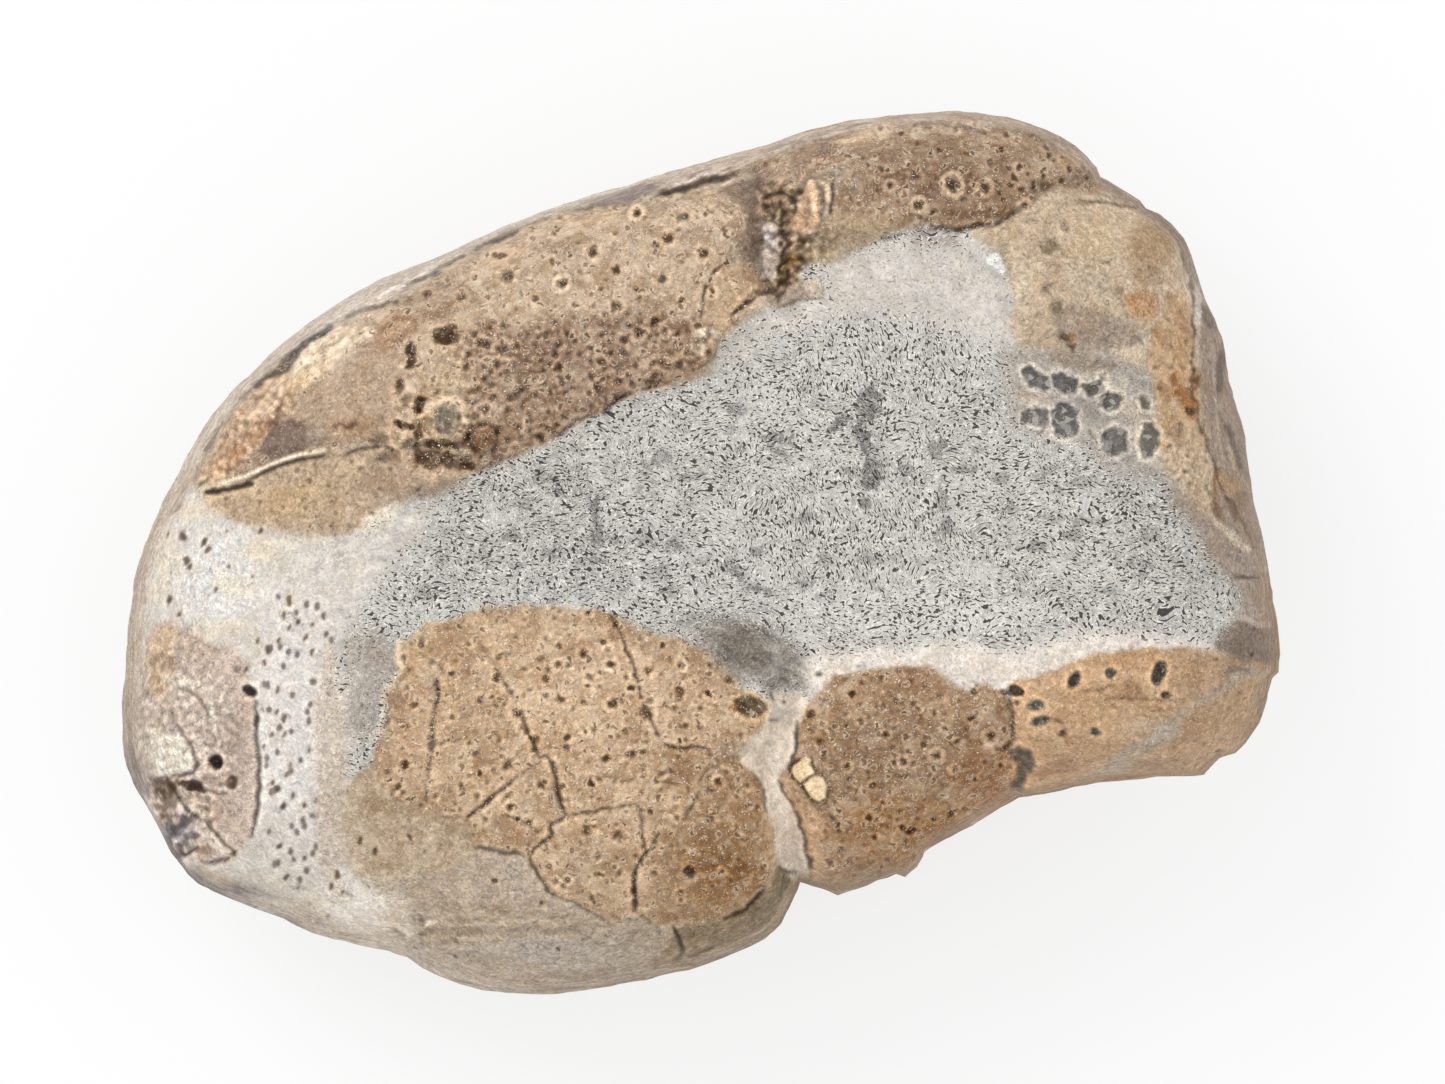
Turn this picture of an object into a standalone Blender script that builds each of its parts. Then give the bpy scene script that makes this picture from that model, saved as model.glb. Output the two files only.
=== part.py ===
"""Fossil lobster in its stone nodule, lying on its back with the fossil face up.

One stone: a worn cobble, broken open so that the claw, the next limb segment
and three shell plates show on the upper face, in a pitted grey matrix.
Metres, +Z up. The origin is at the middle of the resting side.
"""

import math

import bmesh
import bpy
import numpy as np
from mathutils import Vector, noise

# ---------------------------------------------------------------- dimensions
PLAN = 0.00009          # one step of the plan drawing below, in metres
PLAN_X0 = 700.0         # plan step that lies over the origin, across
PLAN_Y0 = 553.0         # plan step that lies over the origin, down the sheet
HUB = (700.0, 540.0)    # plan point that the outline's radii start from

HEIGHT = 0.0415         # the fossil face above the resting spot, at the middle
WAIST = 0.0195          # height of the widest level
WAIST_SWAY = 0.0022     # how far the widest level rises and falls round the stone
REST_SHARE = 0.40       # share of each radius that the flat resting spot takes
BELLY_POWER = 2.5       # roundness of the underside
CUTS = 27               # cuts across each side of the starting cube

CLAW_RISE = 0.0018      # how far each hard part stands out of the matrix
LIMB_RISE = 0.0015
BLOCK_RISE = 0.0007
PLATE_A_RISE = 0.0013
PLATE_B_RISE = 0.0011
PLATE_C_RISE = 0.0009
STUMP_RISE = 0.0004
MATRIX_SINK = 0.0006    # how far the grey matrix is worn below the face
GROOVE_DEPTH = 0.0012
UNDULATION = 0.0006     # slow waves in the worn sides
WORN_BLUR = 9.0         # degrees over which wear has evened out the lower outline
WORN_IN = 0.975         # how far the lower outline lies inside the upper one

# ------------------------------------------------------------- plan drawing
# Points are in plan steps, x to the right and y down the sheet.
OUTLINE = [
    (122, 680), (124, 648), (125, 625), (129, 602), (130, 581), (136, 564),
    (142, 543), (150, 523), (160, 502), (169, 487), (177, 472), (189, 446),
    (200, 430), (210, 413), (225, 397), (239, 380), (247, 375), (275, 348),
    (300, 327), (325, 309), (350, 294), (375, 280), (400, 270), (425, 260),
    (450, 249), (475, 238), (500, 227), (525, 217), (550, 207), (575, 199),
    (600, 191), (625, 184), (650, 175), (675, 168), (700, 161), (725, 155),
    (750, 148), (775, 140), (800, 131), (825, 125), (850, 119), (875, 116),
    (900, 113), (925, 111), (950, 110), (975, 111), (1000, 114), (1025, 120),
    (1050, 130), (1075, 144), (1087, 153), (1098, 165), (1102, 175),
    (1110, 179), (1125, 190), (1142, 200), (1148, 207), (1161, 213),
    (1175, 225), (1186, 238), (1193, 253), (1200, 278), (1207, 299),
    (1217, 318), (1224, 338), (1228, 355), (1231, 380), (1237, 401),
    (1244, 426), (1249, 452), (1252, 477), (1256, 503), (1263, 529),
    (1268, 554), (1273, 580), (1275, 600), (1279, 618), (1281, 636),
    (1281, 655), (1280, 674), (1274, 677), (1271, 697), (1267, 710),
    (1262, 724), (1254, 735), (1248, 744), (1238, 754), (1222, 759),
    (1213, 767), (1205, 775), (1192, 776), (1160, 777), (1135, 780),
    (1100, 784), (1075, 789), (1050, 795), (1020, 799), (1000, 809),
    (978, 823), (962, 832), (944, 842), (926, 853), (918, 868), (906, 879),
    (897, 875), (880, 881), (860, 889), (838, 897), (825, 891), (811, 888),
    (800, 883), (798, 892), (789, 911), (781, 926), (765, 940), (749, 949),
    (723, 961), (691, 971), (660, 977), (628, 985), (580, 993), (532, 996),
    (500, 995), (480, 993), (460, 987), (438, 979), (419, 969), (406, 960),
    (387, 953), (371, 950), (349, 945), (326, 940), (304, 932), (279, 921),
    (259, 913), (237, 905), (212, 895), (199, 888), (184, 876), (173, 860),
    (159, 838), (148, 816), (135, 793), (125, 771), (120, 746), (119, 714),
]
CLAW = [
    (200, 480), (215, 440), (235, 405), (270, 370), (300, 345), (330, 322),
    (375, 312), (420, 288), (475, 250), (525, 225), (560, 210), (600, 203),
    (650, 198), (700, 187), (720, 187), (745, 215), (745, 235), (738, 258),
    (765, 280), (770, 310), (740, 340), (715, 370), (680, 380), (640, 395),
    (610, 405), (580, 425), (555, 435), (530, 450), (500, 460), (470, 480),
    (440, 495), (395, 500), (370, 445), (325, 452), (275, 463), (245, 475),
    (220, 482),
]
LIMB = [
    (745, 190), (770, 165), (800, 148), (840, 130), (900, 120), (960, 116),
    (1020, 122), (1070, 140), (1098, 170), (1060, 182), (1040, 192),
    (1025, 207), (1000, 220), (975, 228), (935, 225), (905, 232), (880, 240),
    (850, 245), (820, 242), (800, 270), (780, 300), (765, 300), (758, 260),
    (760, 225),
]
BLOCK = [
    (1030, 200), (1060, 184), (1100, 178), (1150, 210), (1178, 245),
    (1195, 300), (1200, 370), (1212, 480), (1190, 500), (1160, 490),
    (1150, 460), (1110, 440), (1060, 350), (1010, 300), (1005, 250),
]
PLATE_A = [
    (395, 650), (430, 620), (470, 610), (510, 603), (560, 608), (600, 612),
    (640, 625), (680, 635), (705, 645), (730, 665), (745, 690), (767, 705),
    (760, 735), (755, 760), (765, 800), (775, 850), (770, 880), (740, 905),
    (690, 925), (635, 915), (605, 915), (580, 900), (550, 875), (530, 852),
    (500, 845), (465, 822), (420, 810), (380, 790), (372, 760), (380, 710),
    (385, 685),
]
PLATE_B = [
    (800, 700), (820, 690), (830, 672), (870, 665), (935, 665), (950, 675),
    (965, 685), (1005, 687), (1012, 735), (1015, 760), (1010, 800),
    (960, 833), (920, 860), (880, 880), (840, 893), (812, 880), (805, 850),
    (795, 810), (785, 780), (797, 740),
]
PLATE_C = [
    (1010, 690), (1020, 675), (1060, 665), (1080, 655), (1130, 648),
    (1180, 648), (1215, 650), (1280, 667), (1272, 700), (1260, 725),
    (1245, 750), (1205, 772), (1100, 785), (1035, 797), (1025, 770),
    (1015, 735),
]
STUMP = [
    (140, 640), (165, 622), (200, 640), (240, 645), (258, 690), (258, 830),
    (240, 862), (200, 860), (165, 830), (150, 790), (140, 720),
]
MATRIX = [
    (350, 560), (450, 505), (560, 455), (640, 412), (700, 390), (760, 340),
    (830, 300), (900, 280), (980, 300), (1020, 360), (1060, 440), (1150, 500),
    (1200, 560), (1240, 600), (1200, 640), (1060, 635), (900, 640),
    (780, 640), (700, 610), (560, 590), (430, 600),
]
GROOVE_AB = [(782, 690), (780, 740), (772, 780), (788, 840), (798, 884)]
GROOVE_JOINT = [(755, 180), (770, 230), (772, 280), (790, 300)]

# Direction from the hub, in degrees anticlockwise from the plan's right hand
# side, against the sharpness of the upper shoulder there.
SHOULDER = [
    (0, 7.5), (45, 7.0), (90, 6.0), (135, 5.2), (180, 4.4), (225, 3.5),
    (262, 3.4), (290, 4.2), (325, 6.0), (360, 7.5),
]

# ------------------------------------------------------------------ geometry
POLAR = []
for px, py in OUTLINE:
    POLAR.append(
        (
            math.atan2(HUB[1] - py, px - HUB[0]) % math.tau,
            math.hypot(px - HUB[0], py - HUB[1]) * PLAN,
        )
    )
POLAR.sort()
POLAR_ANGLE = np.array([POLAR[-1][0] - math.tau] + [a for a, _ in POLAR] + [POLAR[0][0] + math.tau])
POLAR_RADIUS = np.array([POLAR[-1][1]] + [r for _, r in POLAR] + [POLAR[0][1]])


BLUR_STEPS = np.radians(np.linspace(-2.0 * WORN_BLUR, 2.0 * WORN_BLUR, 41))
BLUR_WEIGHTS = np.exp(-0.5 * (BLUR_STEPS / math.radians(WORN_BLUR)) ** 2)


def radius_at(angle, worn):
    """Plan radius of the outline in a direction from the hub; worn runs from 0, as drawn, to 1, evened out."""
    drawn = float(np.interp(angle % math.tau, POLAR_ANGLE, POLAR_RADIUS))
    around = np.interp((angle + BLUR_STEPS) % math.tau, POLAR_ANGLE, POLAR_RADIUS)
    even = WORN_IN * float((around * BLUR_WEIGHTS).sum() / BLUR_WEIGHTS.sum())
    return drawn + (min(drawn, even) - drawn) * worn


def shoulder_at(angle):
    """Exponent of the upper profile in that direction."""
    table = np.array(SHOULDER)
    return float(np.interp(math.degrees(angle) % 360.0, table[:, 0], table[:, 1]))


def waist_at(angle):
    """Height of the widest level in that direction."""
    return WAIST + WAIST_SWAY * math.cos(angle - 0.5)


def even_steps(power):
    """Share of the way along a profile against its own angle, so that points spread evenly."""
    swing = (np.linspace(0.0, 1.0, 400) ** 3) * math.pi / 2
    across = np.sin(swing) ** (2.0 / power) * 0.045
    up = np.cos(swing) * 0.022
    run = np.concatenate([[0.0], np.cumsum(np.hypot(np.diff(across), np.diff(up)))])
    return run / run[-1], swing


TOP_RUN, TOP_SWING = even_steps(5.0)
LOW_RUN, LOW_SWING = even_steps(BELLY_POWER)


def to_segment(px, py, a, b):
    """Distance in plan steps from a point to the line between a and b."""
    ax, ay = a
    bx, by = b
    dx, dy = bx - ax, by - ay
    along = ((px - ax) * dx + (py - ay) * dy) / (dx * dx + dy * dy)
    along = min(1.0, max(0.0, along))
    return math.hypot(px - ax - along * dx, py - ay - along * dy)


def inside_by(px, py, ring):
    """How deep a point lies inside a closed ring, in plan steps; negative outside."""
    inside = False
    near = 1e9
    for i, a in enumerate(ring):
        b = ring[(i + 1) % len(ring)]
        near = min(near, to_segment(px, py, a, b))
        if (a[1] > py) != (b[1] > py):
            if px < (b[0] - a[0]) * (py - a[1]) / (b[1] - a[1]) + a[0]:
                inside = not inside
    return near if inside else -near


def ramp(value, low, high):
    """Smooth step from 0 at low to 1 at high."""
    t = min(1.0, max(0.0, (value - low) / (high - low)))
    return t * t * (3.0 - 2.0 * t)


def relief(px, py):
    """Height of the hard parts and hollows of the fossil face."""
    rise = 0.0
    rise = max(rise, CLAW_RISE * ramp(inside_by(px, py, CLAW), -6.0, 26.0))
    rise = max(rise, LIMB_RISE * ramp(inside_by(px, py, LIMB), -6.0, 24.0))
    rise = max(rise, BLOCK_RISE * ramp(inside_by(px, py, BLOCK), -10.0, 24.0))
    rise = max(rise, PLATE_A_RISE * ramp(inside_by(px, py, PLATE_A), -8.0, 40.0))
    rise = max(rise, PLATE_B_RISE * ramp(inside_by(px, py, PLATE_B), -8.0, 30.0))
    rise = max(rise, PLATE_C_RISE * ramp(inside_by(px, py, PLATE_C), -8.0, 26.0))
    rise = max(rise, STUMP_RISE * ramp(inside_by(px, py, STUMP), -8.0, 16.0))
    rise -= MATRIX_SINK * ramp(inside_by(px, py, MATRIX), -20.0, 40.0)
    for line in (GROOVE_AB, GROOVE_JOINT):
        near = min(to_segment(px, py, line[i], line[i + 1]) for i in range(len(line) - 1))
        rise -= GROOVE_DEPTH * (1.0 - ramp(near, 4.0, 26.0))
    return rise


def on_stone(direction):
    """Point of the stone's surface that a direction from its middle reaches."""
    angle = math.atan2(direction.y, direction.x)
    polar = math.acos(max(-1.0, min(1.0, direction.z))) / math.pi
    waist = waist_at(angle)
    if polar < 0.5:
        swing = float(np.interp(polar * 2.0, TOP_RUN, TOP_SWING))
        share = math.sin(swing) ** (2.0 / shoulder_at(angle))
        z = waist + (HEIGHT - waist) * math.cos(swing)
    else:
        swing = float(np.interp((1.0 - polar) * 2.0, LOW_RUN, LOW_SWING))
        share = math.sin(swing) ** (2.0 / BELLY_POWER)
        z = waist * (1.0 - math.cos(swing))
        floor = waist * (1.0 - math.sqrt(max(0.0, 1.0 - REST_SHARE ** BELLY_POWER)))
        z = (z - floor) * waist / (waist - floor)
    reach = radius_at(angle, 1.0 - ramp(z / waist, 0.35, 1.0))
    px = HUB[0] + share * reach / PLAN * math.cos(angle)
    py = HUB[1] - share * reach / PLAN * math.sin(angle)
    at = Vector(((px - PLAN_X0) * PLAN, (PLAN_Y0 - py) * PLAN, z))
    if polar < 0.5:
        at.z += relief(px, py) * ramp((z - waist) / (HEIGHT - waist), 0.15, 0.75)
    wave = noise.noise(at * 55.0 + Vector((3.1, 7.7, 1.3)))
    if z <= 0.0:
        at.z = 0.0
    elif polar >= 0.5:
        away = ramp(z, 0.001, 0.006) * ramp(waist - z, 0.0, 0.006)
        at += Vector((math.cos(angle), math.sin(angle), -0.4)) * (UNDULATION * 2.0 * wave * away)
    else:
        at.z += UNDULATION * wave * ramp(z - waist, 0.002, 0.010)
    return at


# ------------------------------------------------------------------- objects
for old in list(bpy.data.objects):
    bpy.data.objects.remove(old, do_unlink=True)

collection = bpy.data.collections.new("fossil_lobster")
bpy.context.scene.collection.children.link(collection)

shape = bmesh.new()
bmesh.ops.create_cube(shape, size=2.0)
bmesh.ops.subdivide_edges(shape, edges=shape.edges[:], cuts=CUTS, use_grid_fill=True)
for vertex in shape.verts:
    # equal angles between the grid lines, seen from the middle
    spread = Vector([math.tan(c * math.pi / 4.0) for c in vertex.co])
    vertex.co = on_stone(spread.normalized())
bmesh.ops.recalc_face_normals(shape, faces=shape.faces[:])
bmesh.ops.triangulate(shape, faces=shape.faces[:])

mesh = bpy.data.meshes.new("fossil_nodule")
shape.to_mesh(mesh)
shape.free()
nodule = bpy.data.objects.new("fossil_nodule", mesh)
collection.objects.link(nodule)
mesh.shade_smooth()

stone = bpy.data.materials.new("fossil_stone")
stone.use_nodes = True
surface = stone.node_tree.nodes["Principled BSDF"]
surface.inputs["Base Color"].default_value = (0.42, 0.35, 0.27, 1.0)
surface.inputs["Roughness"].default_value = 0.72
surface.inputs["Metallic"].default_value = 0.0
mesh.materials.append(stone)
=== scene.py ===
"""Fossil lobster in its nodule: the detailed surface, its material and the studio.

The shape repeats the solid's own numbers. The face is then worked out on a
sheet of 0.09 mm steps, from named outlines, cracks, pores and noises, cut into
the stone as relief and stored on its points as mineral colours and kinds.
"""

import math

import bpy
import numpy as np
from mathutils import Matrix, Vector, noise


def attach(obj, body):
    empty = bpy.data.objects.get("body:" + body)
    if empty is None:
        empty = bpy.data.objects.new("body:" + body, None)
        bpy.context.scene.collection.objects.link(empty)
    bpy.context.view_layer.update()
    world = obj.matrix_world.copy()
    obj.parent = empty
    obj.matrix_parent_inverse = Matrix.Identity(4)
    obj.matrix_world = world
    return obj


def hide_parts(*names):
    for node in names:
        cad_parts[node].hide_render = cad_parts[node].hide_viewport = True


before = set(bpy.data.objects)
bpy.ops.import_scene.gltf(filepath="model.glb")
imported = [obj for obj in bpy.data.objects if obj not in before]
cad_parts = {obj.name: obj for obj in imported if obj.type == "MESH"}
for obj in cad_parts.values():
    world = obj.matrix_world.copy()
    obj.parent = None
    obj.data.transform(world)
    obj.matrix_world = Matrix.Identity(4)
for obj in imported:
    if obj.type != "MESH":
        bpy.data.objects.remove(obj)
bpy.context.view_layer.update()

LIT = 1.12              # light that falls on the level face, against a plain white sky

# ---------------------------------------------------- numbers of the solid
PLAN = 0.00009
PLAN_X0 = 700.0
PLAN_Y0 = 553.0
HUB = (700.0, 540.0)
HEIGHT = 0.0415
WAIST = 0.0195
WAIST_SWAY = 0.0022
REST_SHARE = 0.40
BELLY_POWER = 2.5
CLAW_RISE = 0.0018
LIMB_RISE = 0.0015
BLOCK_RISE = 0.0007
PLATE_A_RISE = 0.0013
PLATE_B_RISE = 0.0011
PLATE_C_RISE = 0.0009
STUMP_RISE = 0.0004
MATRIX_SINK = 0.0006
GROOVE_DEPTH = 0.0012
UNDULATION = 0.0006
WORN_BLUR = 9.0
WORN_IN = 0.975
OUTLINE = [
    (122, 680), (124, 648), (125, 625), (129, 602), (130, 581), (136, 564),
    (142, 543), (150, 523), (160, 502), (169, 487), (177, 472), (189, 446),
    (200, 430), (210, 413), (225, 397), (239, 380), (247, 375), (275, 348),
    (300, 327), (325, 309), (350, 294), (375, 280), (400, 270), (425, 260),
    (450, 249), (475, 238), (500, 227), (525, 217), (550, 207), (575, 199),
    (600, 191), (625, 184), (650, 175), (675, 168), (700, 161), (725, 155),
    (750, 148), (775, 140), (800, 131), (825, 125), (850, 119), (875, 116),
    (900, 113), (925, 111), (950, 110), (975, 111), (1000, 114), (1025, 120),
    (1050, 130), (1075, 144), (1087, 153), (1098, 165), (1102, 175),
    (1110, 179), (1125, 190), (1142, 200), (1148, 207), (1161, 213),
    (1175, 225), (1186, 238), (1193, 253), (1200, 278), (1207, 299),
    (1217, 318), (1224, 338), (1228, 355), (1231, 380), (1237, 401),
    (1244, 426), (1249, 452), (1252, 477), (1256, 503), (1263, 529),
    (1268, 554), (1273, 580), (1275, 600), (1279, 618), (1281, 636),
    (1281, 655), (1280, 674), (1274, 677), (1271, 697), (1267, 710),
    (1262, 724), (1254, 735), (1248, 744), (1238, 754), (1222, 759),
    (1213, 767), (1205, 775), (1192, 776), (1160, 777), (1135, 780),
    (1100, 784), (1075, 789), (1050, 795), (1020, 799), (1000, 809),
    (978, 823), (962, 832), (944, 842), (926, 853), (918, 868), (906, 879),
    (897, 875), (880, 881), (860, 889), (838, 897), (825, 891), (811, 888),
    (800, 883), (798, 892), (789, 911), (781, 926), (765, 940), (749, 949),
    (723, 961), (691, 971), (660, 977), (628, 985), (580, 993), (532, 996),
    (500, 995), (480, 993), (460, 987), (438, 979), (419, 969), (406, 960),
    (387, 953), (371, 950), (349, 945), (326, 940), (304, 932), (279, 921),
    (259, 913), (237, 905), (212, 895), (199, 888), (184, 876), (173, 860),
    (159, 838), (148, 816), (135, 793), (125, 771), (120, 746), (119, 714),
]
CLAW = [
    (200, 480), (215, 440), (235, 405), (270, 370), (300, 345), (330, 322),
    (375, 312), (420, 288), (475, 250), (525, 225), (560, 210), (600, 203),
    (650, 198), (700, 187), (720, 187), (745, 215), (745, 235), (738, 258),
    (765, 280), (770, 310), (740, 340), (715, 370), (680, 380), (640, 395),
    (610, 405), (580, 425), (555, 435), (530, 450), (500, 460), (470, 480),
    (440, 495), (395, 500), (370, 445), (325, 452), (275, 463), (245, 475),
    (220, 482),
]
LIMB = [
    (745, 190), (770, 165), (800, 148), (840, 130), (900, 120), (960, 116),
    (1020, 122), (1070, 140), (1098, 170), (1060, 182), (1040, 192),
    (1025, 207), (1000, 220), (975, 228), (935, 225), (905, 232), (880, 240),
    (850, 245), (820, 242), (800, 270), (780, 300), (765, 300), (758, 260),
    (760, 225),
]
BLOCK = [
    (1030, 200), (1060, 184), (1100, 178), (1150, 210), (1178, 245),
    (1195, 300), (1200, 370), (1212, 480), (1190, 500), (1160, 490),
    (1150, 460), (1110, 440), (1060, 350), (1010, 300), (1005, 250),
]
PLATE_A = [
    (395, 650), (430, 620), (470, 610), (510, 603), (560, 608), (600, 612),
    (640, 625), (680, 635), (705, 645), (730, 665), (745, 690), (767, 705),
    (760, 735), (755, 760), (765, 800), (775, 850), (770, 880), (740, 905),
    (690, 925), (635, 915), (605, 915), (580, 900), (550, 875), (530, 852),
    (500, 845), (465, 822), (420, 810), (380, 790), (372, 760), (380, 710),
    (385, 685),
]
PLATE_B = [
    (800, 700), (820, 690), (830, 672), (870, 665), (935, 665), (950, 675),
    (965, 685), (1005, 687), (1012, 735), (1015, 760), (1010, 800),
    (960, 833), (920, 860), (880, 880), (840, 893), (812, 880), (805, 850),
    (795, 810), (785, 780), (797, 740),
]
PLATE_C = [
    (1010, 690), (1020, 675), (1060, 665), (1080, 655), (1130, 648),
    (1180, 648), (1215, 650), (1280, 667), (1272, 700), (1260, 725),
    (1245, 750), (1205, 772), (1100, 785), (1035, 797), (1025, 770),
    (1015, 735),
]
STUMP = [
    (140, 640), (165, 622), (200, 640), (240, 645), (258, 690), (258, 830),
    (240, 862), (200, 860), (165, 830), (150, 790), (140, 720),
]
MATRIX = [
    (350, 560), (450, 505), (560, 455), (640, 412), (700, 390), (760, 340),
    (830, 300), (900, 280), (980, 300), (1020, 360), (1060, 440), (1150, 500),
    (1200, 560), (1240, 600), (1200, 640), (1060, 635), (900, 640),
    (780, 640), (700, 610), (560, 590), (430, 600),
]
GROOVE_AB = [(782, 690), (780, 740), (772, 780), (788, 840), (798, 884)]
GROOVE_JOINT = [(755, 180), (770, 230), (772, 280), (790, 300)]

# Direction from the hub, in degrees anticlockwise from the plan's right hand
# side, against the sharpness of the upper shoulder there.
SHOULDER = [
    (0, 7.5), (45, 7.0), (90, 6.0), (135, 5.2), (180, 4.4), (225, 3.5),
    (262, 3.4), (290, 4.2), (325, 6.0), (360, 7.5),
]

# ------------------------------------------------------------ number fields
# The fossil face is worked out on a sheet of plan steps, 0.09 mm each, with x
# to the right and y down. Every field below is one array over that sheet.
SHEET_X0, SHEET_Y0, SHEET_W, SHEET_H = 92, 82, 1216, 938
GX, GY = np.meshgrid(
    np.arange(SHEET_X0, SHEET_X0 + SHEET_W, dtype=np.float32),
    np.arange(SHEET_Y0, SHEET_Y0 + SHEET_H, dtype=np.float32),
)
_turn = np.linspace(0, 2 * np.pi, 257)[:256]
GRAD_X, GRAD_Y = np.cos(_turn).astype(np.float32), np.sin(_turn).astype(np.float32)


class Part:
    """A field known only in a window of the sheet. Outside it counts as nothing to paint."""

    __array_ufunc__ = None

    def __init__(self, ys, xs, a):
        self.ys, self.xs, self.a = ys, xs, a

    def pair(self, other):
        """Both operands over the same window."""
        if isinstance(other, Part):
            y0, y1 = max(self.ys.start, other.ys.start), min(self.ys.stop, other.ys.stop)
            x0, x1 = max(self.xs.start, other.xs.start), min(self.xs.stop, other.xs.stop)
            y1, x1 = max(y0, y1), max(x0, x1)
            ys, xs = slice(y0, y1), slice(x0, x1)
            a = self.a[y0 - self.ys.start : y1 - self.ys.start, x0 - self.xs.start : x1 - self.xs.start]
            b = other.a[y0 - other.ys.start : y1 - other.ys.start, x0 - other.xs.start : x1 - other.xs.start]
            return ys, xs, a, b
        if isinstance(other, np.ndarray) and other.ndim == 2:
            return self.ys, self.xs, self.a, other[self.ys, self.xs]
        return self.ys, self.xs, self.a, other

    def __mul__(self, other):
        ys, xs, a, b = self.pair(other)
        return Part(ys, xs, a * b)

    def __add__(self, other):
        ys, xs, a, b = self.pair(other)
        return Part(ys, xs, a + b)

    def __sub__(self, other):
        ys, xs, a, b = self.pair(other)
        return Part(ys, xs, a - b)

    def __rsub__(self, other):
        ys, xs, a, b = self.pair(other)
        return Part(ys, xs, b - a)

    def __truediv__(self, other):
        ys, xs, a, b = self.pair(other)
        return Part(ys, xs, a / b)

    def __gt__(self, other):
        ys, xs, a, b = self.pair(other)
        return Part(ys, xs, a > b)

    def __neg__(self):
        return Part(self.ys, self.xs, -self.a)

    def __abs__(self):
        return Part(self.ys, self.xs, np.abs(self.a))

    __rmul__, __radd__ = __mul__, __add__


def here(mask):
    """Plan coordinates over a mask's window."""
    return Part(mask.ys, mask.xs, GX[mask.ys, mask.xs]), Part(mask.ys, mask.xs, GY[mask.ys, mask.xs])


def ramp(value, low, high):
    if isinstance(value, Part):
        return Part(value.ys, value.xs, ramp(value.a, low, high))
    t = np.clip((value - low) / (high - low), 0.0, 1.0)
    return t * t * (3 - 2 * t)


def mixed(ix, iy, seed):
    """One scrambled 32-bit number for each lattice point."""
    h = ix.astype(np.int32).view(np.uint32) * np.uint32(374761393)
    h ^= iy.astype(np.int32).view(np.uint32) * np.uint32(668265263)
    h ^= np.uint32((seed * 2246822519 + 374761) & 0xFFFFFFFF)
    h = (h ^ (h >> np.uint32(15))) * np.uint32(2246822519)
    h = (h ^ (h >> np.uint32(13))) * np.uint32(3266489917)
    return h ^ (h >> np.uint32(16))


def wave(x, y, seed):
    """Smooth noise, about -1 to 1, with one feature a unit."""
    xi, yi = np.floor(x), np.floor(y)
    xf, yf = (x - xi).astype(np.float32), (y - yi).astype(np.float32)
    su = xf * xf * xf * (xf * (xf * 6 - 15) + 10)
    sv = yf * yf * yf * (yf * (yf * 6 - 15) + 10)

    def corner(ox, oy):
        at = (mixed(xi + ox, yi + oy, seed) & np.uint32(255)).astype(np.intp)
        return GRAD_X[at] * (xf - ox) + GRAD_Y[at] * (yf - oy)

    top = corner(0, 0) * (1 - su) + corner(1, 0) * su
    low = corner(0, 1) * (1 - su) + corner(1, 1) * su
    return (top * (1 - sv) + low * sv) * 1.45


def layers(x, y, seed, octaves=4, gain=0.5):
    """Noise of several sizes added up, about -1 to 1."""
    if isinstance(x, Part):
        return Part(x.ys, x.xs, layers(x.a, y.a, seed, octaves, gain))
    total, weight, size = 0.0, 0.0, 1.0
    for k in range(octaves):
        total = total + wave(x * size + 17.3 * k, y * size - 9.1 * k, seed + 31 * k) * gain**k
        weight += gain**k
        size *= 2.03
    return total / weight * 1.25


def cells(x, y, seed, jitter=0.95):
    """Distance to the nearest and next nearest of scattered points, one a unit, and that point's own number."""
    if isinstance(x, Part):
        return [Part(x.ys, x.xs, a) for a in cells(x.a, y.a, seed, jitter)]
    xi, yi = np.floor(x), np.floor(y)
    near = np.full(np.shape(x), 9.0, np.float32)
    second = near.copy()
    who = np.zeros(np.shape(x), np.uint32)
    for oy in (-1, 0, 1):
        for ox in (-1, 0, 1):
            h = mixed(xi + ox, yi + oy, seed)
            qx = xi + ox + 0.5 + jitter * ((h & np.uint32(0xFFFF)).astype(np.float32) / 65535 - 0.5)
            qy = yi + oy + 0.5 + jitter * ((h >> np.uint32(16)).astype(np.float32) / 65535 - 0.5)
            d = ((qx - x) ** 2 + (qy - y) ** 2).astype(np.float32)
            closer = d < near
            second = np.where(closer, near, np.minimum(second, d))
            near = np.where(closer, d, near)
            who = np.where(closer, h, who)
    own = ((who * np.uint32(2654435761)) >> np.uint32(8)).astype(np.float32) / 16777216.0
    return np.sqrt(near), np.sqrt(second), own


# edges of painted areas wander by a few steps, as they do in the stone
BEND_X = 3.2 * layers(GX / 26, GY / 26, 5, 2) + 2.0 * layers(GX / 8, GY / 8, 6, 2)
BEND_Y = 3.2 * layers(GX / 26, GY / 26, 7, 2) + 2.0 * layers(GX / 8, GY / 8, 8, 2)
MOTTLE_L = layers(GX / 60, GY / 60, 41, 3)
MOTTLE_M = layers(GX / 19, GY / 19, 42, 3)
MOTTLE_S = layers(GX / 7, GY / 7, 43, 2)
MOTTLE_X = layers(GX / 30, GY / 30, 44, 4, 0.6)
FRET = layers(GX / 4.2, GY / 4.2, 45, 1)
FRET_B = layers(GX / 5.5, GY / 5.5, 46, 1)


def window(points, margin):
    pts = np.array(points, float)
    x0 = int(max(0, pts[:, 0].min() - margin - SHEET_X0))
    x1 = int(max(x0 + 1, min(SHEET_W, pts[:, 0].max() + margin - SHEET_X0 + 1)))
    y0 = int(max(0, pts[:, 1].min() - margin - SHEET_Y0))
    y1 = int(max(y0 + 1, min(SHEET_H, pts[:, 1].max() + margin - SHEET_Y0 + 1)))
    return slice(y0, y1), slice(x0, x1)


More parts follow.
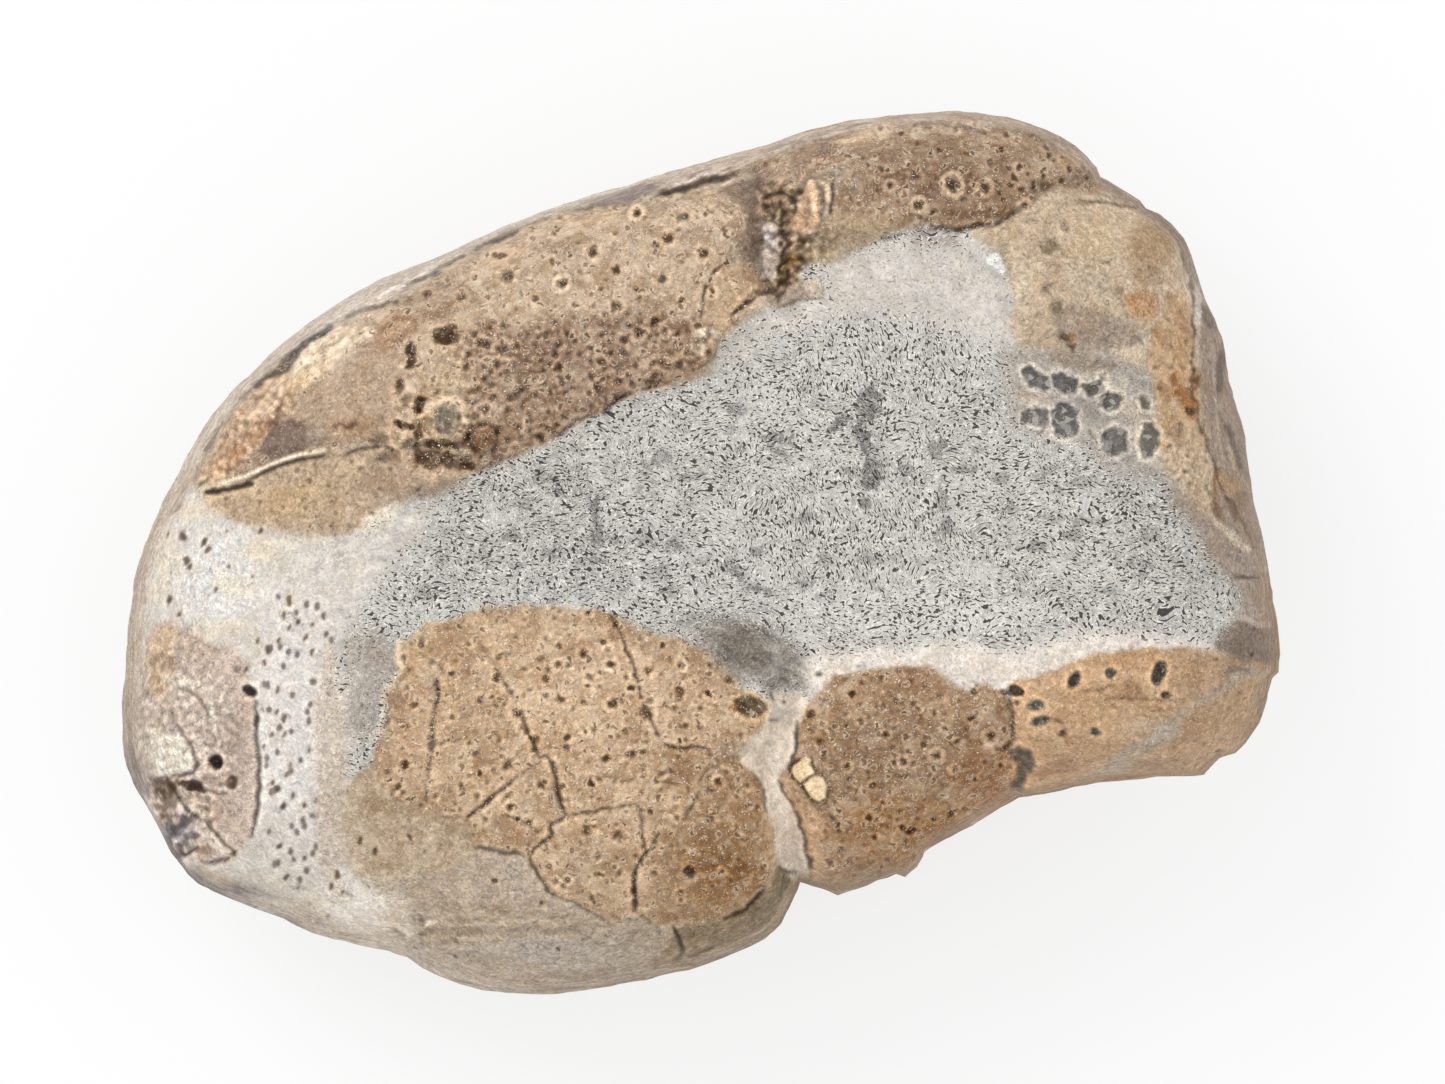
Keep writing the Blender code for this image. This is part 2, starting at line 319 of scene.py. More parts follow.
def inside_by(points, margin=26, wander=1.0):
    """How deep each plan point lies inside a ring of points, in steps; negative outside."""
    ys, xs = window(points, margin)
    px = GX[ys, xs] + BEND_X[ys, xs] * wander
    py = GY[ys, xs] + BEND_Y[ys, xs] * wander
    near = np.full(px.shape, 1e9, np.float32)
    inside = np.zeros(px.shape, bool)
    for i, (ax, ay) in enumerate(points):
        bx, by = points[(i + 1) % len(points)]
        dx, dy = np.float32(bx - ax), np.float32(by - ay)
        qx, qy = px - np.float32(ax), py - np.float32(ay)
        t = np.clip((qx * dx + qy * dy) / (dx * dx + dy * dy + np.float32(1e-9)), 0, 1)
        qx -= t * dx
        qy -= t * dy
        near = np.minimum(near, qx * qx + qy * qy)
        if dy != 0:
            lo, hi = (ay, by) if ay < by else (by, ay)
            rows = (py >= lo) & (py < hi)
            inside ^= rows & (px < dx * (py - ay) / dy + ax)
    near = np.sqrt(near)
    return Part(ys, xs, np.where(inside, near, -near))


def along(points, margin=18, wander=0.6):
    """(distance to a line of points, share of the way along it) in plan steps."""
    ys, xs = window(points, margin)
    px = GX[ys, xs] + BEND_X[ys, xs] * wander
    py = GY[ys, xs] + BEND_Y[ys, xs] * wander
    near = np.full(px.shape, 1e9, np.float32)
    share = np.zeros(px.shape, np.float32)
    n = len(points) - 1
    for i in range(n):
        (ax, ay), (bx, by) = points[i], points[i + 1]
        dx, dy = bx - ax, by - ay
        t = np.clip(((px - ax) * dx + (py - ay) * dy) / (dx * dx + dy * dy + 1e-9), 0, 1)
        d = (px - ax - t * dx) ** 2 + (py - ay - t * dy) ** 2
        closer = d < near
        near = np.where(closer, d, near)
        share = np.where(closer, (i + t) / n, share)
    return Part(ys, xs, np.sqrt(near).astype(np.float32)), Part(ys, xs, share.astype(np.float32))


def spot(cx, cy, rx, ry=None, turn=0.0, wander=1.0):
    """1 at an oval's middle, 0 at its edge, negative outside."""
    ry = ry or rx
    ys, xs = window([(cx - rx, cy - ry), (cx + rx, cy + ry)], 0.75 * max(rx, ry) + 7)
    c, s = math.cos(math.radians(turn)), math.sin(math.radians(turn))
    px = GX[ys, xs] + BEND_X[ys, xs] * wander - cx
    py = GY[ys, xs] + BEND_Y[ys, xs] * wander - cy
    d = np.hypot((px * c - py * s) / rx, (px * s + py * c) / ry)
    return Part(ys, xs, (1 - d).astype(np.float32))


def blurred(a, radius):
    """Three box averages, close to a soft blur of that radius."""
    r = max(1, int(round(radius * 0.62)))
    for axis in (0, 1):
        for _ in range(3):
            pad = [(0, 0), (0, 0)]
            pad[axis] = (r + 1, r)
            run = np.cumsum(np.pad(a, pad, mode="edge").astype(np.float64), axis=axis)
            n = a.shape[axis]
            if axis == 0:
                a = ((run[2 * r + 1 : 2 * r + 1 + n] - run[:n]) / (2 * r + 1)).astype(np.float32)
            else:
                a = ((run[:, 2 * r + 1 : 2 * r + 1 + n] - run[:, :n]) / (2 * r + 1)).astype(np.float32)
    return a


# ------------------------------------------------------------------- colours
# Display colours, 0 to 255, of the minerals that come up again and again.
WORM = (190, 187, 181)
CHIP = (240, 236, 230)
BROWN = (153, 127, 104)
BROWN_DARK = (104, 80, 58)
INK = (66, 60, 56)
CELL_GREY = (108, 103, 100)

tint = np.empty(GX.shape + (3,), np.float32)
tint[:] = WORM
rise = np.zeros(GX.shape, np.float32)       # mm above the worn face
shell = np.zeros(GX.shape, np.float32)      # pitted shell
worm = np.ones(GX.shape, np.float32)        # worm-textured matrix
pore = np.zeros(GX.shape, np.float32)       # white matrix with pores
gloss = np.zeros(GX.shape, np.float32)      # polished places
grain = np.zeros(GX.shape, np.float32)      # coarse knobbly shell
crystal = np.zeros(GX.shape, np.float32)    # dark crystal fill
# ink: how dark the cracks and pits are painted, for the dirt in them and as painted shade
ink = np.zeros(GX.shape, np.float32)        # how dark the cracks and pits are
cut = np.full(GX.shape, -5, np.float32)     # how deep a point lies in a crack or pit, in steps; negative outside


def _at(mask):
    """(rows, columns, array) of a mask."""
    if isinstance(mask, Part):
        return mask.ys, mask.xs, mask.a
    return slice(0, SHEET_H), slice(0, SHEET_W), mask


def add(field, part, times=1.0):
    ys, xs, a = _at(part)
    field[ys, xs] += a * np.float32(times)


def fade(field, part):
    ys, xs, a = _at(part)
    field[ys, xs] *= 1 - a


def peak(field, part):
    ys, xs, a = _at(part)
    field[ys, xs] = np.maximum(field[ys, xs], a)


def lay(mask, colour, amount=1.0):
    """Paints a colour where the mask says."""
    ys, xs, a = _at(mask)
    w = (np.clip(a, 0, 1) * np.float32(amount))[..., None]
    tint[ys, xs] += (np.array(colour, np.float32) - tint[ys, xs]) * w


def carve(part, amount, colour=(81, 81, 81)):
    """Marks a crack or pit, from how deep each point lies in it. Its sharp edge is drawn by the material."""
    ys, xs, a = _at(part)
    # the dark left in a crack or pit stands for the dirt in it and for painted shade
    dark = amount * min(1.0, max(0.0, (186 - sum(colour) / 3) / 136))
    cut[ys, xs] = np.maximum(cut[ys, xs], a)
    ink[ys, xs] = np.maximum(ink[ys, xs], ramp(a, -4.2, -1.6) * dark)


def mottle(mask, dark, light, noise, contrast=1.0, amount=1.0):
    """Paints between two colours as the noise runs."""
    ys, xs, a = _at(mask)
    if isinstance(noise, Part):
        ys, xs, a, noise = Part(ys, xs, a).pair(noise)
    else:
        noise = noise[ys, xs]
    t = np.clip(0.5 + 0.5 * noise * np.float32(contrast), 0, 1)[..., None]
    dark, light = np.array(dark, np.float32), np.array(light, np.float32)
    w = (np.clip(a, 0, 1) * np.float32(amount))[..., None]
    tint[ys, xs] += (dark + (light - dark) * t - tint[ys, xs]) * w


def edge(depth, soft=3.0):
    """Mask of an area from how deep each point lies in it."""
    return ramp(depth, -soft, soft)


def groove(points, width, deep, colour=BROWN_DARK, amount=0.9, broken=0.45, taper=True, wander=0.75):
    """A crack or furrow: darker, and cut into the surface."""
    d, share = along(points, 10 + width, wander)
    w = min(width, 2.2 + 0.45 * width) * 0.82 * (1 + broken * (0.7 * MOTTLE_S[d.ys, d.xs] + 0.6 * FRET[d.ys, d.xs]))
    if taper:
        w = w * (0.45 + 0.55 * np.minimum(1, 6 * np.minimum(share.a, 1 - share.a)))
    w = np.maximum(w, 0.5)
    pale = sum(colour) > 470
    line = Part(d.ys, d.xs, 1 - ramp(d.a / w, 0.22, 0.85))
    lay(line, colour, amount if pale else amount * 0.45)
    add(rise, Part(d.ys, d.xs, 1 - ramp(d.a / w, 0, 1.05)), -deep)
    if not pale:
        part_dark = 0.45 + 0.55 * ramp(MOTTLE_S[d.ys, d.xs], -0.7, 0.35)
        carve(Part(d.ys, d.xs, 0.05 + 0.22 * np.minimum(w, 3.4) - d.a), 0.9 * amount * part_dark, colour)


def pit(cx, cy, r, deep=0.28, colour=BROWN_DARK, amount=0.8, rim=0.35, rim_colour=None, stretch=1.0, turn=0.0):
    """A pore: a dark hollow with a paler, slightly raised ring."""
    s = spot(cx, cy, r * stretch * 1.7, r * 1.7, turn, 1.0)
    d = (1 - s) * 1.7 + 0.24 * FRET
    hole = 1 - ramp(d, 0.5, 1.08)
    ring = ramp(d, 0.85, 1.15) * (1 - ramp(d, 1.25, 1.7)) * ramp(FRET_B, -0.75, 0.1)
    lay(1 - ramp(d, 0.9, 2.3), (150, 116, 78), 0.22 * amount)
    lay(ring, rim_colour or (222, 199, 170), rim * 0.5)
    lay(hole, colour, amount * 0.5)
    add(rise, 1 - ramp(d, 0.2, 1.1), -deep)
    add(rise, ring, deep * 0.4)
    carve(min(0.82 * r, 1.3 + 0.38 * r) - d * r, amount * (0.68 if r < 6 else 0.9), colour)


def crater(cx, cy, r, colour=(206, 190, 168), middle=BROWN, deep=0.22):
    """A raised ring with a hollow and a small dark middle."""
    s = spot(cx, cy, r * 1.6, r * 1.6, 0, 0.55)
    d = (1 - s) * 1.6 + 0.13 * FRET
    broken = 0.45 + 0.55 * ramp(FRET_B, -0.5, 0.3)
    ring = ramp(d, 0.5, 0.74) * (1 - ramp(d, 0.98, 1.22)) * broken
    lay(1 - ramp(d, 0.4, 0.75), middle, 0.7)
    lay(ring, colour, 0.5)
    lay(1 - ramp(d, 0.08, 0.34), BROWN_DARK, 0.3)
    carve((0.24 - d) * r, 0.8)
    lay(ramp(d, 1.0, 1.18) * (1 - ramp(d, 1.22, 1.5)) * broken, BROWN_DARK, 0.35)
    add(rise, ring, deep * 0.9)
    add(rise, 1 - ramp(d, 0.2, 0.66), -deep)


def scattered(mask, size, seed, r_low, r_high, deep, colour, amount, rim_colour=None, rim=0.3, share=1.0):
    """Pits scattered over an area, of mixed sizes."""
    x, y = here(mask)
    near, _, own = cells((x + BEND_X * 0.7) / size, (y + BEND_Y * 0.7) / size, seed)
    d = near.a * size + 0.45 * FRET[mask.ys, mask.xs]
    own = own.a
    r = r_low + (r_high - r_low) * ((own * 7.13) % 1.0)
    r = np.where((own * 3.77) % 1.0 < share, r, 0.01)
    hole = (1 - ramp(d / r, 0.4, 1.05)) * mask.a
    ring = ramp(d / r, 0.85, 1.15) * (1 - ramp(d / r, 1.3, 1.8)) * mask.a * ramp(FRET_B[mask.ys, mask.xs], -0.6, 0.2)
    dark = amount * (0.3 + 0.7 * ((own * 13.7) % 1.0))
    if rim_colour is not None:
        lay(Part(mask.ys, mask.xs, ring), rim_colour, rim * 0.8)
    lay(Part(mask.ys, mask.xs, hole * dark * 0.5), colour)
    add(rise, Part(mask.ys, mask.xs, (0.35 * ring - (1 - ramp(d / r, 0.1, 1.1)) * mask.a) * deep))
    carve(Part(mask.ys, mask.xs, np.where(mask.a > 0.4, 0.8 * r - d, -5.0)), dark * 0.5, colour)


# ------------------------------------------------------------- matrix layers
# grey worm-textured matrix: slow changes of grey, a bluish lower middle
mottle(np.ones_like(rise), (172, 169, 164), (204, 200, 193), MOTTLE_M, 0.75)
lay(ramp(MOTTLE_L, 0.1, 0.9), (176, 175, 173), 0.4)
lay(ramp(spot(640, 560, 330, 70), 0, 0.7), (176, 178, 180), 0.35)
# the ground round the matrix, where no other area covers it
bare = inside_by([(300, 560), (400, 500), (470, 478), (520, 456), (560, 436), (600, 412), (640, 396), (690, 384), (712, 374),
                  (722, 340), (780, 300), (812, 262), (860, 235), (960, 225), (1010, 250), (1020, 300), (1060, 350),
                  (1170, 350), (1180, 470), (1210, 500), (1270, 560), (1285, 660), (1180, 668), (1060, 690), (1010, 700),
                  (940, 690), (850, 690), (812, 712), (770, 705), (700, 660), (620, 640), (520, 628), (440, 640),
                  (400, 680), (385, 760), (330, 790), (300, 700)])
outside = np.ones_like(rise)
fade(outside, ramp(bare, -3, 3))
mottle(outside, (158, 138, 116), (204, 188, 168), MOTTLE_M + 0.4 * MOTTLE_S, 1.0)
worm *= 1 - outside
# dark blotches in it
for bx, by, brx, bry, bturn, bw in (
    (868, 405, 12, 16, 0, 0.8), (838, 424, 12, 5, 20, 0.8), (863, 440, 6, 22, 8, 0.75), (873, 468, 11, 9, 0, 0.7),
    (871, 482, 9, 8, 0, 0.8), (866, 505, 6, 8, 0, 0.75), (775, 438, 14, 7, 0, 0.65), (792, 440, 4, 9, 0, 0.5),
    (782, 458, 12, 6, -40, 0.6), (738, 411, 9, 7, 0, 0.55), (727, 430, 9, 5, 0, 0.45), (743, 448, 7, 5, 0, 0.45),
    (663, 458, 10, 7, 0, 0.6), (646, 468, 7, 8, 0, 0.45), (598, 505, 5, 9, 0, 0.6), (596, 528, 5, 16, 0, 0.7),
    (558, 492, 9, 7, 0, 0.4), (545, 478, 8, 9, 0, 0.4), (552, 552, 9, 5, 20, 0.45), (514, 535, 8, 9, 0, 0.45),
    (690, 478, 16, 4, 10, 0.55), (606, 538, 16, 6, 0, 0.45), (645, 540, 12, 7, 0, 0.4), (672, 545, 9, 7, 0, 0.5),
    (735, 566, 6, 12, 30, 0.6), (758, 590, 12, 3, -15, 0.7), (905, 468, 9, 6, 0, 0.5), (940, 448, 10, 7, 0, 0.6),
    (935, 455, 7, 6, 0, 0.5), (962, 470, 12, 5, 0, 0.5), (850, 470, 10, 5, 0, 0.45), (808, 518, 10, 5, 0, 0.5),
    (943, 500, 7, 12, 10, 0.45), (946, 528, 6, 9, 0, 0.6), (938, 540, 5, 5, 0, 0.6), (1000, 478, 7, 6, 0, 0.5),
    (1010, 512, 10, 7, 30, 0.45), (1052, 520, 10, 5, 0, 0.4), (1070, 535, 12, 6, 0, 0.5), (1088, 522, 18, 4, 0, 0.5),
    (1038, 546, 9, 5, 0, 0.5), (1045, 475, 8, 9, 0, 0.45), (1058, 490, 7, 6, 0, 0.45), (1080, 482, 12, 6, 0, 0.4),
    (877, 588, 6, 5, 0, 0.5), (805, 585, 8, 5, 0, 0.4), (870, 560, 12, 8, 0, 0.35), (1020, 592, 10, 5, 0, 0.4),
    (755, 552, 6, 5, 0, 0.5), (668, 592, 11, 6, 0, 0.45), (665, 570, 10, 7, 0, 0.3), (1140, 565, 12, 9, 0, 0.35),
    (980, 450, 9, 5, 20, 0.35), (920, 520, 14, 4, 40, 0.3), (700, 560, 12, 5, 0, 0.3), (585, 560, 18, 5, 0, 0.35),
    (1110, 590, 10, 6, 0, 0.3), (920, 560, 8, 5, 0, 0.4), (825, 560, 7, 5, 0, 0.35), (1150, 535, 10, 10, 0, 0.3),
    (520, 505, 12, 6, 0, 0.3), (480, 560, 14, 5, 0, 0.3), (440, 560, 9, 6, 0, 0.3), (430, 592, 16, 5, 0, 0.35),
):
    s = spot(bx, by, brx * 1.35, bry * 1.35, bturn, 1.6)
    lay(ramp(s, 0.0, 0.4), (108, 107, 105), bw)
    carve((s - 0.22) * min(brx, bry) * 1.35, bw * 0.9, (96, 95, 93))
    add(rise, 0.10 * ramp(s, 0, 0.6) * bw, -1)
# smoother streaked zone and the grey smooth patch above plate A's right end
streak = layers((GX + 0.25 * GY) / 46, (GY - 0.12 * GX) / 7, 61, 3)
low_band = edge(inside_by([(560, 600), (640, 604), (720, 596), (820, 596), (950, 604), (1080, 608), (1200, 606),
                           (1215, 640), (1000, 640), (850, 644), (810, 660), (770, 640), (700, 630), (620, 622)]), 14)
mottle(low_band, (166, 163, 158), (214, 210, 203), streak, 1.0, 0.6)
patch = edge(inside_by([(668, 618), (700, 608), (740, 622), (772, 640), (800, 650), (812, 668), (812, 690), (790, 700),
                        (770, 695), (760, 682), (742, 688), (735, 668), (718, 648), (690, 636)]), 5)
mottle(patch, (104, 98, 90), (168, 164, 157), MOTTLE_M + 0.3 * streak, 1.1, 0.85)
lay(patch * ramp(streak, 0.35, 0.6), (214, 210, 204), 0.75)
add(worm, 0.6 * patch, -1)

# white matrix: under the limb, a band over the plates, and the left end
white_top = inside_by([(712, 372), (716, 357), (735, 335), (765, 312), (800, 305), (823, 300), (826, 268), (850, 248),
                       (900, 240), (960, 240), (985, 236), (1003, 255), (1012, 280), (1018, 310), (1025, 340),
                       (1010, 352), (960, 338), (900, 318), (850, 318), (810, 322), (770, 340), (738, 362)])
m = ramp(white_top, -16, 14)
mottle(m, (196, 188, 179), (226, 219, 211), MOTTLE_M + 0.4 * MOTTLE_L, 0.9, 0.92)
peak(pore, m * 0.55)
fade(worm, 0.9 * ramp(white_top, -14, 12))
curve = inside_by([(860, 262), (940, 252), (985, 275), (1005, 320), (990, 348), (940, 300), (880, 285)], 40)
lay(ramp(curve, -2, 6) * (1 - ramp(curve, 6, 30)), (228, 221, 213), 0.45)
white_band = inside_by([(808, 690), (803, 672), (812, 655), (850, 650), (900, 648), (950, 640), (990, 648), (1012, 652),
                        (1050, 640), (1100, 634), (1150, 634), (1195, 640), (1216, 648), (1180, 652), (1130, 652),
                        (1080, 660), (1055, 668), (1022, 680), (1005, 690), (985, 684), (965, 690), (950, 680),
                        (935, 669), (880, 669), (838, 676), (826, 692), (812, 702)])
m = ramp(white_band, -9, 5)
mottle(m, (226, 215, 204), (246, 237, 227), MOTTLE_M, 0.8, 0.95)
peak(pore, m * 0.35)
fade(worm, ramp(white_band, -10, 4))
left_end = inside_by([(118, 700), (118, 600), (140, 520), (175, 480), (205, 497), (232, 520), (265, 530), (300, 535),
                      (350, 538), (372, 530), (405, 512), (440, 508), (420, 530), (392, 560), (372, 590), (352, 620),
                      (335, 650), (330, 700), (345, 700), (350, 760), (342, 800), (342, 850), (372, 900), (400, 955),
                      (300, 960), (200, 900), (150, 850)])
m = ramp(left_end, -16, 12)
mottle(m, (208, 200, 191), (229, 223, 215), MOTTLE_M + 0.4 * MOTTLE_L, 0.9)
peak(pore, m * 0.45)
fade(worm, ramp(left_end, -22, 6))
# smoother, brighter part of it, with creamy places near the edge
lay(ramp(spot(215, 575, 78, 50), 0, 0.5), (227, 223, 216), 0.7)
add(pore, 0.3 * ramp(spot(205, 580, 70, 45), 0, 0.5), -1)
for bx, by, brx, bry in ((165, 560, 16, 34), (158, 590, 18, 14), (262, 552, 22, 16), (190, 512, 26, 10), (238, 588, 24, 12),
                         (222, 628, 40, 12), (196, 636, 20, 10)):
    lay(ramp(spot(bx, by, brx, bry), -0.1, 0.5), (226, 212, 188), 0.75)
# beige smooth bands beside the porous band
beige = inside_by([(316, 690), (330, 640), (352, 690), (356, 745), (342, 800), (338, 870), (352, 900), (330, 905),
                   (318, 860), (314, 760)])
mottle(ramp(beige, -5, 4), (203, 190, 175), (215, 203, 190), MOTTLE_M, 0.8)
fade(pore, ramp(beige, -4, 4))
lower_left = inside_by([(250, 872), (320, 880), (350, 900), (400, 892), (412, 930), (420, 965), (360, 950), (260, 915),
                        (205, 892), (185, 870), (215, 868)])
mottle(ramp(lower_left, -8, 8), (206, 194, 178), (222, 212, 197), MOTTLE_M, 1.0, 0.75)
lay(ramp(spot(218, 885, 42, 12, -28), 0, 0.5), (221, 203, 172), 0.7)
lay(ramp(spot(262, 900, 30, 9, -24), 0, 0.5), (217, 200, 172), 0.5)
# edge of the left end, a worn beige side
lay(ramp(inside_by([(112, 700), (118, 600), (135, 540), (165, 480), (205, 418), (212, 430), (182, 490), (152, 548),
                    (140, 605), (142, 660), (136, 720)]), -3, 5), (207, 192, 175), 0.8)
groove([(141, 556), (137, 575), (140, 592), (141, 604)], 4.0, 0.12, (128, 118, 106), 0.75)

# grey-taupe patches left of plate A
left_patch = inside_by([(345, 640), (372, 628), (396, 640), (400, 668), (386, 688), (382, 712), (376, 735), (362, 742),
                        (350, 722), (352, 690), (346, 668)])
mottle(ramp(left_patch, -7, 5), (150, 140, 129), (200, 190, 178), MOTTLE_M + 0.5 * MOTTLE_S, 1.1, 0.95)
lay(ramp(spot(385, 655, 15, 18), 0, 0.5), (170, 157, 146), 0.9)
fade(worm, 0.85 * ramp(left_patch, -8, 5))

# taupe facets at the right end
facet = inside_by([(1163, 496), (1176, 484), (1196, 496), (1216, 518), (1246, 546), (1262, 560), (1275, 600), (1290, 640),
                   (1290, 680), (1262, 669), (1232, 657), (1218, 650), (1214, 641), (1226, 622), (1242, 604), (1238, 590),
                   (1214, 572), (1200, 550), (1192, 530), (1176, 512)])
m = ramp(facet, -4, 3)
mottle(m, (156, 140, 126), (173, 157, 143), MOTTLE_M, 0.9)
fade(worm, ramp(facet, -5, 3))
lay(ramp(spot(1262, 612, 26, 26), 0, 0.6), (176, 159, 146), 0.6)
step = inside_by([(1222, 624), (1240, 622), (1262, 626), (1290, 632), (1290, 680), (1262, 668), (1234, 656), (1216, 650),
                  (1214, 642)])
mottle(ramp(step, -1.5, 2), (130, 115, 101), (146, 131, 117), MOTTLE_M, 1.0)
lay(ramp(inside_by([(1224, 626), (1242, 621), (1264, 625), (1284, 631), (1284, 627), (1262, 620), (1240, 616),
                    (1226, 620)], 30), -1.5, 1.5), (203, 190, 176), 0.75)
groove([(1235, 576), (1250, 577.5), (1260, 577), (1268, 575)], 3.2, 0.18, (112, 92, 74), 0.85)
lay(ramp(spot(1278, 660, 5, 4), 0, 0.4), (226, 214, 200), 0.9)
pit(1253, 655, 2.2, 0.1, INK, 0.8, 0)
# grey streaks where matrix fades into the facets
lay(ramp(inside_by([(1182, 512), (1198, 540), (1205, 565), (1235, 590), (1246, 604), (1228, 622), (1205, 628), (1190, 590),
                    (1185, 550)]), -6, 8), (190, 184, 177), 0.55)

# grey-taupe ground round the crystal cells
cell_ground = inside_by([(1002, 352), (1040, 347), (1100, 352), (1150, 352), (1162, 380), (1168, 430), (1182, 468),
                         (1175, 490), (1150, 482), (1112, 474), (1080, 446), (1042, 440), (1012, 432), (1004, 392)])
m = ramp(cell_ground, -10, 6)
mottle(m, (160, 150, 140), (190, 180, 169), MOTTLE_M + 0.4 * MOTTLE_S, 1.0, 0.9)
fade(worm, 0.9 * ramp(cell_ground, -9, 5))

# --------------------------------------------------- block at the upper right
block = inside_by([(972, 236), (1000, 224), (1026, 208), (1041, 193), (1060, 186), (1100, 198), (1142, 204), (1162, 224),
                   (1180, 250), (1189, 278), (1194, 330), (1197, 400), (1203, 440), (1216, 482), (1216, 516),
                   (1204, 512), (1186, 488), (1162, 466), (1150, 440), (1158, 400), (1150, 372), (1128, 352), (1062, 350),
                   (1018, 346), (1012, 320), (1016, 296), (1006, 268), (990, 246)])
m = ramp(block, -7, 4)
mottle(m, (186, 165, 140), (212, 192, 165), MOTTLE_M + 0.5 * MOTTLE_L, 1.0)
fade(worm, ramp(block, -8, 3))
fade(pore, ramp(block, -6, 3))
lay(ramp(spot(1100, 240, 48, 34), 0, 0.6), (208, 187, 158), 0.85)
lay(ramp(spot(1088, 285, 34, 22), 0, 0.6), (196, 180, 158), 0.75)
lay(ramp(spot(1030, 235, 30, 18, 20), 0, 0.6), (194, 172, 147), 0.7)
lay(ramp(spot(1020, 280, 22, 34), 0, 0.6), (205, 189, 165), 0.6)
lay(ramp(spot(1152, 245, 30, 32), 0, 0.5), (176, 148, 115), 0.85)
lay(ramp(spot(1150, 278, 26, 12), 0, 0.5), (172, 146, 114), 0.6)
lay(ramp(spot(1143, 305, 22, 17), 0, 0.45), (186, 146, 108), 0.9)
lay(ramp(spot(1132, 298, 9, 9), 0, 0.5), (178, 126, 84), 0.7)
grey_up = inside_by([(1052, 318), (1070, 306), (1110, 316), (1140, 326), (1152, 345), (1150, 356), (1112, 350), (1078, 356),
                     (1056, 340)])
mottle(ramp(grey_up, -5, 5), (152, 136, 121), (176, 160, 145), MOTTLE_M, 1.0, 0.9)
cream_wedge = inside_by([(1108, 350), (1125, 344), (1140, 346), (1146, 356), (1140, 368), (1118, 360)])
mottle(ramp(cream_wedge, -2, 2), (208, 188, 160), (222, 204, 178), MOTTLE_S, 1.0)
lay(ramp(inside_by([(1136, 326), (1144, 334), (1150, 344), (1147, 362), (1142, 360), (1142, 342)], 30), -3, 3), (220, 212, 202), 0.75)
dark_mound = inside_by([(1048, 352), (1080, 354), (1110, 358), (1120, 366), (1108, 374), (1080, 370), (1052, 366)])
mottle(ramp(dark_mound, -3, 3), (132, 116, 98), (174, 158, 138), MOTTLE_S, 1.2, 0.9)
# dark marks
for bx, by, brx, bry, colour, amount in (
    (1050, 247, 11, 8, (116, 100, 78), 0.75), (1047, 290, 5, 10, (134, 120, 104), 0.75), (1056, 308, 7, 9, (118, 104, 84), 0.8),
    (1064, 338, 6, 5, (92, 74, 48), 0.85), (1073, 336, 5, 8, (150, 112, 60), 0.8), (1072, 347, 4, 5, (70, 56, 40), 0.7),
    (1085, 268, 9, 3, (134, 118, 98), 0.6), (1104, 262, 4, 3, (134, 118, 98), 0.6), (1120, 292, 8, 5, (140, 118, 94), 0.6),
    (1140, 265, 5, 9, (146, 124, 98), 0.5), (1065, 228, 4, 9, (146, 124, 100), 0.55), (1085, 205, 8, 3, (140, 122, 102), 0.5),
    (1137, 204, 4, 3, INK, 0.8), (1168, 298, 6, 8, (150, 112, 76), 0.6), (1160, 332, 12, 7, (136, 104, 70), 0.8),
    (1155, 270, 8, 5, (146, 124, 94), 0.6), (1065, 312, 10, 4, (150, 134, 116), 0.5), (1034, 205, 5, 8, (226, 210, 190), 0.6),
    (1100, 363, 4, 3, INK, 0.6), (1028, 258, 3, 10, (150, 122, 92), 0.6), (1060, 268, 6, 4, (150, 134, 112), 0.4),
):
    lay(ramp(spot(bx, by, brx, bry, 0, 1.4), -0.05, 0.4), colour, amount)
groove([(1078, 201), (1100, 201), (1120, 204), (1138, 205)], 3.5, 0.2, (128, 106, 82), 0.7)
lay(ramp(inside_by([(1095, 196), (1125, 202), (1140, 208), (1120, 208), (1096, 202)], 30), -2, 2), (205, 178, 150), 0.5)
# orange-brown strip along the crest
strip = inside_by([(1146, 358), (1152, 330), (1170, 300), (1186, 292), (1193, 330), (1197, 400), (1202, 432), (1206, 452),
                   (1190, 460), (1166, 440), (1160, 405), (1152, 378)])
m = ramp(strip, -5, 5)
mottle(m, (172, 134, 96), (210, 182, 148), MOTTLE_M + 0.6 * MOTTLE_S, 1.2, 0.9)
lay(m * ramp(MOTTLE_S + 0.4 * MOTTLE_M, 0.55, 0.9), (146, 96, 54), 0.6)
for bx, by, brx, bry in ((1178, 388, 9, 10), (1188, 400, 8, 14), (1192, 415, 6, 8), (1172, 378, 7, 6), (1196, 385, 4, 12), (1160, 445, 9, 6)):
    lay(ramp(spot(bx, by, brx, bry, 0, 1.5), 0, 0.5), (150, 98, 52), 0.75)
lay(ramp(spot(1190, 412, 5, 5, 0, 1.5), 0, 0.4), (82, 58, 38), 0.8)
lay(ramp(spot(1198, 378, 3, 10, 0, 1.5), 0, 0.4), (104, 72, 44), 0.8)
peak(grain, m * 0.6)
add(rise, 0.22 * m * ramp(MOTTLE_S, 0.1, 0.8), -1)
pink_lower = inside_by([(1158, 438), (1182, 426), (1200, 432), (1210, 470), (1218, 500), (1216, 520), (1200, 508),
                        (1186, 486), (1166, 470)])
mottle(ramp(pink_lower, -4, 4), (176, 150, 122), (216, 196, 170), MOTTLE_S + 0.5 * MOTTLE_M, 1.3, 0.9)
scattered(ramp(pink_lower, -2, 4), 12, 71, 2.0, 4.2, 0.2, (140, 116, 92), 0.8, (222, 206, 184), 0.5, 0.8)
lay(ramp(spot(1178, 432, 10, 12, 0, 1.2), 0, 0.4), (160, 136, 112), 0.6)
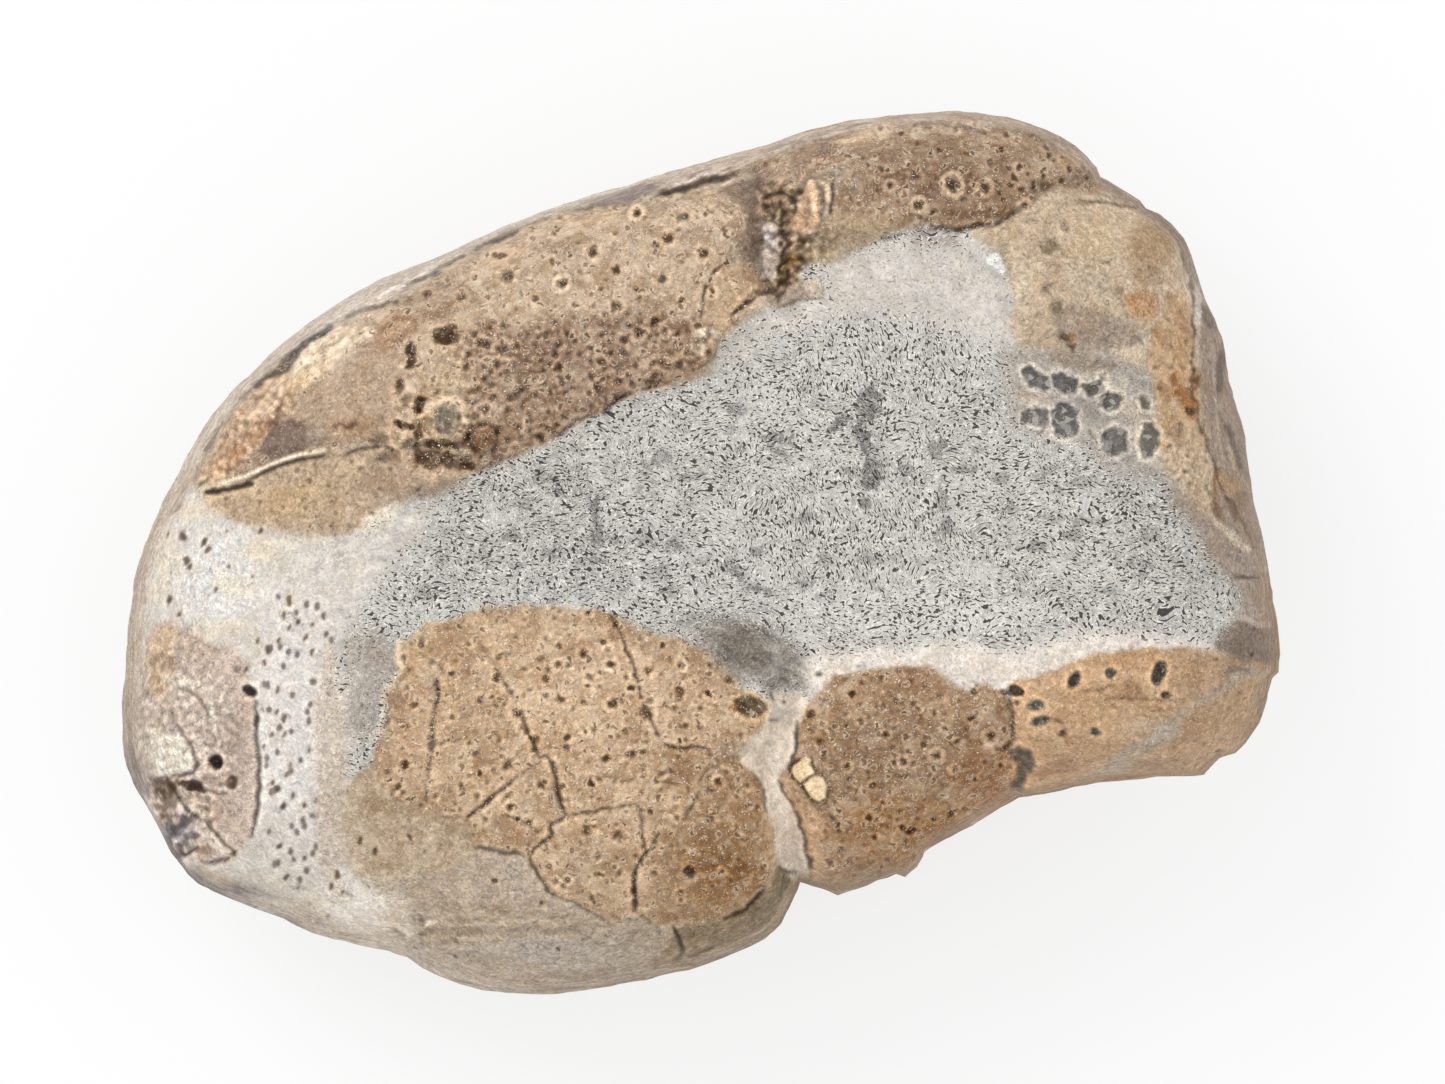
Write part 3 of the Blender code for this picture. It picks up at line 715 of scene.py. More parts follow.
# crest of the side: a pale line, then the steep grey side with dark streaks
side_right = inside_by([(1140, 198), (1152, 206), (1168, 222), (1181, 243), (1189, 268), (1196, 300), (1200, 340), (1201, 400),
                        (1207, 440), (1216, 470), (1216, 515), (1246, 546), (1268, 566), (1300, 560), (1280, 400),
                        (1240, 280), (1200, 210), (1150, 180)])
m = ramp(side_right, -2.5, 2)
flow_side = layers((GX - 0.45 * GY) / 5, (GY + 0.2 * GX) / 34, 66, 3)
mottle(m, (140, 121, 104), (184, 165, 149), flow_side, 1.1)
lay(m * ramp(inside_by([(1200, 330), (1212, 335), (1216, 400), (1222, 470), (1210, 450), (1200, 400)]), -6, 4), (166, 148, 132), 0.7)
for line, width, colour, amount in (
    ([(1152, 208), (1165, 220), (1177, 238), (1183, 256)], 5, (216, 200, 180), 0.7),
    ([(1192, 276), (1195, 295), (1197, 320)], 7, (222, 208, 194), 0.95),
    ([(1198, 320), (1199, 345), (1199, 375)], 3, (196, 180, 166), 0.6),
    ([(1160, 212), (1174, 226), (1188, 250), (1196, 275), (1208, 305), (1216, 325)], 6, (110, 98, 86), 0.75),
    ([(1178, 230), (1184, 250), (1190, 268)], 5, (92, 82, 72), 0.7),
    ([(1203, 308), (1208, 322), (1212, 326)], 4, (104, 90, 78), 0.6),
    ([(1222, 352), (1222, 370), (1220, 388)], 6, (104, 90, 76), 0.8),
    ([(1227, 425), (1232, 438), (1240, 455), (1243, 468)], 5, (104, 88, 74), 0.75),
    ([(1213, 345), (1216, 380), (1218, 420), (1224, 460)], 2.5, (206, 190, 176), 0.5),
    ([(1228, 445), (1236, 468)], 3, (208, 192, 176), 0.5),
    ([(1215, 470), (1214, 500), (1222, 520)], 4, (128, 96, 66), 0.7),
    ([(1228, 500), (1238, 518), (1250, 538), (1254, 548)], 6, (122, 100, 78), 0.8),
    ([(1240, 525), (1250, 543)], 3, (190, 170, 146), 0.7),
    ([(1216, 522), (1226, 532), (1240, 544), (1250, 550)], 6, (224, 206, 180), 0.85),
    ([(1212, 508), (1219, 520)], 3, (120, 92, 66), 0.7),
):
    d, share = along(line, 20, 0.7)
    lay(1 - ramp(d, width * 0.3, width * 0.75 + 0.6), colour, amount)
lay(m * ramp(spot(1228, 482, 22, 12, -30, 1.5), 0, 0.5), (182, 150, 112), 0.8)
lay(m * ramp(spot(1240, 500, 12, 12, 0, 1.5), 0, 0.5), (150, 124, 98), 0.7)
peak(gloss, m * 0.5)
fade(worm, m)

# crystal cells with cream webs between them
def cell(points, colour=CELL_GREY, web=(214, 203, 188), deep=0.35, web_amount=0.7):
    mx, my = sum(p[0] for p in points) / len(points), sum(p[1] for p in points) / len(points)
    d = inside_by([(mx + (p[0] - mx) * 1.22, my + (p[1] - my) * 1.18) for p in points], 24, 1.3)
    x, y = here(d)
    lay(ramp(d, -4.2, -1.4) * (1 - ramp(d, -0.6, 0.8)) * ramp(layers(x / 9, y / 9, 64, 2), -0.35, 0.35), web, web_amount * 0.85)
    mottle(ramp(d, -1.5, 1.5), [c * 0.92 for c in colour], [min(255, c * 1.45) for c in colour], MOTTLE_S, 1.4)
    peak(crystal, ramp(d, -1, 2))
    add(rise, deep * ramp(d, -1.5, 3), -1)
    add(rise, 0.12 * ramp(d, -5.5, -2) * (1 - ramp(d, -1.5, 1)))


lay(ramp(spot(1030, 398, 26, 6), 0, 0.5), (206, 186, 168), 0.7)
lay(ramp(inside_by([(1075, 372), (1100, 372), (1128, 378), (1138, 400), (1140, 425), (1128, 420), (1118, 398), (1084, 396)]),
         -4, 4), (212, 200, 182), 0.6)
cell([(1023, 370), (1030, 368), (1040, 374), (1050, 380), (1049, 389), (1040, 388), (1026, 382)])
cell([(1056, 377), (1066, 374), (1077, 379), (1076, 391), (1066, 393), (1057, 389)])
cell([(1084, 386), (1098, 383), (1101, 390), (1092, 395), (1086, 393)], (126, 116, 102))
cell([(1100, 396), (1112, 394), (1120, 396), (1116, 408), (1108, 411), (1101, 405)], (118, 112, 106))
cell([(1023, 412), (1034, 409), (1047, 412), (1045, 424), (1026, 424)], (126, 120, 115))
cell([(1053, 412), (1064, 407), (1074, 414), (1075, 432), (1064, 436), (1054, 430)], (104, 98, 94))
cell([(1104, 430), (1114, 427), (1125, 432), (1126, 450), (1112, 454), (1103, 447)], (118, 114, 108))
cell([(1142, 398), (1150, 400), (1148, 408), (1141, 409)], (140, 126, 104))
cell([(1144, 425), (1152, 426), (1156, 440), (1151, 456), (1144, 457), (1141, 442)], (128, 116, 98))
cell([(1098, 376), (1104, 374), (1106, 382), (1100, 384)], (150, 140, 126), deep=0.15)
lay(ramp(inside_by([(1136, 420), (1142, 418), (1141, 445), (1146, 460), (1154, 462), (1150, 467), (1138, 456)], 30), -2.5, 2),
    (220, 206, 184), 0.8)
lay(ramp(inside_by([(1040, 434), (1052, 434), (1075, 438), (1086, 436), (1074, 442), (1052, 440)], 30), -2, 2), (222, 208, 186), 0.8)
groove([(1034, 434), (1042, 430), (1046, 424)], 3, 0.1, (100, 84, 68), 0.7)
groove([(1088, 428), (1092, 436), (1094, 442)], 3, 0.1, (134, 104, 78), 0.6)

# ------------------------------------------------------------- claw and limb
# ochre matrix under the claw finger
ochre = inside_by([(200, 492), (222, 488), (258, 478), (300, 464), (345, 452), (380, 446), (410, 440), (440, 470), (470, 478),
                   (448, 495), (410, 502), (384, 512), (366, 522), (352, 534), (318, 534), (285, 530), (250, 524), (225, 516),
                   (205, 505)])
m = ramp(ochre, -4, 3)
mottle(m, (168, 144, 118), (208, 186, 158), MOTTLE_M + 0.5 * MOTTLE_S, 1.15)
lay(m * ramp(GX, 330, 420) * ramp(GY, 440, 470), (170, 150, 131), 0.7)
lay(m * ramp(MOTTLE_S, 0.4, 0.8), (140, 116, 90), 0.5)
lay(m * ramp(spot(290, 500, 55, 22), 0, 0.6), (200, 172, 134), 0.5)
fade(worm, m)
fade(pore, m)
scattered(m, 17, 77, 1.5, 3.4, 0.15, (116, 94, 70), 0.8, None, 0, 0.5)
chip = inside_by([(364, 517), (382, 507), (399, 501), (403, 508), (394, 522), (378, 528), (364, 534), (346, 536), (362, 526)])
mottle(ramp(chip, -1.5, 2), (220, 206, 184), (236, 226, 210), MOTTLE_S, 0.8)
lay(ramp(spot(300, 543, 50, 5, 0, 0.8), 0, 0.5), (224, 214, 194), 0.7)

# the claw: palm and finger
claw = inside_by([(198, 482), (203, 462), (215, 440), (235, 407), (262, 380), (300, 348), (330, 326), (378, 308), (420, 286),
                  (475, 252), (525, 226), (560, 212), (600, 207), (650, 200), (700, 188), (722, 190), (742, 206), (748, 222),
                  (742, 240), (738, 256), (760, 270), (770, 285), (758, 300), (745, 316), (728, 332), (722, 340), (716, 352),
                  (708, 364), (690, 376), (660, 388), (640, 392), (612, 402), (603, 412), (575, 428), (552, 440), (528, 448),
                  (500, 462), (476, 474), (450, 478), (425, 478), (410, 466), (398, 446), (370, 443), (325, 453), (275, 463),
                  (245, 475), (222, 483)])
claw_mask = ramp(claw, -2.5, 2)
fade(worm, claw_mask)
fade(pore, claw_mask)
peak(shell, claw_mask)
mottle(claw_mask, (166, 142, 119), (214, 192, 168), MOTTLE_X + 0.4 * MOTTLE_S, 1.0)
# the lower, rougher half of the palm, darker partly in the shell's own colour and partly as painted shade on the half
# turned from the light
lower_half = inside_by([(455, 345), (480, 322), (520, 320), (560, 326), (610, 312), (650, 312), (690, 318), (705, 326), (722, 340),
                        (716, 352), (705, 366), (660, 390), (612, 404), (552, 442), (500, 463), (460, 470), (455, 430),
                        (470, 400), (458, 370)])
m = ramp(lower_half, -9, 8) * claw_mask
mottle(m, (124, 99, 78), (180, 155, 132), MOTTLE_X + 0.6 * MOTTLE_S, 1.15, 0.95)
peak(grain, m)
scattered(m, 13.5, 81, 2.6, 5.2, 0.24, (98, 74, 54), 0.8, (196, 172, 146), 0.55, 0.85)
scattered(m, 8.5, 82, 1.6, 2.9, 0.12, (106, 82, 62), 0.7, (190, 166, 142), 0.35, 0.7)
add(rise, 0.10 * m * MOTTLE_S)
# greyer tan and cream over the upper half, paler partly in its own colour and partly as painted light on the half
# turned to the light
upper = claw_mask * ramp(GX, 430, 480)
upper.a[lower_half.ys.start - upper.ys.start : lower_half.ys.stop - upper.ys.start,
        lower_half.xs.start - upper.xs.start : lower_half.xs.stop - upper.xs.start] *= 1 - ramp(lower_half, -9, 8).a
mottle(upper, (180, 158, 136), (212, 192, 168), MOTTLE_X, 0.9, 0.7)
lay(upper * ramp(spot(700, 235, 46, 40), 0, 0.6), (196, 176, 155), 0.7)
lay(upper * ramp(spot(560, 250, 26, 18), 0, 0.6), (182, 160, 141), 0.6)
lay(upper * ramp(spot(505, 255, 30, 10, 25), 0, 0.6), (206, 172, 138), 0.6)
lay(upper * ramp(spot(600, 218, 60, 8, 8), 0, 0.6), (212, 182, 148), 0.5)
lay(upper * ramp(spot(520, 310, 40, 14), 0, 0.6), (206, 186, 162), 0.6)
scattered(upper, 20, 83, 1.6, 3.6, 0.16, (132, 108, 82), 0.75, (214, 192, 164), 0.4, 0.75)
for px_, py_, r_, kind in (
    (508, 276, 7.5, 0), (593, 252, 7, 0), (616, 268, 4.5, 1), (562, 284, 7.5, 2), (637, 213, 7.5, 2), (683, 217, 7.5, 3),
    (668, 238, 7, 0), (703, 255, 6.5, 0), (662, 278, 6.5, 3), (706, 214, 2.8, 1), (636, 290, 2.8, 1), (680, 299, 2.8, 1),
    (535, 297, 3.6, 1), (427, 293, 5, 1), (617, 307, 6.5, 0), (552, 262, 4, 0), (553, 233, 3.5, 0), (725, 232, 2.2, 1),
    (615, 233, 2.5, 0), (713, 292, 4.5, 2), (600, 290, 3, 0), (640, 330, 5.5, 1), (655, 322, 6, 0), (700, 275, 2.5, 1),
    (488, 298, 2.6, 0), (575, 305, 3.5, 0), (655, 246, 4.2, 0),
):
    if kind == 0:
        pit(px_, py_, r_, 0.26, (128, 102, 72), 0.7, 0.45)
    elif kind == 1:
        pit(px_, py_, r_, 0.3, (92, 70, 50), 0.85, 0.3)
    elif kind == 2:
        crater(px_, py_, r_ * 1.15, (214, 192, 162), (142, 116, 86), 0.2)
    else:
        pit(px_, py_, r_, 0.24, (120, 110, 102), 0.75, 0.35)
crater(463, 298, 9, (216, 196, 168), (176, 150, 124), 0.15)
crater(505, 350, 12, (186, 160, 134), (150, 124, 100), 0.18)
crater(541, 437, 9, (186, 164, 140), (160, 136, 114), 0.15)
crater(560, 368, 8, (190, 166, 140), (150, 122, 96), 0.15)
crater(600, 362, 8, (188, 164, 138), (140, 114, 90), 0.15)
crater(639, 336, 7, (184, 158, 130), (136, 108, 82), 0.15)
# sub-piece at the palm's lower right corner, with the curved crack before it
sub = inside_by([(706, 322), (703, 300), (708, 283), (722, 268), (745, 262), (762, 270), (768, 288), (752, 302), (735, 318),
                 (722, 336), (708, 340)])
mottle(ramp(sub, -2, 3), (160, 132, 104), (206, 182, 154), MOTTLE_S + 0.5 * MOTTLE_M, 1.1, 0.9)
groove([(724, 264), (712, 275), (705, 290), (702, 306), (702, 320)], 3.0, 0.25, (110, 86, 62), 0.85)
low_chip = inside_by([(692, 330), (706, 322), (724, 330), (722, 342), (712, 352), (704, 362), (692, 358), (688, 342)])
mottle(ramp(low_chip, -2, 3), (140, 112, 88), (206, 188, 166), MOTTLE_S, 1.2, 0.9)
lay(ramp(inside_by([(694, 338), (700, 330), (722, 332), (718, 336), (704, 338), (698, 346)], 30), -2, 2), (216, 204, 188), 0.7)
# purple-brown smooth patch past the palm's upper right corner
purple = inside_by([(716, 190), (735, 182), (760, 178), (785, 182), (798, 196), (790, 206), (776, 212), (770, 228), (762, 250),
                    (752, 268), (742, 262), (736, 250), (744, 236), (748, 222), (742, 206), (728, 198)])
mottle(ramp(purple, -3, 3), (120, 100, 84), (158, 138, 122), MOTTLE_M + 0.5 * MOTTLE_S, 1.1, 0.95)
fade(worm, ramp(purple, -4, 2))

# finger: cream, orange and taupe fields
m_finger = claw_mask * (1 - ramp(GX, 400, 430))
lay(m_finger * ramp(inside_by([(198, 482), (203, 462), (215, 440), (235, 407), (262, 380), (286, 362), (300, 388), (285, 415),
                               (262, 438), (240, 462), (222, 480)]), -5, 5), (188, 157, 127), 0.9)
lay(m_finger * ramp(inside_by([(205, 470), (222, 452), (250, 432), (272, 412), (278, 424), (258, 444), (236, 466), (215, 478)]),
                    -5, 5), (196, 154, 114), 0.75)
lay(m_finger * ramp(inside_by([(245, 400), (270, 378), (292, 388), (284, 410), (262, 420), (248, 414)]), -5, 5), (206, 182, 158), 0.6)
gran = m_finger * ramp(inside_by([(198, 482), (215, 440), (240, 404), (275, 372), (300, 390), (292, 425), (262, 446), (236, 476)]), -4, 4)
x, y = here(gran)
near, second, own = cells((x + BEND_X * 0.5) / 6.5, (y + BEND_Y * 0.5) / 6.5, 91)
lay(gran * (1 - ramp(near, 0.25, 0.5)) * (own > 0.35), (222, 196, 166), 0.6)
lay(gran * ramp(near, 0.6, 0.85), (140, 108, 82), 0.55)
add(rise, gran * (0.16 * (1 - ramp(near, 0.2, 0.75)) - 0.06))
peak(grain, gran * 0.7)
add(shell, 0.7 * gran, -1)
cream_streak = inside_by([(286, 384), (300, 352), (330, 327), (370, 321), (378, 330), (360, 342), (346, 354), (325, 372), (306, 390)])
mottle(ramp(cream_streak, -4, 4), (210, 184, 154), (234, 212, 184), MOTTLE_S + 0.4 * MOTTLE_M, 1.0, 0.95)
lay(ramp(spot(312, 374, 24, 9, 35), 0, 0.5), (228, 198, 160), 0.6)
m = ramp(cream_streak, -2, 4)
x, y = here(m)
near, second, own = cells((x + BEND_X * 0.5) / 7.5, (y + BEND_Y * 0.5) / 7.5, 92)
lay(m * ramp(near, 0.62, 0.85), (178, 150, 120), 0.4)
add(rise, m * 0.10 * (1 - ramp(near, 0.2, 0.8)))
taupe_patch = inside_by([(304, 396), (330, 380), (352, 358), (375, 345), (396, 352), (406, 372), (398, 400), (402, 424), (385, 432),
                         (350, 436), (318, 430), (300, 418)])
m = ramp(taupe_patch, -5, 4)
mottle(m, (172, 147, 122), (192, 168, 144), MOTTLE_M, 0.9, 0.95)
lay(m * ramp(spot(360, 425, 44, 14), 0, 0.6), (158, 130, 104), 0.6)
fade(shell, 0.85 * m)
peak(gloss, 0.5 * m)
grey_patch = inside_by([(258, 452), (268, 430), (290, 416), (312, 424), (330, 442), (306, 452), (276, 460)])
mottle(ramp(grey_patch, -4, 4), (128, 106, 90), (156, 136, 120), MOTTLE_M, 1.0, 0.9)
fade(shell, 0.8 * ramp(grey_patch, -4, 4))
lay(ramp(spot(315, 436, 16, 12), 0, 0.5), (162, 146, 132), 0.7)
lay(ramp(inside_by([(268, 422), (274, 410), (282, 398), (278, 425), (272, 436)], 30), -1.5, 2), (120, 92, 70), 0.7)
orange_dark = inside_by([(372, 330), (385, 318), (402, 312), (420, 320), (412, 335), (396, 350), (384, 352), (374, 346)])
mottle(ramp(orange_dark, -3, 3), (136, 98, 66), (196, 166, 136), MOTTLE_S + 0.3 * MOTTLE_M, 1.2, 0.9)
brown_top = inside_by([(400, 300), (425, 288), (452, 280), (475, 290), (480, 305), (456, 312), (448, 330), (425, 322), (405, 316)])
mottle(ramp(brown_top, -4, 4), (132, 108, 86), (178, 154, 130), MOTTLE_M + 0.5 * MOTTLE_S, 1.1, 0.7)
pale_mid = inside_by([(398, 352), (425, 348), (452, 352), (470, 362), (470, 388), (445, 392), (412, 386), (400, 372)])
mottle(ramp(pale_mid, -4, 4), (164, 140, 116), (208, 188, 164), MOTTLE_S + 0.5 * MOTTLE_M, 1.2, 0.9)
for bx, by, brx, bry, colour, amount in (
    (444, 337, 15, 8, (100, 78, 50), 0.9), (452, 332, 12, 10, (112, 88, 62), 0.7), (441, 337, 5, 3, (178, 128, 62), 0.9),
    (414, 350, 6, 8, (96, 84, 70), 0.8), (412, 362, 6, 6, (104, 84, 58), 0.7), (420, 405, 7, 11, (112, 76, 40), 0.95),
    (421, 404, 4, 6, (64, 46, 28), 0.9), (404, 424, 10, 3, (92, 70, 46), 0.85), (418, 432, 5, 12, (128, 98, 62), 0.7),
    (440, 444, 18, 7, (92, 78, 54), 0.8), (412, 446, 12, 8, (128, 122, 108), 0.7), (430, 460, 14, 10, (116, 90, 58), 0.75),
    (455, 462, 18, 9, (110, 84, 52), 0.8), (470, 466, 10, 6, (118, 88, 54), 0.7), (418, 455, 5, 14, (96, 72, 44), 0.75),
    (380, 440, 12, 8, (146, 124, 100), 0.6), (402, 384, 6, 10, (110, 86, 58), 0.7), (428, 425, 5, 8, (128, 92, 54), 0.7),
    (348, 424, 12, 4, (128, 98, 70), 0.6), (334, 428, 4, 3, (136, 108, 84), 0.6), (408, 402, 7, 8, (152, 124, 92), 0.6),
    (386, 458, 14, 8, (132, 108, 84), 0.5), (500, 256, 7, 3, (112, 84, 54), 0.7), (612, 250, 5, 3, (160, 136, 112), 0.4),
):
    s = spot(bx, by, brx * 1.2, bry * 1.2, 0, 1.5)
    lay(ramp(s, 0.0, 0.4), colour, amount)
    add(rise, 0.35 * ramp(s, 0.05, 0.7) * amount, -1)
    if sum(colour) < 290:
        carve((s - 0.34) * min(brx, bry) * 1.3, 0.7 * amount, colour)
# round socket and knob beside the cavity
s = spot(447, 420, 22, 24, 0, 0.6)
d = 1 - s
lay(ramp(d, 0.62, 0.78) * (1 - ramp(d, 0.92, 1.08)) * ramp(MOTTLE_S, -0.9, 0.3), (202, 182, 156), 0.7)
lay(1 - ramp(d, 0.5, 0.72), (160, 148, 130), 0.75)
lay((1 - ramp(d, 0.2, 0.45)) * ramp(MOTTLE_S, -0.5, 0.5), (120, 114, 108), 0.6)
add(rise, 0.30 * (ramp(d, 0.55, 0.8) * (1 - ramp(d, 0.95, 1.2))) - 0.2 * (1 - ramp(d, 0.2, 0.6)))
s = spot(483, 438, 13, 14, 0, 0.5)
lay(ramp(s, 0.0, 0.3), (143, 112, 84), 0.9)
add(rise, 0.30 * ramp(s, -0.1, 0.6))
lay(ramp(1 - s, 0.95, 1.05) * (1 - ramp(1 - s, 1.1, 1.3)), (110, 88, 62), 0.6)
lay(ramp(inside_by([(424, 372), (450, 374), (472, 384), (474, 400), (462, 396), (440, 388), (428, 398), (420, 386)], 40), -3, 3),
    (212, 190, 160), 0.6)
peak(gloss, 0.5 * ramp(spot(483, 438, 13, 14, 0, 0.5), 0, 0.3))

# bright thin shell edge under the finger, and the gap below it, painted dark as the shadow under the overhanging edge
d, share = along([(221, 483), (236, 479), (250, 474), (268, 466), (285, 459), (305, 454), (325, 450)], 20, 0.25)
lay(1 - ramp(d, 0.5, 1.7), (232, 220, 204), 0.85)
add(rise, 0.20 * (1 - ramp(d, 0.8, 3.2)))
d, share = along([(345, 449), (362, 446), (378, 440), (390, 442)], 20, 0.3)
lay(1 - ramp(d, 0.8, 2.4), (196, 178, 154), 0.5)
groove([(204, 492), (214, 491), (228, 489), (243, 485), (252, 483)], 5.5, 0.7, (58, 48, 38), 0.85, 0.3, True, 0.4)
groove([(245, 482), (262, 473), (280, 465), (300, 460), (325, 456)], 2.6, 0.35, (96, 78, 62), 0.7, 0.4, True, 0.3)
groove([(345, 453), (365, 448), (385, 447), (400, 452)], 2.4, 0.3, (100, 82, 64), 0.6, 0.5, True, 0.5)
groove([(200, 487), (208, 479), (214, 474)], 3, 0.2, (120, 98, 76), 0.6)
# claw palm's lower edge against the matrix, its dark line painted shade where the palm steps down to the matrix
groove([(604, 414), (612, 404), (622, 397), (632, 393)], 5.0, 0.6, (58, 46, 38), 0.9, 0.35, True, 0.4)
groove([(640, 391), (648, 388), (656, 386), (662, 380)], 3.4, 0.3, (92, 72, 54), 0.7)
groove([(475, 474), (492, 466), (505, 458)], 3, 0.2, (150, 120, 94), 0.5)
groove([(556, 438), (575, 425), (590, 415)], 3.2, 0.3, (110, 86, 66), 0.7)
groove([(700, 368), (712, 358), (718, 348)], 3, 0.25, (120, 98, 76), 0.6)
lay(ramp(inside_by([(440, 486), (480, 476), (505, 462), (530, 452), (560, 446), (585, 432), (600, 428), (590, 440), (560, 454),
                    (520, 466), (480, 486), (445, 500)]), -6, 5), (184, 172, 158), 0.6)

# groove and plates between palm and limb
joint = inside_by([(756, 186), (775, 182), (800, 186), (806, 210), (812, 240), (808, 262), (800, 282), (788, 296), (772, 300),
                   (762, 285), (764, 250), (768, 222), (762, 205)])
mottle(ramp(joint, -4, 3), (104, 84, 62), (158, 136, 112), MOTTLE_S + 0.5 * MOTTLE_M, 1.3, 0.95)
fade(worm, ramp(joint, -5, 2))
white_sliver = inside_by([(760, 224), (768, 222), (776, 228), (778, 245), (778, 268), (774, 280), (764, 281), (760, 262), (761, 240)])
mottle(ramp(white_sliver, -2.5, 2), (168, 152, 136), (220, 209, 197), MOTTLE_S, 1.5, 0.85)
add(rise, 0.25 * ramp(white_sliver, -2, 4))
folds = ramp(joint, -4, 3)
add(rise, Part(folds.ys, folds.xs, folds.a * MOTTLE_S[folds.ys, folds.xs] * 0.22))
lay(ramp(spot(767, 240, 6, 12), 0, 0.5), (176, 170, 168), 0.6)
for line, width, deep, colour in (
    ([(765, 200), (772, 196), (782, 194), (793, 198), (795, 206)], 7, 0.4, (74, 56, 42)),
    ([(781, 200), (782, 215), (783, 232), (786, 245), (782, 258), (780, 275)], 8, 0.7, (76, 58, 40)),
    ([(775, 255), (782, 262), (790, 262), (800, 262), (803, 255)], 5, 0.3, (96, 70, 36)),
    ([(785, 245), (800, 244), (812, 240)], 4, 0.3, (104, 80, 46)),
    ([(748, 298), (760, 294), (775, 290), (784, 283), (790, 272)], 6, 0.5, (104, 82, 56)),
    ([(735, 316), (745, 306), (755, 300)], 5, 0.4, (110, 90, 66)),
    ([(752, 300), (745, 310), (730, 316), (732, 325)], 5, 0.3, (96, 90, 74)),
    ([(833, 175), (832, 190), (831, 205), (829, 214)], 4.5, 0.45, (92, 76, 56)),
    ([(757, 182), (763, 195), (766, 210)], 3, 0.2, (104, 84, 66)),
):
    groove(line, width * 0.62, deep * 0.8, colour, 0.62, 0.9, True, 1.5)
lay(ramp(spot(793, 262, 10, 6, 0, 1.4), 0, 0.4), (128, 92, 48), 0.7)
lay(ramp(spot(785, 266, 6, 14, 0, 1.4), 0, 0.4), (88, 64, 34), 0.6)
plate_small = inside_by([(795, 215), (798, 200), (803, 188), (810, 180), (818, 182), (822, 200), (822, 218), (816, 232), (804, 238),
                         (794, 232), (790, 222)])
mottle(ramp(plate_small, -2, 3), (158, 126, 100), (202, 174, 148), MOTTLE_M + 0.5 * MOTTLE_S, 1.0, 0.95)
add(rise, 0.35 * ramp(plate_small, -2, 5))
for line in ([(800, 178), (806, 168), (816, 160), (828, 160)], [(811, 182), (814, 196), (815, 210)], [(820, 182), (826, 186), (828, 200)]):
    d, share = along(line, 20, 0.6)
    lay(1 - ramp(d, 1.5, 3.5), (212, 188, 160), 0.8)
    add(rise, 0.18 * (1 - ramp(d, 1.0, 4.0)))
tan_ridge = inside_by([(822, 178), (832, 176), (833, 205), (828, 222), (850, 226), (880, 222), (905, 224), (880, 238), (850, 244),
                       (822, 240), (808, 244), (802, 256), (808, 266), (822, 264), (828, 256), (846, 246), (835, 262), (822, 272),
                       (800, 276), (798, 262), (804, 244), (818, 232), (824, 212)])
olive_zone = inside_by([(818, 226), (835, 214), (860, 210), (890, 216), (905, 224), (885, 238), (858, 250), (842, 262), (826, 266),
                        (808, 264), (802, 250), (808, 238)])
mottle(ramp(olive_zone, -4, 3), (156, 134, 106), (190, 170, 144), MOTTLE_M + 0.3 * MOTTLE_S, 1.0, 0.95)
fade(worm, ramp(olive_zone, -4, 2))
fade(pore, ramp(olive_zone, -4, 2))
lay(ramp(spot(840, 255, 14, 7, 30), 0, 0.5), (188, 178, 160), 0.6)
chip_tp = inside_by([(776, 306), (784, 290), (800, 280), (818, 276), (824, 290), (820, 298), (800, 304), (788, 312)])
mottle(ramp(chip_tp, -2, 2), (188, 168, 148), (206, 188, 168), MOTTLE_M, 1.0, 0.95)
groove([(776, 308), (786, 306), (796, 303), (810, 300), (821, 299)], 2.5, 0.15, (130, 104, 76), 0.7)
groove([(822, 299), (823, 285), (822, 274)], 2.2, 0.1, (140, 116, 90), 0.6)
groove([(778, 304), (784, 292), (790, 284)], 3.5, 0.2, (112, 90, 66), 0.7)
fade(worm, ramp(chip_tp, -3, 1))
fade(pore, ramp(chip_tp, -3, 1))

# the limb segment past the joint
limb = inside_by([(748, 165), (775, 150), (800, 146), (840, 132), (880, 124), (930, 118), (980, 116), (1020, 122), (1050, 132),
                  (1078, 148), (1096, 168), (1108, 182), (1094, 194), (1076, 190), (1056, 184), (1040, 192), (1026, 208),
                  (1002, 221), (978, 229), (955, 232), (935, 228), (905, 226), (880, 222), (850, 212), (834, 206), (833, 180),
                  (812, 176), (790, 182), (764, 178)])
m = ramp(limb, -3, 2)
fade(worm, m)
fade(pore, m)
peak(shell, m)
mottle(m, (132, 107, 84), (178, 152, 126), MOTTLE_X + 0.5 * MOTTLE_S, 1.1)
lay(m * (1 - ramp(GX, 840, 880)), (166, 142, 120), 0.6)
lay(m * ramp(spot(1050, 165, 46, 24), 0, 0.6), (172, 148, 122), 0.7)
lay(m * ramp(spot(1010, 140, 40, 12, -10), 0, 0.6), (170, 144, 116), 0.6)
lay(ramp(inside_by([(834, 140), (850, 133), (880, 126), (895, 128), (885, 138), (868, 143), (848, 146)]), -4, 4), (206, 181, 152), 0.85)
lay(ramp(spot(918, 134, 9, 7, 0, 1.3), 0, 0.4), (200, 190, 172), 0.7)
lay(ramp(spot(780, 160, 14, 10, 0, 1.3), 0, 0.5), (196, 172, 146), 0.6)
lay(ramp(spot(757, 158, 9, 7, 0, 1.3), 0, 0.4), (204, 184, 158), 0.7)
lay(ramp(spot(822, 150, 8, 14, 0, 1.3), 0, 0.4), (120, 100, 84), 0.6)
lay(ramp(spot(838, 172, 12, 7, 0, 1.3), 0, 0.4), (128, 124, 112), 0.6)
lay(ramp(spot(848, 190, 16, 10, 0, 1.3), 0, 0.4), (136, 122, 102), 0.6)
lay(ramp(spot(975, 216, 44, 9, 0, 1.0), 0, 0.5), (116, 92, 72), 0.7)
lay(ramp(spot(1040, 186, 18, 10, 0, 1.3), 0, 0.5), (112, 92, 76), 0.8)
lay(ramp(spot(1048, 140, 22, 12, -20, 1.3), 0, 0.5), (122, 104, 92), 0.6)
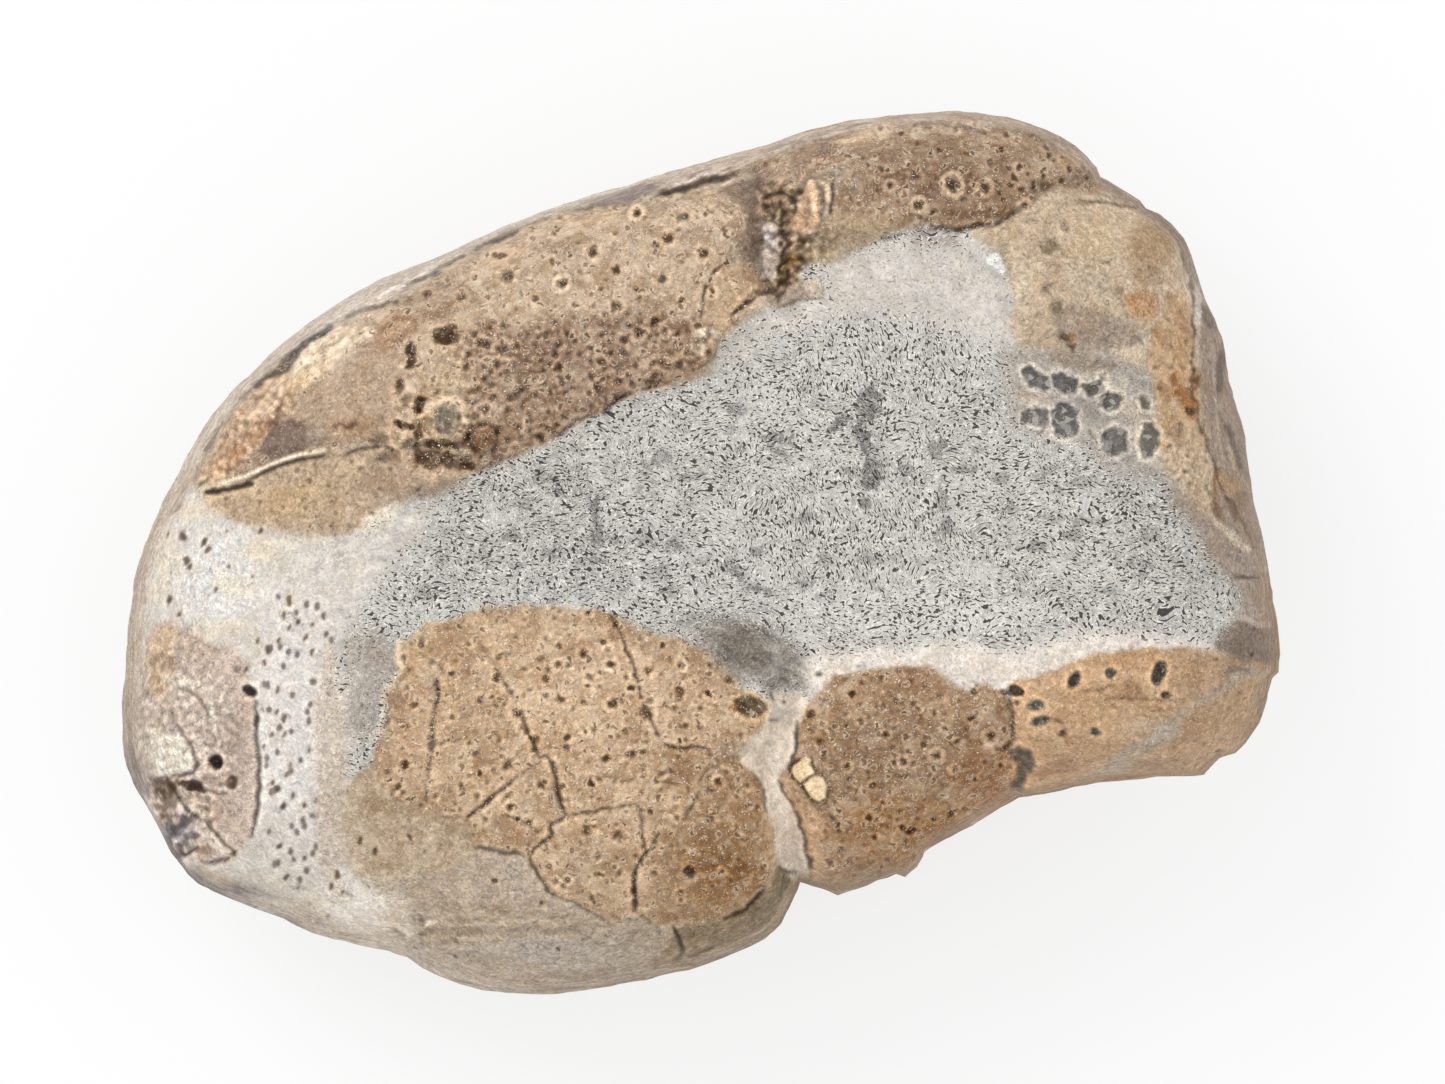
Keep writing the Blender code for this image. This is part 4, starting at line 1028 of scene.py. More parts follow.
lay(ramp(spot(1018, 132, 14, 8, 0, 1.3), 0, 0.5), (158, 146, 128), 0.6)
lay(ramp(spot(930, 182, 34, 18, 0, 1.0), 0, 0.6), (144, 116, 88), 0.5)
scattered(m, 17, 95, 1.8, 3.8, 0.2, (104, 82, 60), 0.75, (192, 168, 142), 0.4, 0.6)
scattered(m, 9, 96, 1.2, 2.4, 0.1, (112, 90, 68), 0.6, (184, 160, 136), 0.3, 0.6)
peak(grain, m * 0.35)
crater(952, 186, 12.5, (206, 190, 164), (150, 124, 98), 0.3)
crater(985, 188, 9.5, (206, 184, 156), (160, 130, 102), 0.28)
crater(918, 205, 8.5, (206, 190, 162), (128, 112, 84), 0.26)
crater(916, 176, 8.5, (172, 146, 122), (146, 120, 98), 0.18)
crater(890, 187, 7, (192, 170, 146), (150, 126, 104), 0.2)
crater(1024, 205, 7, (200, 178, 154), (140, 116, 96), 0.2)
pit(919, 206, 3.2, 0.15, (70, 60, 46), 0.9, 0)
pit(951, 188, 3.0, 0.15, (128, 106, 82), 0.8, 0)
for px_, py_, r_ in ((1009, 168, 3), (1021, 166, 3.4), (1027, 174, 3), (1034, 160, 2), (1010, 186, 3.4), (990, 166, 3.4), (1001, 151, 3),
                     (1014, 178, 3), (1003, 200, 2.6), (1020, 190, 3), (996, 180, 2.6), (1043, 178, 3), (1032, 186, 3),
                     (888, 170, 3.4), (903, 133, 3), (930, 127, 3), (1000, 192, 3), (932, 212, 4), (905, 215, 3), (868, 165, 2.6),
                     (1060, 180, 3), (1050, 155, 3), (1070, 168, 2.6), (1088, 178, 2.4), (965, 152, 2.6), (940, 150, 2.4)):
    pit(px_, py_, r_, 0.25, (82, 62, 46), 0.85, 0.2)
for bx, by in ((907, 162), (847, 197), (907, 192), (1035, 160), (1098, 160)):
    lay(ramp(spot(bx, by, 2.4, 2.4, 0, 0.3), 0, 0.4), (230, 216, 198), 0.8)
# violet-grey chips under the limb's edge
chips = inside_by([(905, 232), (920, 222), (945, 226), (960, 232), (958, 244), (940, 248), (915, 246), (902, 240)])
mottle(ramp(chips, -2.5, 3), (134, 118, 108), (206, 194, 184), MOTTLE_S, 1.6, 0.9)
groove([(930, 228), (950, 231), (970, 229), (985, 226)], 5, 0.5, (104, 84, 68), 0.85)
groove([(880, 240), (892, 238), (902, 234)], 4, 0.3, (134, 116, 92), 0.6)
groove([(985, 228), (1005, 220), (1022, 208)], 3, 0.3, (140, 118, 94), 0.55)
white_chip = inside_by([(984, 256), (998, 253), (1003, 262), (1006, 270), (1001, 276), (992, 268), (986, 263)])
lay(ramp(white_chip, -1.2, 1.2), CHIP, 0.98)
add(rise, 0.15 * ramp(white_chip, -1, 2))
fade(pore, ramp(white_chip, -1, 1))

# worn side above the claw: pale band with dark streaks along it
rim_line = [(176, 520), (188, 482), (200, 455), (214, 432), (228, 410), (243, 390), (262, 374), (284, 358), (306, 340), (330, 322),
            (352, 308), (378, 298), (402, 285), (426, 273), (450, 260), (476, 246), (502, 235), (524, 222), (556, 211), (590, 203),
            (628, 196), (662, 192), (700, 181), (736, 170), (760, 162), (790, 150), (830, 135), (880, 122), (930, 116)]
band = inside_by(rim_line + [(930, 80), (700, 100), (400, 200), (200, 350), (110, 520)], 60, 0.5)
m = ramp(band, -3, 3)
streaks = layers((GX * 0.82 + GY * -0.57) / 60, (GX * 0.57 + GY * 0.82) / 4.2, 97, 3)
mottle(m, (160, 142, 124), (230, 217, 204), streaks + 0.3 * MOTTLE_M, 1.5)
lay(m * (1 - ramp(streaks, -0.65, -0.3)), (118, 100, 82), 0.6)
fade(worm, m)
fade(shell, m)
fade(grain, m)
peak(gloss, 0.35 * m)
rimmed = np.zeros_like(rise)
add(rimmed, m)
for line, width, colour, amount in (
    ([(203, 452), (212, 437), (221, 421)], 3.6, (112, 98, 84), 0.75), ([(228, 408), (238, 398), (248, 388)], 3.4, (118, 102, 88), 0.7),
    ([(256, 384), (272, 374), (288, 364), (296, 352)], 6, (98, 86, 74), 0.85), ([(282, 362), (300, 347), (318, 334), (328, 326)], 6.5, (92, 80, 68), 0.85),
    ([(300, 328), (315, 320), (330, 312)], 2.5, (150, 136, 122), 0.6), ([(345, 316), (360, 309), (380, 306), (395, 301)], 3.4, (134, 118, 102), 0.7),
    ([(375, 290), (388, 284), (400, 279)], 2, (158, 142, 126), 0.6), ([(405, 285), (425, 276), (440, 272)], 3, (128, 112, 96), 0.7),
    ([(433, 270), (448, 262), (463, 255)], 4.2, (110, 94, 78), 0.85), ([(476, 246), (490, 241), (505, 234), (521, 226)], 5, (106, 94, 82), 0.85),
    ([(448, 249), (455, 247), (462, 244)], 2, (140, 124, 108), 0.5), ([(520, 226), (535, 221), (548, 217)], 3, (140, 122, 104), 0.6),
    ([(560, 211), (575, 208), (590, 205)], 3.6, (142, 136, 120), 0.6), ([(585, 198), (600, 194), (615, 189)], 3.0, (120, 110, 104), 0.7),
    ([(622, 187), (635, 185), (652, 184)], 2.6, (120, 108, 102), 0.7), ([(688, 174), (700, 171), (710, 167)], 2.4, (130, 112, 92), 0.6),
    ([(726, 160), (738, 157), (750, 152)], 2.6, (150, 132, 112), 0.6), ([(760, 150), (785, 144), (800, 140)], 3, (140, 120, 100), 0.5),
    ([(812, 136), (835, 128), (850, 126)], 3, (138, 118, 100), 0.6), ([(850, 124), (870, 120), (890, 118)], 3, (146, 126, 108), 0.6),
    ([(918, 122), (935, 120), (948, 122)], 4, (138, 116, 96), 0.6), ([(960, 126), (980, 130), (985, 134)], 4.5, (122, 98, 74), 0.7),
    ([(1045, 133), (1060, 145), (1075, 152)], 4, (120, 102, 90), 0.6),
):
    d, share = along(line, 20, 0.8)
    line_m = (1 - ramp(d, width * 0.25, width * 0.8)) * ramp(MOTTLE_S + 0.5, -0.4, 0.2)
    lay(line_m, colour, amount)
    add(rise, 0.22 * (1 - ramp(d, 0, width)) * amount, -1)
violet = inside_by([(588, 204), (592, 195), (610, 188), (630, 185), (650, 184), (662, 187), (656, 193), (630, 198), (605, 204)])
mottle(ramp(violet, -2, 2), (142, 126, 118), (172, 158, 150), MOTTLE_M, 1.0, 0.95)
dark_bar = inside_by([(655, 198), (662, 189), (680, 183), (700, 177), (718, 173), (740, 169), (738, 176), (720, 182), (700, 186),
                      (680, 192), (664, 197)])
mottle(ramp(dark_bar, -2.5, 2.5), (92, 76, 60), (142, 122, 100), MOTTLE_S, 1.3, 0.95)
add(rise, 0.3 * ramp(dark_bar, -1, 4), -1)
lay(ramp(inside_by([(722, 168), (745, 160), (775, 153), (790, 150), (785, 158), (760, 166), (740, 174), (724, 178)]), -4, 4),
    (160, 138, 114), 0.6)

# ------------------------------------------------------------ plates A, B, C
plate_a = inside_by([(396, 652), (402, 640), (425, 624), (450, 618), (470, 612), (490, 608), (520, 603), (560, 607), (600, 611),
                     (625, 620), (650, 632), (680, 637), (705, 648), (722, 660), (736, 676), (744, 690), (764, 697), (768, 712),
                     (762, 724), (745, 738), (738, 755), (755, 768), (762, 790), (768, 815), (778, 845), (774, 866), (764, 888),
                     (745, 905), (722, 915), (690, 925), (664, 925), (640, 915), (620, 922), (602, 915), (582, 905), (556, 896),
                     (540, 878), (530, 856), (502, 848), (478, 842), (468, 826), (450, 822), (420, 812), (400, 800), (380, 788),
                     (374, 768), (372, 748), (382, 735), (388, 712), (386, 692), (398, 676)])
m = ramp(plate_a, -2.5, 2)
fade(worm, m)
fade(pore, m)
peak(shell, m)
mottle(m, (180, 151, 122), (214, 188, 158), MOTTLE_X + 0.4 * MOTTLE_S, 1.0)
# yellower middle, browner rim and lower right
lay(m * ramp(spot(575, 700, 95, 75), 0, 0.7), (213, 185, 152), 0.6)
lay(m * ramp(spot(500, 625, 60, 24), 0, 0.7), (208, 182, 152), 0.5)
lay(m * ramp(spot(465, 720, 60, 60), 0, 0.7), (196, 168, 138), 0.5)
lay(m * (1 - ramp(plate_a, 4, 26)), (172, 144, 114), 0.35)
left_brown = inside_by([(385, 700), (415, 660), (440, 668), (446, 700), (430, 740), (425, 790), (400, 795), (378, 775), (374, 750)])
lay(m * ramp(left_brown, -10, 12), (184, 154, 126), 0.55)
brown_low = inside_by([(650, 752), (700, 745), (735, 752), (755, 775), (768, 820), (778, 850), (770, 880), (742, 905), (690, 925),
                       (650, 922), (648, 850), (690, 800), (660, 780)])
lay(m * ramp(brown_low, -10, 12), (160, 130, 98), 0.75)
lay(m * ramp(spot(725, 872, 46, 34), 0, 0.7), (139, 103, 66), 0.75)
lay(m * ramp(spot(745, 815, 26, 36), 0, 0.7), (158, 122, 88), 0.6)
lay(m * ramp(spot(640, 775, 42, 16), 0, 0.7), (178, 146, 112), 0.6)
lay(m * ramp(spot(600, 870, 46, 36), 0, 0.7), (176, 150, 122), 0.7)
lay(m * ramp(spot(600, 905, 36, 12), 0, 0.7), (170, 144, 114), 0.6)
lay(m * ramp(spot(520, 838, 26, 10), 0, 0.5), (168, 132, 96), 0.7)
lay(m * ramp(spot(600, 815, 40, 12), 0, 0.7), (190, 164, 136), 0.6)
scattered(m, 18, 101, 1.8, 4.0, 0.2, (124, 96, 66), 0.8, (224, 199, 166), 0.5, 0.8)
scattered(m, 10.5, 102, 1.2, 2.6, 0.1, (142, 112, 82), 0.65, (220, 196, 166), 0.35, 0.6)
for px_, py_, r_, kind in (
    (612, 703, 6.5, 1), (567, 737, 3.6, 1), (566, 746, 4.2, 4), (586, 731, 4.6, 2), (607, 758, 4.6, 1), (591, 784, 4.4, 5),
    (542, 785, 6, 0), (631, 686, 3.8, 1), (649, 672, 5, 0), (663, 645, 4.2, 5), (709, 693, 3.2, 5), (646, 711, 8, 0),
    (632, 755, 5.5, 0), (660, 773, 5, 0), (670, 770, 4, 0), (510, 806, 7, 2), (560, 645, 4, 0), (541, 659, 4, 3),
    (590, 676, 5, 0), (560, 700, 6, 0), (480, 700, 5, 0), (497, 678, 4.5, 1), (434, 743, 6, 4), (463, 789, 4.6, 3),
    (619, 836, 7, 0), (588, 829, 7.5, 0), (567, 880, 5, 2), (690, 871, 6, 1), (711, 818, 6, 0), (718, 781, 7, 2),
    (709, 789, 5, 3), (722, 871, 5, 2), (681, 900, 4, 2), (481, 774, 3, 1), (508, 765, 6, 0), (728, 679, 4, 0),
    (584, 652, 7, 2), (612, 665, 7, 2), (681, 664, 6, 2), (602, 641, 4, 0), (421, 641, 5.5, 3), (516, 636, 4, 3),
    (625, 731, 4, 0), (609, 728, 3.2, 1), (686, 738, 3.4, 0), (451, 674, 3, 1), (558, 665, 6, 2), (680, 690, 6, 0),
    (536, 738, 6, 0), (515, 712, 5, 0), (431, 660, 5, 3), (410, 820, 4, 3), (553, 600, 3, 0), (588, 614, 5, 2),
    (665, 705, 3, 0), (700, 725, 4, 0), (735, 702, 5, 6), (585, 700, 4, 0), (530, 690, 3, 0), (505, 655, 5, 3),
    (492, 697, 4, 2), (546, 678, 4, 0), (475, 755, 4, 0), (415, 705, 5, 0), (405, 765, 6, 1), (398, 785, 4, 1),
):
    if kind == 0:
        pit(px_, py_, r_, 0.2, (142, 110, 76), 0.7, 0.4)
    elif kind == 1:
        pit(px_, py_, r_, 0.32, (92, 72, 50), 0.9, 0.4)
    elif kind == 2:
        crater(px_, py_, r_ * 1.1, (214, 188, 156), (150, 120, 90), 0.18)
    elif kind == 3:
        pit(px_, py_, r_, 0.15, (150, 138, 122), 0.7, 0.3)
    elif kind == 4:
        pit(px_, py_, r_, 0.2, (128, 114, 84), 0.75, 0.3)
    elif kind == 5:
        pit(px_, py_, r_, 0.34, (62, 48, 36), 0.95, 0.4)
    else:
        pit(px_, py_, r_, 0.2, (140, 94, 56), 0.85, 0.2)
pit(599, 874, 3.0, 0.2, (96, 66, 48), 0.8, 0.3, None, 2.0, 0)
pit(645, 750, 3.0, 0.2, (90, 66, 44), 0.8, 0.2)
# cavity at the plate's right tip
s = spot(751, 706, 17, 11.5, -10, 0.5)
lay(ramp(s, -0.45, -0.1) * (1 - ramp(s, -0.05, 0.1)), (220, 192, 152), 0.7)
lay(ramp(s, -0.02, 0.2), (140, 122, 94), 0.95)
lay(ramp(spot(744, 706, 5, 4, 0, 0.6), 0, 0.4), (104, 82, 60), 0.8)
lay(ramp(spot(734, 708, 8, 4, 0, 0.6), 0, 0.4), (124, 82, 54), 0.8)
add(rise, 0.45 * ramp(s, -0.1, 0.5), -1)
# cracks
for line, width, deep, colour, amount in (
    ([(438, 676), (439, 690), (436, 708)], 4.2, 0.4, (78, 62, 48), 0.9),
    ([(435, 708), (434, 725), (433, 745), (431, 760), (430, 778)], 3.0, 0.25, (118, 94, 68), 0.8),
    ([(428, 780), (426, 792), (425, 800)], 3.0, 0.2, (122, 104, 84), 0.7),
    ([(433, 660), (440, 665), (443, 674)], 3, 0.15, (128, 110, 92), 0.6),
    ([(480, 640), (488, 655), (497, 668)], 2.6, 0.15, (146, 118, 88), 0.6),
    ([(497, 668), (504, 678), (510, 688), (516, 700)], 3.2, 0.25, (104, 82, 58), 0.85),
    ([(513, 706), (520, 713), (525, 722), (531, 732), (534, 742), (539, 752)], 4.4, 0.3, (96, 82, 62), 0.85),
    ([(534, 745), (539, 757), (545, 755), (551, 757)], 2.4, 0.2, (104, 80, 56), 0.8),
    ([(551, 757), (555, 770), (558, 785), (561, 800), (566, 812)], 4.6, 0.35, (84, 72, 60), 0.85),
    ([(466, 819), (480, 808), (497, 794), (513, 780)], 3.8, 0.35, (86, 60, 38), 0.92),
    ([(513, 780), (528, 769), (545, 758)], 2.4, 0.15, (132, 104, 76), 0.7),
    ([(567, 813), (560, 820), (553, 824), (552, 834), (546, 841), (536, 846)], 4.0, 0.3, (84, 68, 50), 0.85),
    ([(536, 846), (530, 854), (531, 865), (538, 876), (546, 887), (554, 895)], 3.4, 0.25, (96, 78, 56), 0.85),
    ([(553, 895), (566, 901), (580, 906), (590, 914), (604, 920)], 2.8, 0.2, (128, 106, 80), 0.6),
    ([(502, 808), (508, 814), (518, 819), (530, 824), (538, 831), (545, 824)], 2.6, 0.15, (120, 92, 62), 0.75),
    ([(568, 814), (590, 811), (612, 807), (638, 804)], 3.0, 0.25, (112, 88, 60), 0.8),
    ([(640, 806), (641, 822), (642, 838), (645, 849)], 3.0, 0.25, (104, 82, 56), 0.85),
    ([(640, 808), (650, 811)], 2.4, 0.15, (98, 76, 52), 0.8),
    ([(660, 832), (654, 840), (648, 850)], 3.0, 0.25, (96, 72, 46), 0.85),
    ([(647, 850), (641, 860), (637, 868)], 4.0, 0.3, (74, 60, 46), 0.85),
    ([(636, 868), (635, 880), (636, 892), (634, 903), (633, 912)], 6.0, 0.45, (58, 44, 30), 0.95),
    ([(633, 912), (642, 916), (652, 922)], 2.4, 0.15, (130, 108, 80), 0.6),
    ([(607, 615), (614, 622), (622, 633)], 3.2, 0.2, (118, 96, 76), 0.8),
    ([(622, 633), (627, 648), (632, 662), (637, 680), (642, 696)], 3.2, 0.25, (110, 88, 70), 0.85),
    ([(644, 702), (650, 714), (655, 728), (661, 740)], 3.2, 0.22, (112, 88, 66), 0.8),
    ([(663, 742), (670, 746), (682, 748), (694, 746), (706, 748)], 3.6, 0.3, (84, 64, 44), 0.88),
    ([(706, 748), (714, 756), (721, 764)], 2.6, 0.15, (130, 108, 84), 0.7),
    ([(700, 790), (694, 800), (688, 812), (680, 820)], 3.2, 0.2, (124, 104, 84), 0.7),
    ([(598, 776), (612, 776), (624, 780), (636, 778)], 2.4, 0.12, (132, 100, 70), 0.7),
    ([(645, 782), (660, 781), (672, 783), (680, 786)], 2.6, 0.15, (112, 84, 58), 0.75),
    ([(405, 722), (392, 716), (384, 728)], 2.6, 0.15, (146, 116, 88), 0.6),
):
    groove(line, width, deep, colour, amount)
lay(ramp(spot(434, 690, 4, 22, 0, 0.4), 0, 0.5), (160, 142, 130), 0.6)
lay(ramp(inside_by([(548, 790), (556, 782), (560, 800), (566, 812), (560, 818), (553, 808)], 30), -2, 3), (150, 138, 124), 0.6)
# white flecks in the browner part
for bx, by, brx, bry in ((722, 850, 5, 8), (733, 862, 4, 7), (728, 840, 5, 4), (708, 845, 5, 5), (694, 832, 4, 6), (688, 812, 6, 5),
                         (693, 800, 4, 8), (760, 858, 6, 4), (755, 840, 4, 5), (748, 852, 3, 3), (712, 860, 3, 4), (738, 828, 3, 4)):
    lay(ramp(spot(bx, by, brx, bry, 0, 1.5), 0.05, 0.4), (204, 188, 166), 0.7)
# rim notes: pale outline at the left, dark greenish line below
d, share = along([(402, 640), (398, 655), (402, 668), (392, 684), (384, 694), (383, 712), (378, 735), (366, 745)], 20, 0.5)
lay(1 - ramp(d, 1.2, 3.6), (214, 196, 172), 0.7)
add(rise, 0.12 * (1 - ramp(d, 1, 5)))
groove([(474, 846), (490, 850), (508, 853), (524, 855)], 6.0, 0.25, (110, 102, 86), 0.75)
olive_rim = inside_by([(676, 930), (700, 922), (722, 916), (745, 906), (765, 890), (778, 866), (790, 872), (792, 888), (785, 905),
                       (770, 925), (748, 940), (720, 950), (690, 962), (664, 974), (650, 972), (655, 958), (672, 944)])
mottle(ramp(olive_rim, -3, 3), (106, 92, 68), (160, 142, 118), MOTTLE_M + 0.6 * MOTTLE_S, 1.2, 0.95)
fade(worm, ramp(olive_rim, -3, 2))
lay(ramp(inside_by([(772, 940), (786, 920), (796, 892), (800, 878), (793, 878), (784, 900), (770, 925), (755, 940)], 40), -3, 3),
    (196, 170, 140), 0.8)
groove([(672, 926), (680, 940), (684, 950), (676, 962)], 4.5, 0.3, (74, 64, 48), 0.7)
groove([(652, 972), (668, 966), (690, 958), (715, 950)], 5, 0.25, (92, 82, 62), 0.7)
groove([(764, 886), (756, 900), (742, 912), (724, 918)], 4, 0.3, (96, 78, 54), 0.7)

# furrow between plates A and B, with light matrix in it
furrow = inside_by([(744, 742), (762, 730), (768, 712), (770, 690), (800, 690), (808, 702), (800, 735), (790, 758), (780, 775),
                    (784, 790), (796, 812), (806, 845), (812, 868), (806, 884), (792, 880), (782, 868), (776, 848), (768, 815),
                    (760, 788), (752, 768), (738, 757)])
m = ramp(furrow, -3, 2)
mottle(m, (222, 206, 188), (246, 232, 214), MOTTLE_M + 0.4 * MOTTLE_S, 1.0, 0.97)
fade(worm, m)
fade(shell, m)
peak(pore, 0.5 * m)
lay(ramp(spot(782, 715, 16, 16, 0, 1.2), 0, 0.5), (188, 180, 170), 0.6)
lay(ramp(spot(735, 748, 26, 10, 0, 1.2), 0, 0.5), (172, 160, 144), 0.6)
for line, width, deep, colour, amount in (
    ([(797, 722), (796, 740), (795, 752)], 4, 0.4, (110, 92, 74), 0.8), ([(795, 752), (792, 762), (790, 772)], 4, 0.3, (118, 98, 78), 0.8),
    ([(797, 812), (803, 832), (807, 852), (810, 870)], 3.6, 0.35, (96, 82, 66), 0.8), ([(781, 700), (786, 703)], 4, 0.2, (78, 66, 54), 0.8),
    ([(770, 690), (773, 702)], 4, 0.2, (112, 92, 72), 0.7), ([(768, 722), (778, 720)], 3, 0.15, (112, 96, 78), 0.6),
    ([(722, 770), (712, 764), (704, 772), (700, 782)], 3, 0.15, (124, 106, 84), 0.6), ([(752, 770), (762, 790), (766, 812)], 3, 0.2, (140, 118, 92), 0.6),
    ([(780, 868), (788, 872), (798, 874)], 4, 0.2, (112, 100, 82), 0.7), ([(814, 675), (822, 675)], 3, 0.2, (92, 84, 74), 0.7),
):
    groove(line, width, deep, colour, amount)

plate_b = inside_by([(800, 752), (798, 735), (803, 712), (812, 700), (825, 690), (834, 676), (860, 670), (885, 668), (900, 666),
                     (935, 668), (948, 680), (966, 690), (985, 685), (1004, 690), (1010, 706), (1012, 726), (1011, 744), (1016, 760),
                     (1010, 790), (1004, 808), (982, 824), (960, 836), (940, 848), (922, 858), (915, 868), (900, 874), (880, 882),
                     (858, 892), (838, 900), (822, 892), (808, 888), (812, 872), (806, 848), (798, 820), (786, 796), (778, 778),
                     (790, 768)])
m = ramp(plate_b, -2.5, 2)
fade(worm, m)
fade(pore, m)
peak(shell, m)
mottle(m, (140, 110, 82), (186, 158, 130), MOTTLE_X + 0.5 * MOTTLE_S, 1.1)
lay(m * ramp(spot(840, 700, 44, 30), 0, 0.7), (178, 148, 118), 0.5)
lay(m * ramp(spot(905, 715, 40, 34), 0, 0.7), (166, 138, 114), 0.4)
lay(m * ramp(spot(985, 785, 34, 26), 0, 0.7), (146, 108, 74), 0.7)
lay(m * ramp(spot(940, 830, 60, 20, 25), 0, 0.7), (146, 116, 78), 0.6)
lay(m * ramp(spot(875, 860, 50, 22, 20), 0, 0.7), (152, 124, 92), 0.6)
lay(m * ramp(spot(915, 788, 36, 14), 0, 0.6), (178, 154, 126), 0.6)
lay(m * ramp(spot(865, 745, 30, 30), 0, 0.6), (158, 130, 106), 0.5)
scattered(m, 16, 111, 1.8, 3.8, 0.18, (100, 76, 52), 0.8, (196, 170, 142), 0.45, 0.7)
scattered(m, 9.5, 112, 1.3, 2.6, 0.1, (112, 86, 60), 0.65, (190, 164, 136), 0.35, 0.65)
peak(grain, m * 0.5)
for px_, py_, r_, kind in (
    (852, 694, 3.2, 5), (969, 719, 4.4, 5), (870, 819, 4, 5), (811, 714, 6, 0), (846, 766, 6, 2), (903, 761, 6, 2), (936, 755, 7, 2),
    (990, 737, 8, 2), (885, 735, 6, 2), (938, 695, 4.4, 0), (934, 713, 4, 0), (957, 741, 5, 2), (955, 769, 5, 2), (872, 786, 5, 2),
    (856, 790, 4, 2), (883, 868, 2.4, 5), (936, 821, 3, 5), (952, 816, 3, 5), (875, 838, 4.4, 2), (840, 852, 4, 3), (902, 828, 3.4, 5),
    (912, 831, 3, 5), (918, 708, 4, 2), (975, 690, 4, 0), (945, 728, 5, 2), (925, 745, 4, 0), (1000, 765, 5, 2), (960, 700, 4, 2),
    (975, 780, 4, 2), (820, 740, 4, 0), (835, 725, 4, 0), (860, 720, 5, 2), (895, 700, 4, 0), (838, 822, 3, 4), (850, 860, 3, 4),
):
    if kind == 0:
        pit(px_, py_, r_, 0.2, (124, 94, 64), 0.7, 0.4, (196, 170, 140))
    elif kind == 2:
        crater(px_, py_, r_ * 1.1, (194, 168, 140), (132, 102, 74), 0.16)
    elif kind == 5:
        pit(px_, py_, r_, 0.32, (66, 46, 30), 0.95, 0.35, (196, 168, 138))
    else:
        pit(px_, py_, r_, 0.15, (128, 114, 96), 0.7, 0.3, (190, 168, 142))
lay(ramp(inside_by([(985, 735), (996, 745), (1000, 742), (994, 752), (984, 748)], 30), -2, 2), (208, 188, 164), 0.7)
groove([(827, 816), (834, 818), (840, 824), (839, 832)], 3.6, 0.2, (86, 80, 68), 0.75)
groove([(893, 771), (900, 776), (906, 774), (914, 777)], 2.6, 0.15, (96, 72, 48), 0.7)
groove([(900, 826), (908, 831), (916, 831)], 3.6, 0.2, (72, 50, 32), 0.8)
# smooth orange-tan strip at its left edge
strip_b = inside_by([(778, 778), (788, 776), (798, 784), (806, 800), (818, 808), (824, 830), (828, 860), (826, 884), (812, 886),
                     (810, 866), (804, 840), (796, 812), (786, 794)])
m = ramp(strip_b, -2, 2)
mottle(m, (184, 152, 120), (204, 172, 140), MOTTLE_M, 1.0, 0.95)
fade(shell, m)
fade(grain, m)
fade(ink, 0.8 * m)
peak(gloss, 0.3 * m)
groove([(777, 779), (785, 793), (794, 808)], 2.2, 0.15, (116, 90, 64), 0.7)
# cream chip with dark outline
for ring in ([(790, 770), (797, 763), (804, 758), (811, 758), (813, 768), (816, 774), (808, 778), (800, 782), (794, 777)],
             [(803, 784), (810, 778), (816, 775), (823, 777), (827, 786), (826, 796), (819, 801), (812, 798), (807, 791)]):
    d = inside_by(ring, 30, 0.35)
    lay(ramp(d, -3.6, -1.6) * (1 - ramp(d, -0.8, 0.4)), (96, 76, 50), 0.85)
    mottle(ramp(d, -1.2, 0.8), (206, 178, 144), (224, 198, 166), MOTTLE_S, 0.8)
    add(rise, 0.28 * ramp(d, -1.2, 2.5))
    fade(shell, ramp(d, -1, 1))
lay(ramp(inside_by([(800, 760), (804, 753), (810, 756), (808, 760)], 20, 0.4), -1, 1), (206, 184, 154), 0.8)

plate_c = inside_by([(1008, 688), (1014, 680), (1035, 676), (1060, 666), (1080, 657), (1105, 652), (1130, 649), (1180, 649),
                     (1215, 651), (1245, 660), (1285, 668), (1285, 700), (1268, 724), (1248, 750), (1222, 764), (1205, 778),
                     (1185, 778), (1135, 783), (1100, 788), (1050, 798), (1015, 802), (1012, 780), (1014, 756), (1012, 735),
                     (1013, 712)])
m = ramp(plate_c, -2.5, 2)
fade(worm, m)
fade(pore, m)
peak(shell, 0.35 * m)
mottle(m, (180, 146, 112), (208, 176, 142), MOTTLE_X + 0.3 * MOTTLE_S, 1.0)
diag = layers((GX + 0.7 * GY) / 40, (GX * 0.5 - GY) / 9, 117, 3)
lay(m * ramp(diag, 0.2, 0.9), (176, 142, 108), 0.4)
lay(m * ramp(spot(1140, 660, 60, 14), 0, 0.7), (176, 138, 102), 0.6)
lay(m * ramp(spot(1055, 730, 30, 16), 0, 0.7), (204, 174, 140), 0.6)
lay(m * ramp(spot(1110, 715, 60, 16, 15), 0, 0.7), (198, 164, 128), 0.5)
lay(m * ramp(GX + 0.3 * GY, 1330, 1400), (178, 150, 122), 0.6)
lay(m * ramp(spot(1060, 768, 46, 12, 10), 0, 0.7), (160, 126, 98), 0.7)
lay(m * ramp(spot(1150, 765, 46, 10, 5), 0, 0.7), (156, 130, 108), 0.6)
lay(m * ramp(spot(1132, 692, 12, 16), 0, 0.5), (150, 116, 86), 0.6)
lay(m * ramp(spot(1240, 690, 30, 18), 0, 0.6), (176, 146, 112), 0.5)
lay(m * ramp(spot(1264, 705, 12, 26), 0, 0.5), (158, 142, 128), 0.7)
lay(m * ramp(spot(1255, 740, 14, 14), 0, 0.5), (140, 122, 108), 0.7)
scattered(m, 22, 121, 1.4, 2.8, 0.12, (132, 100, 70), 0.7, None, 0, 0.5)
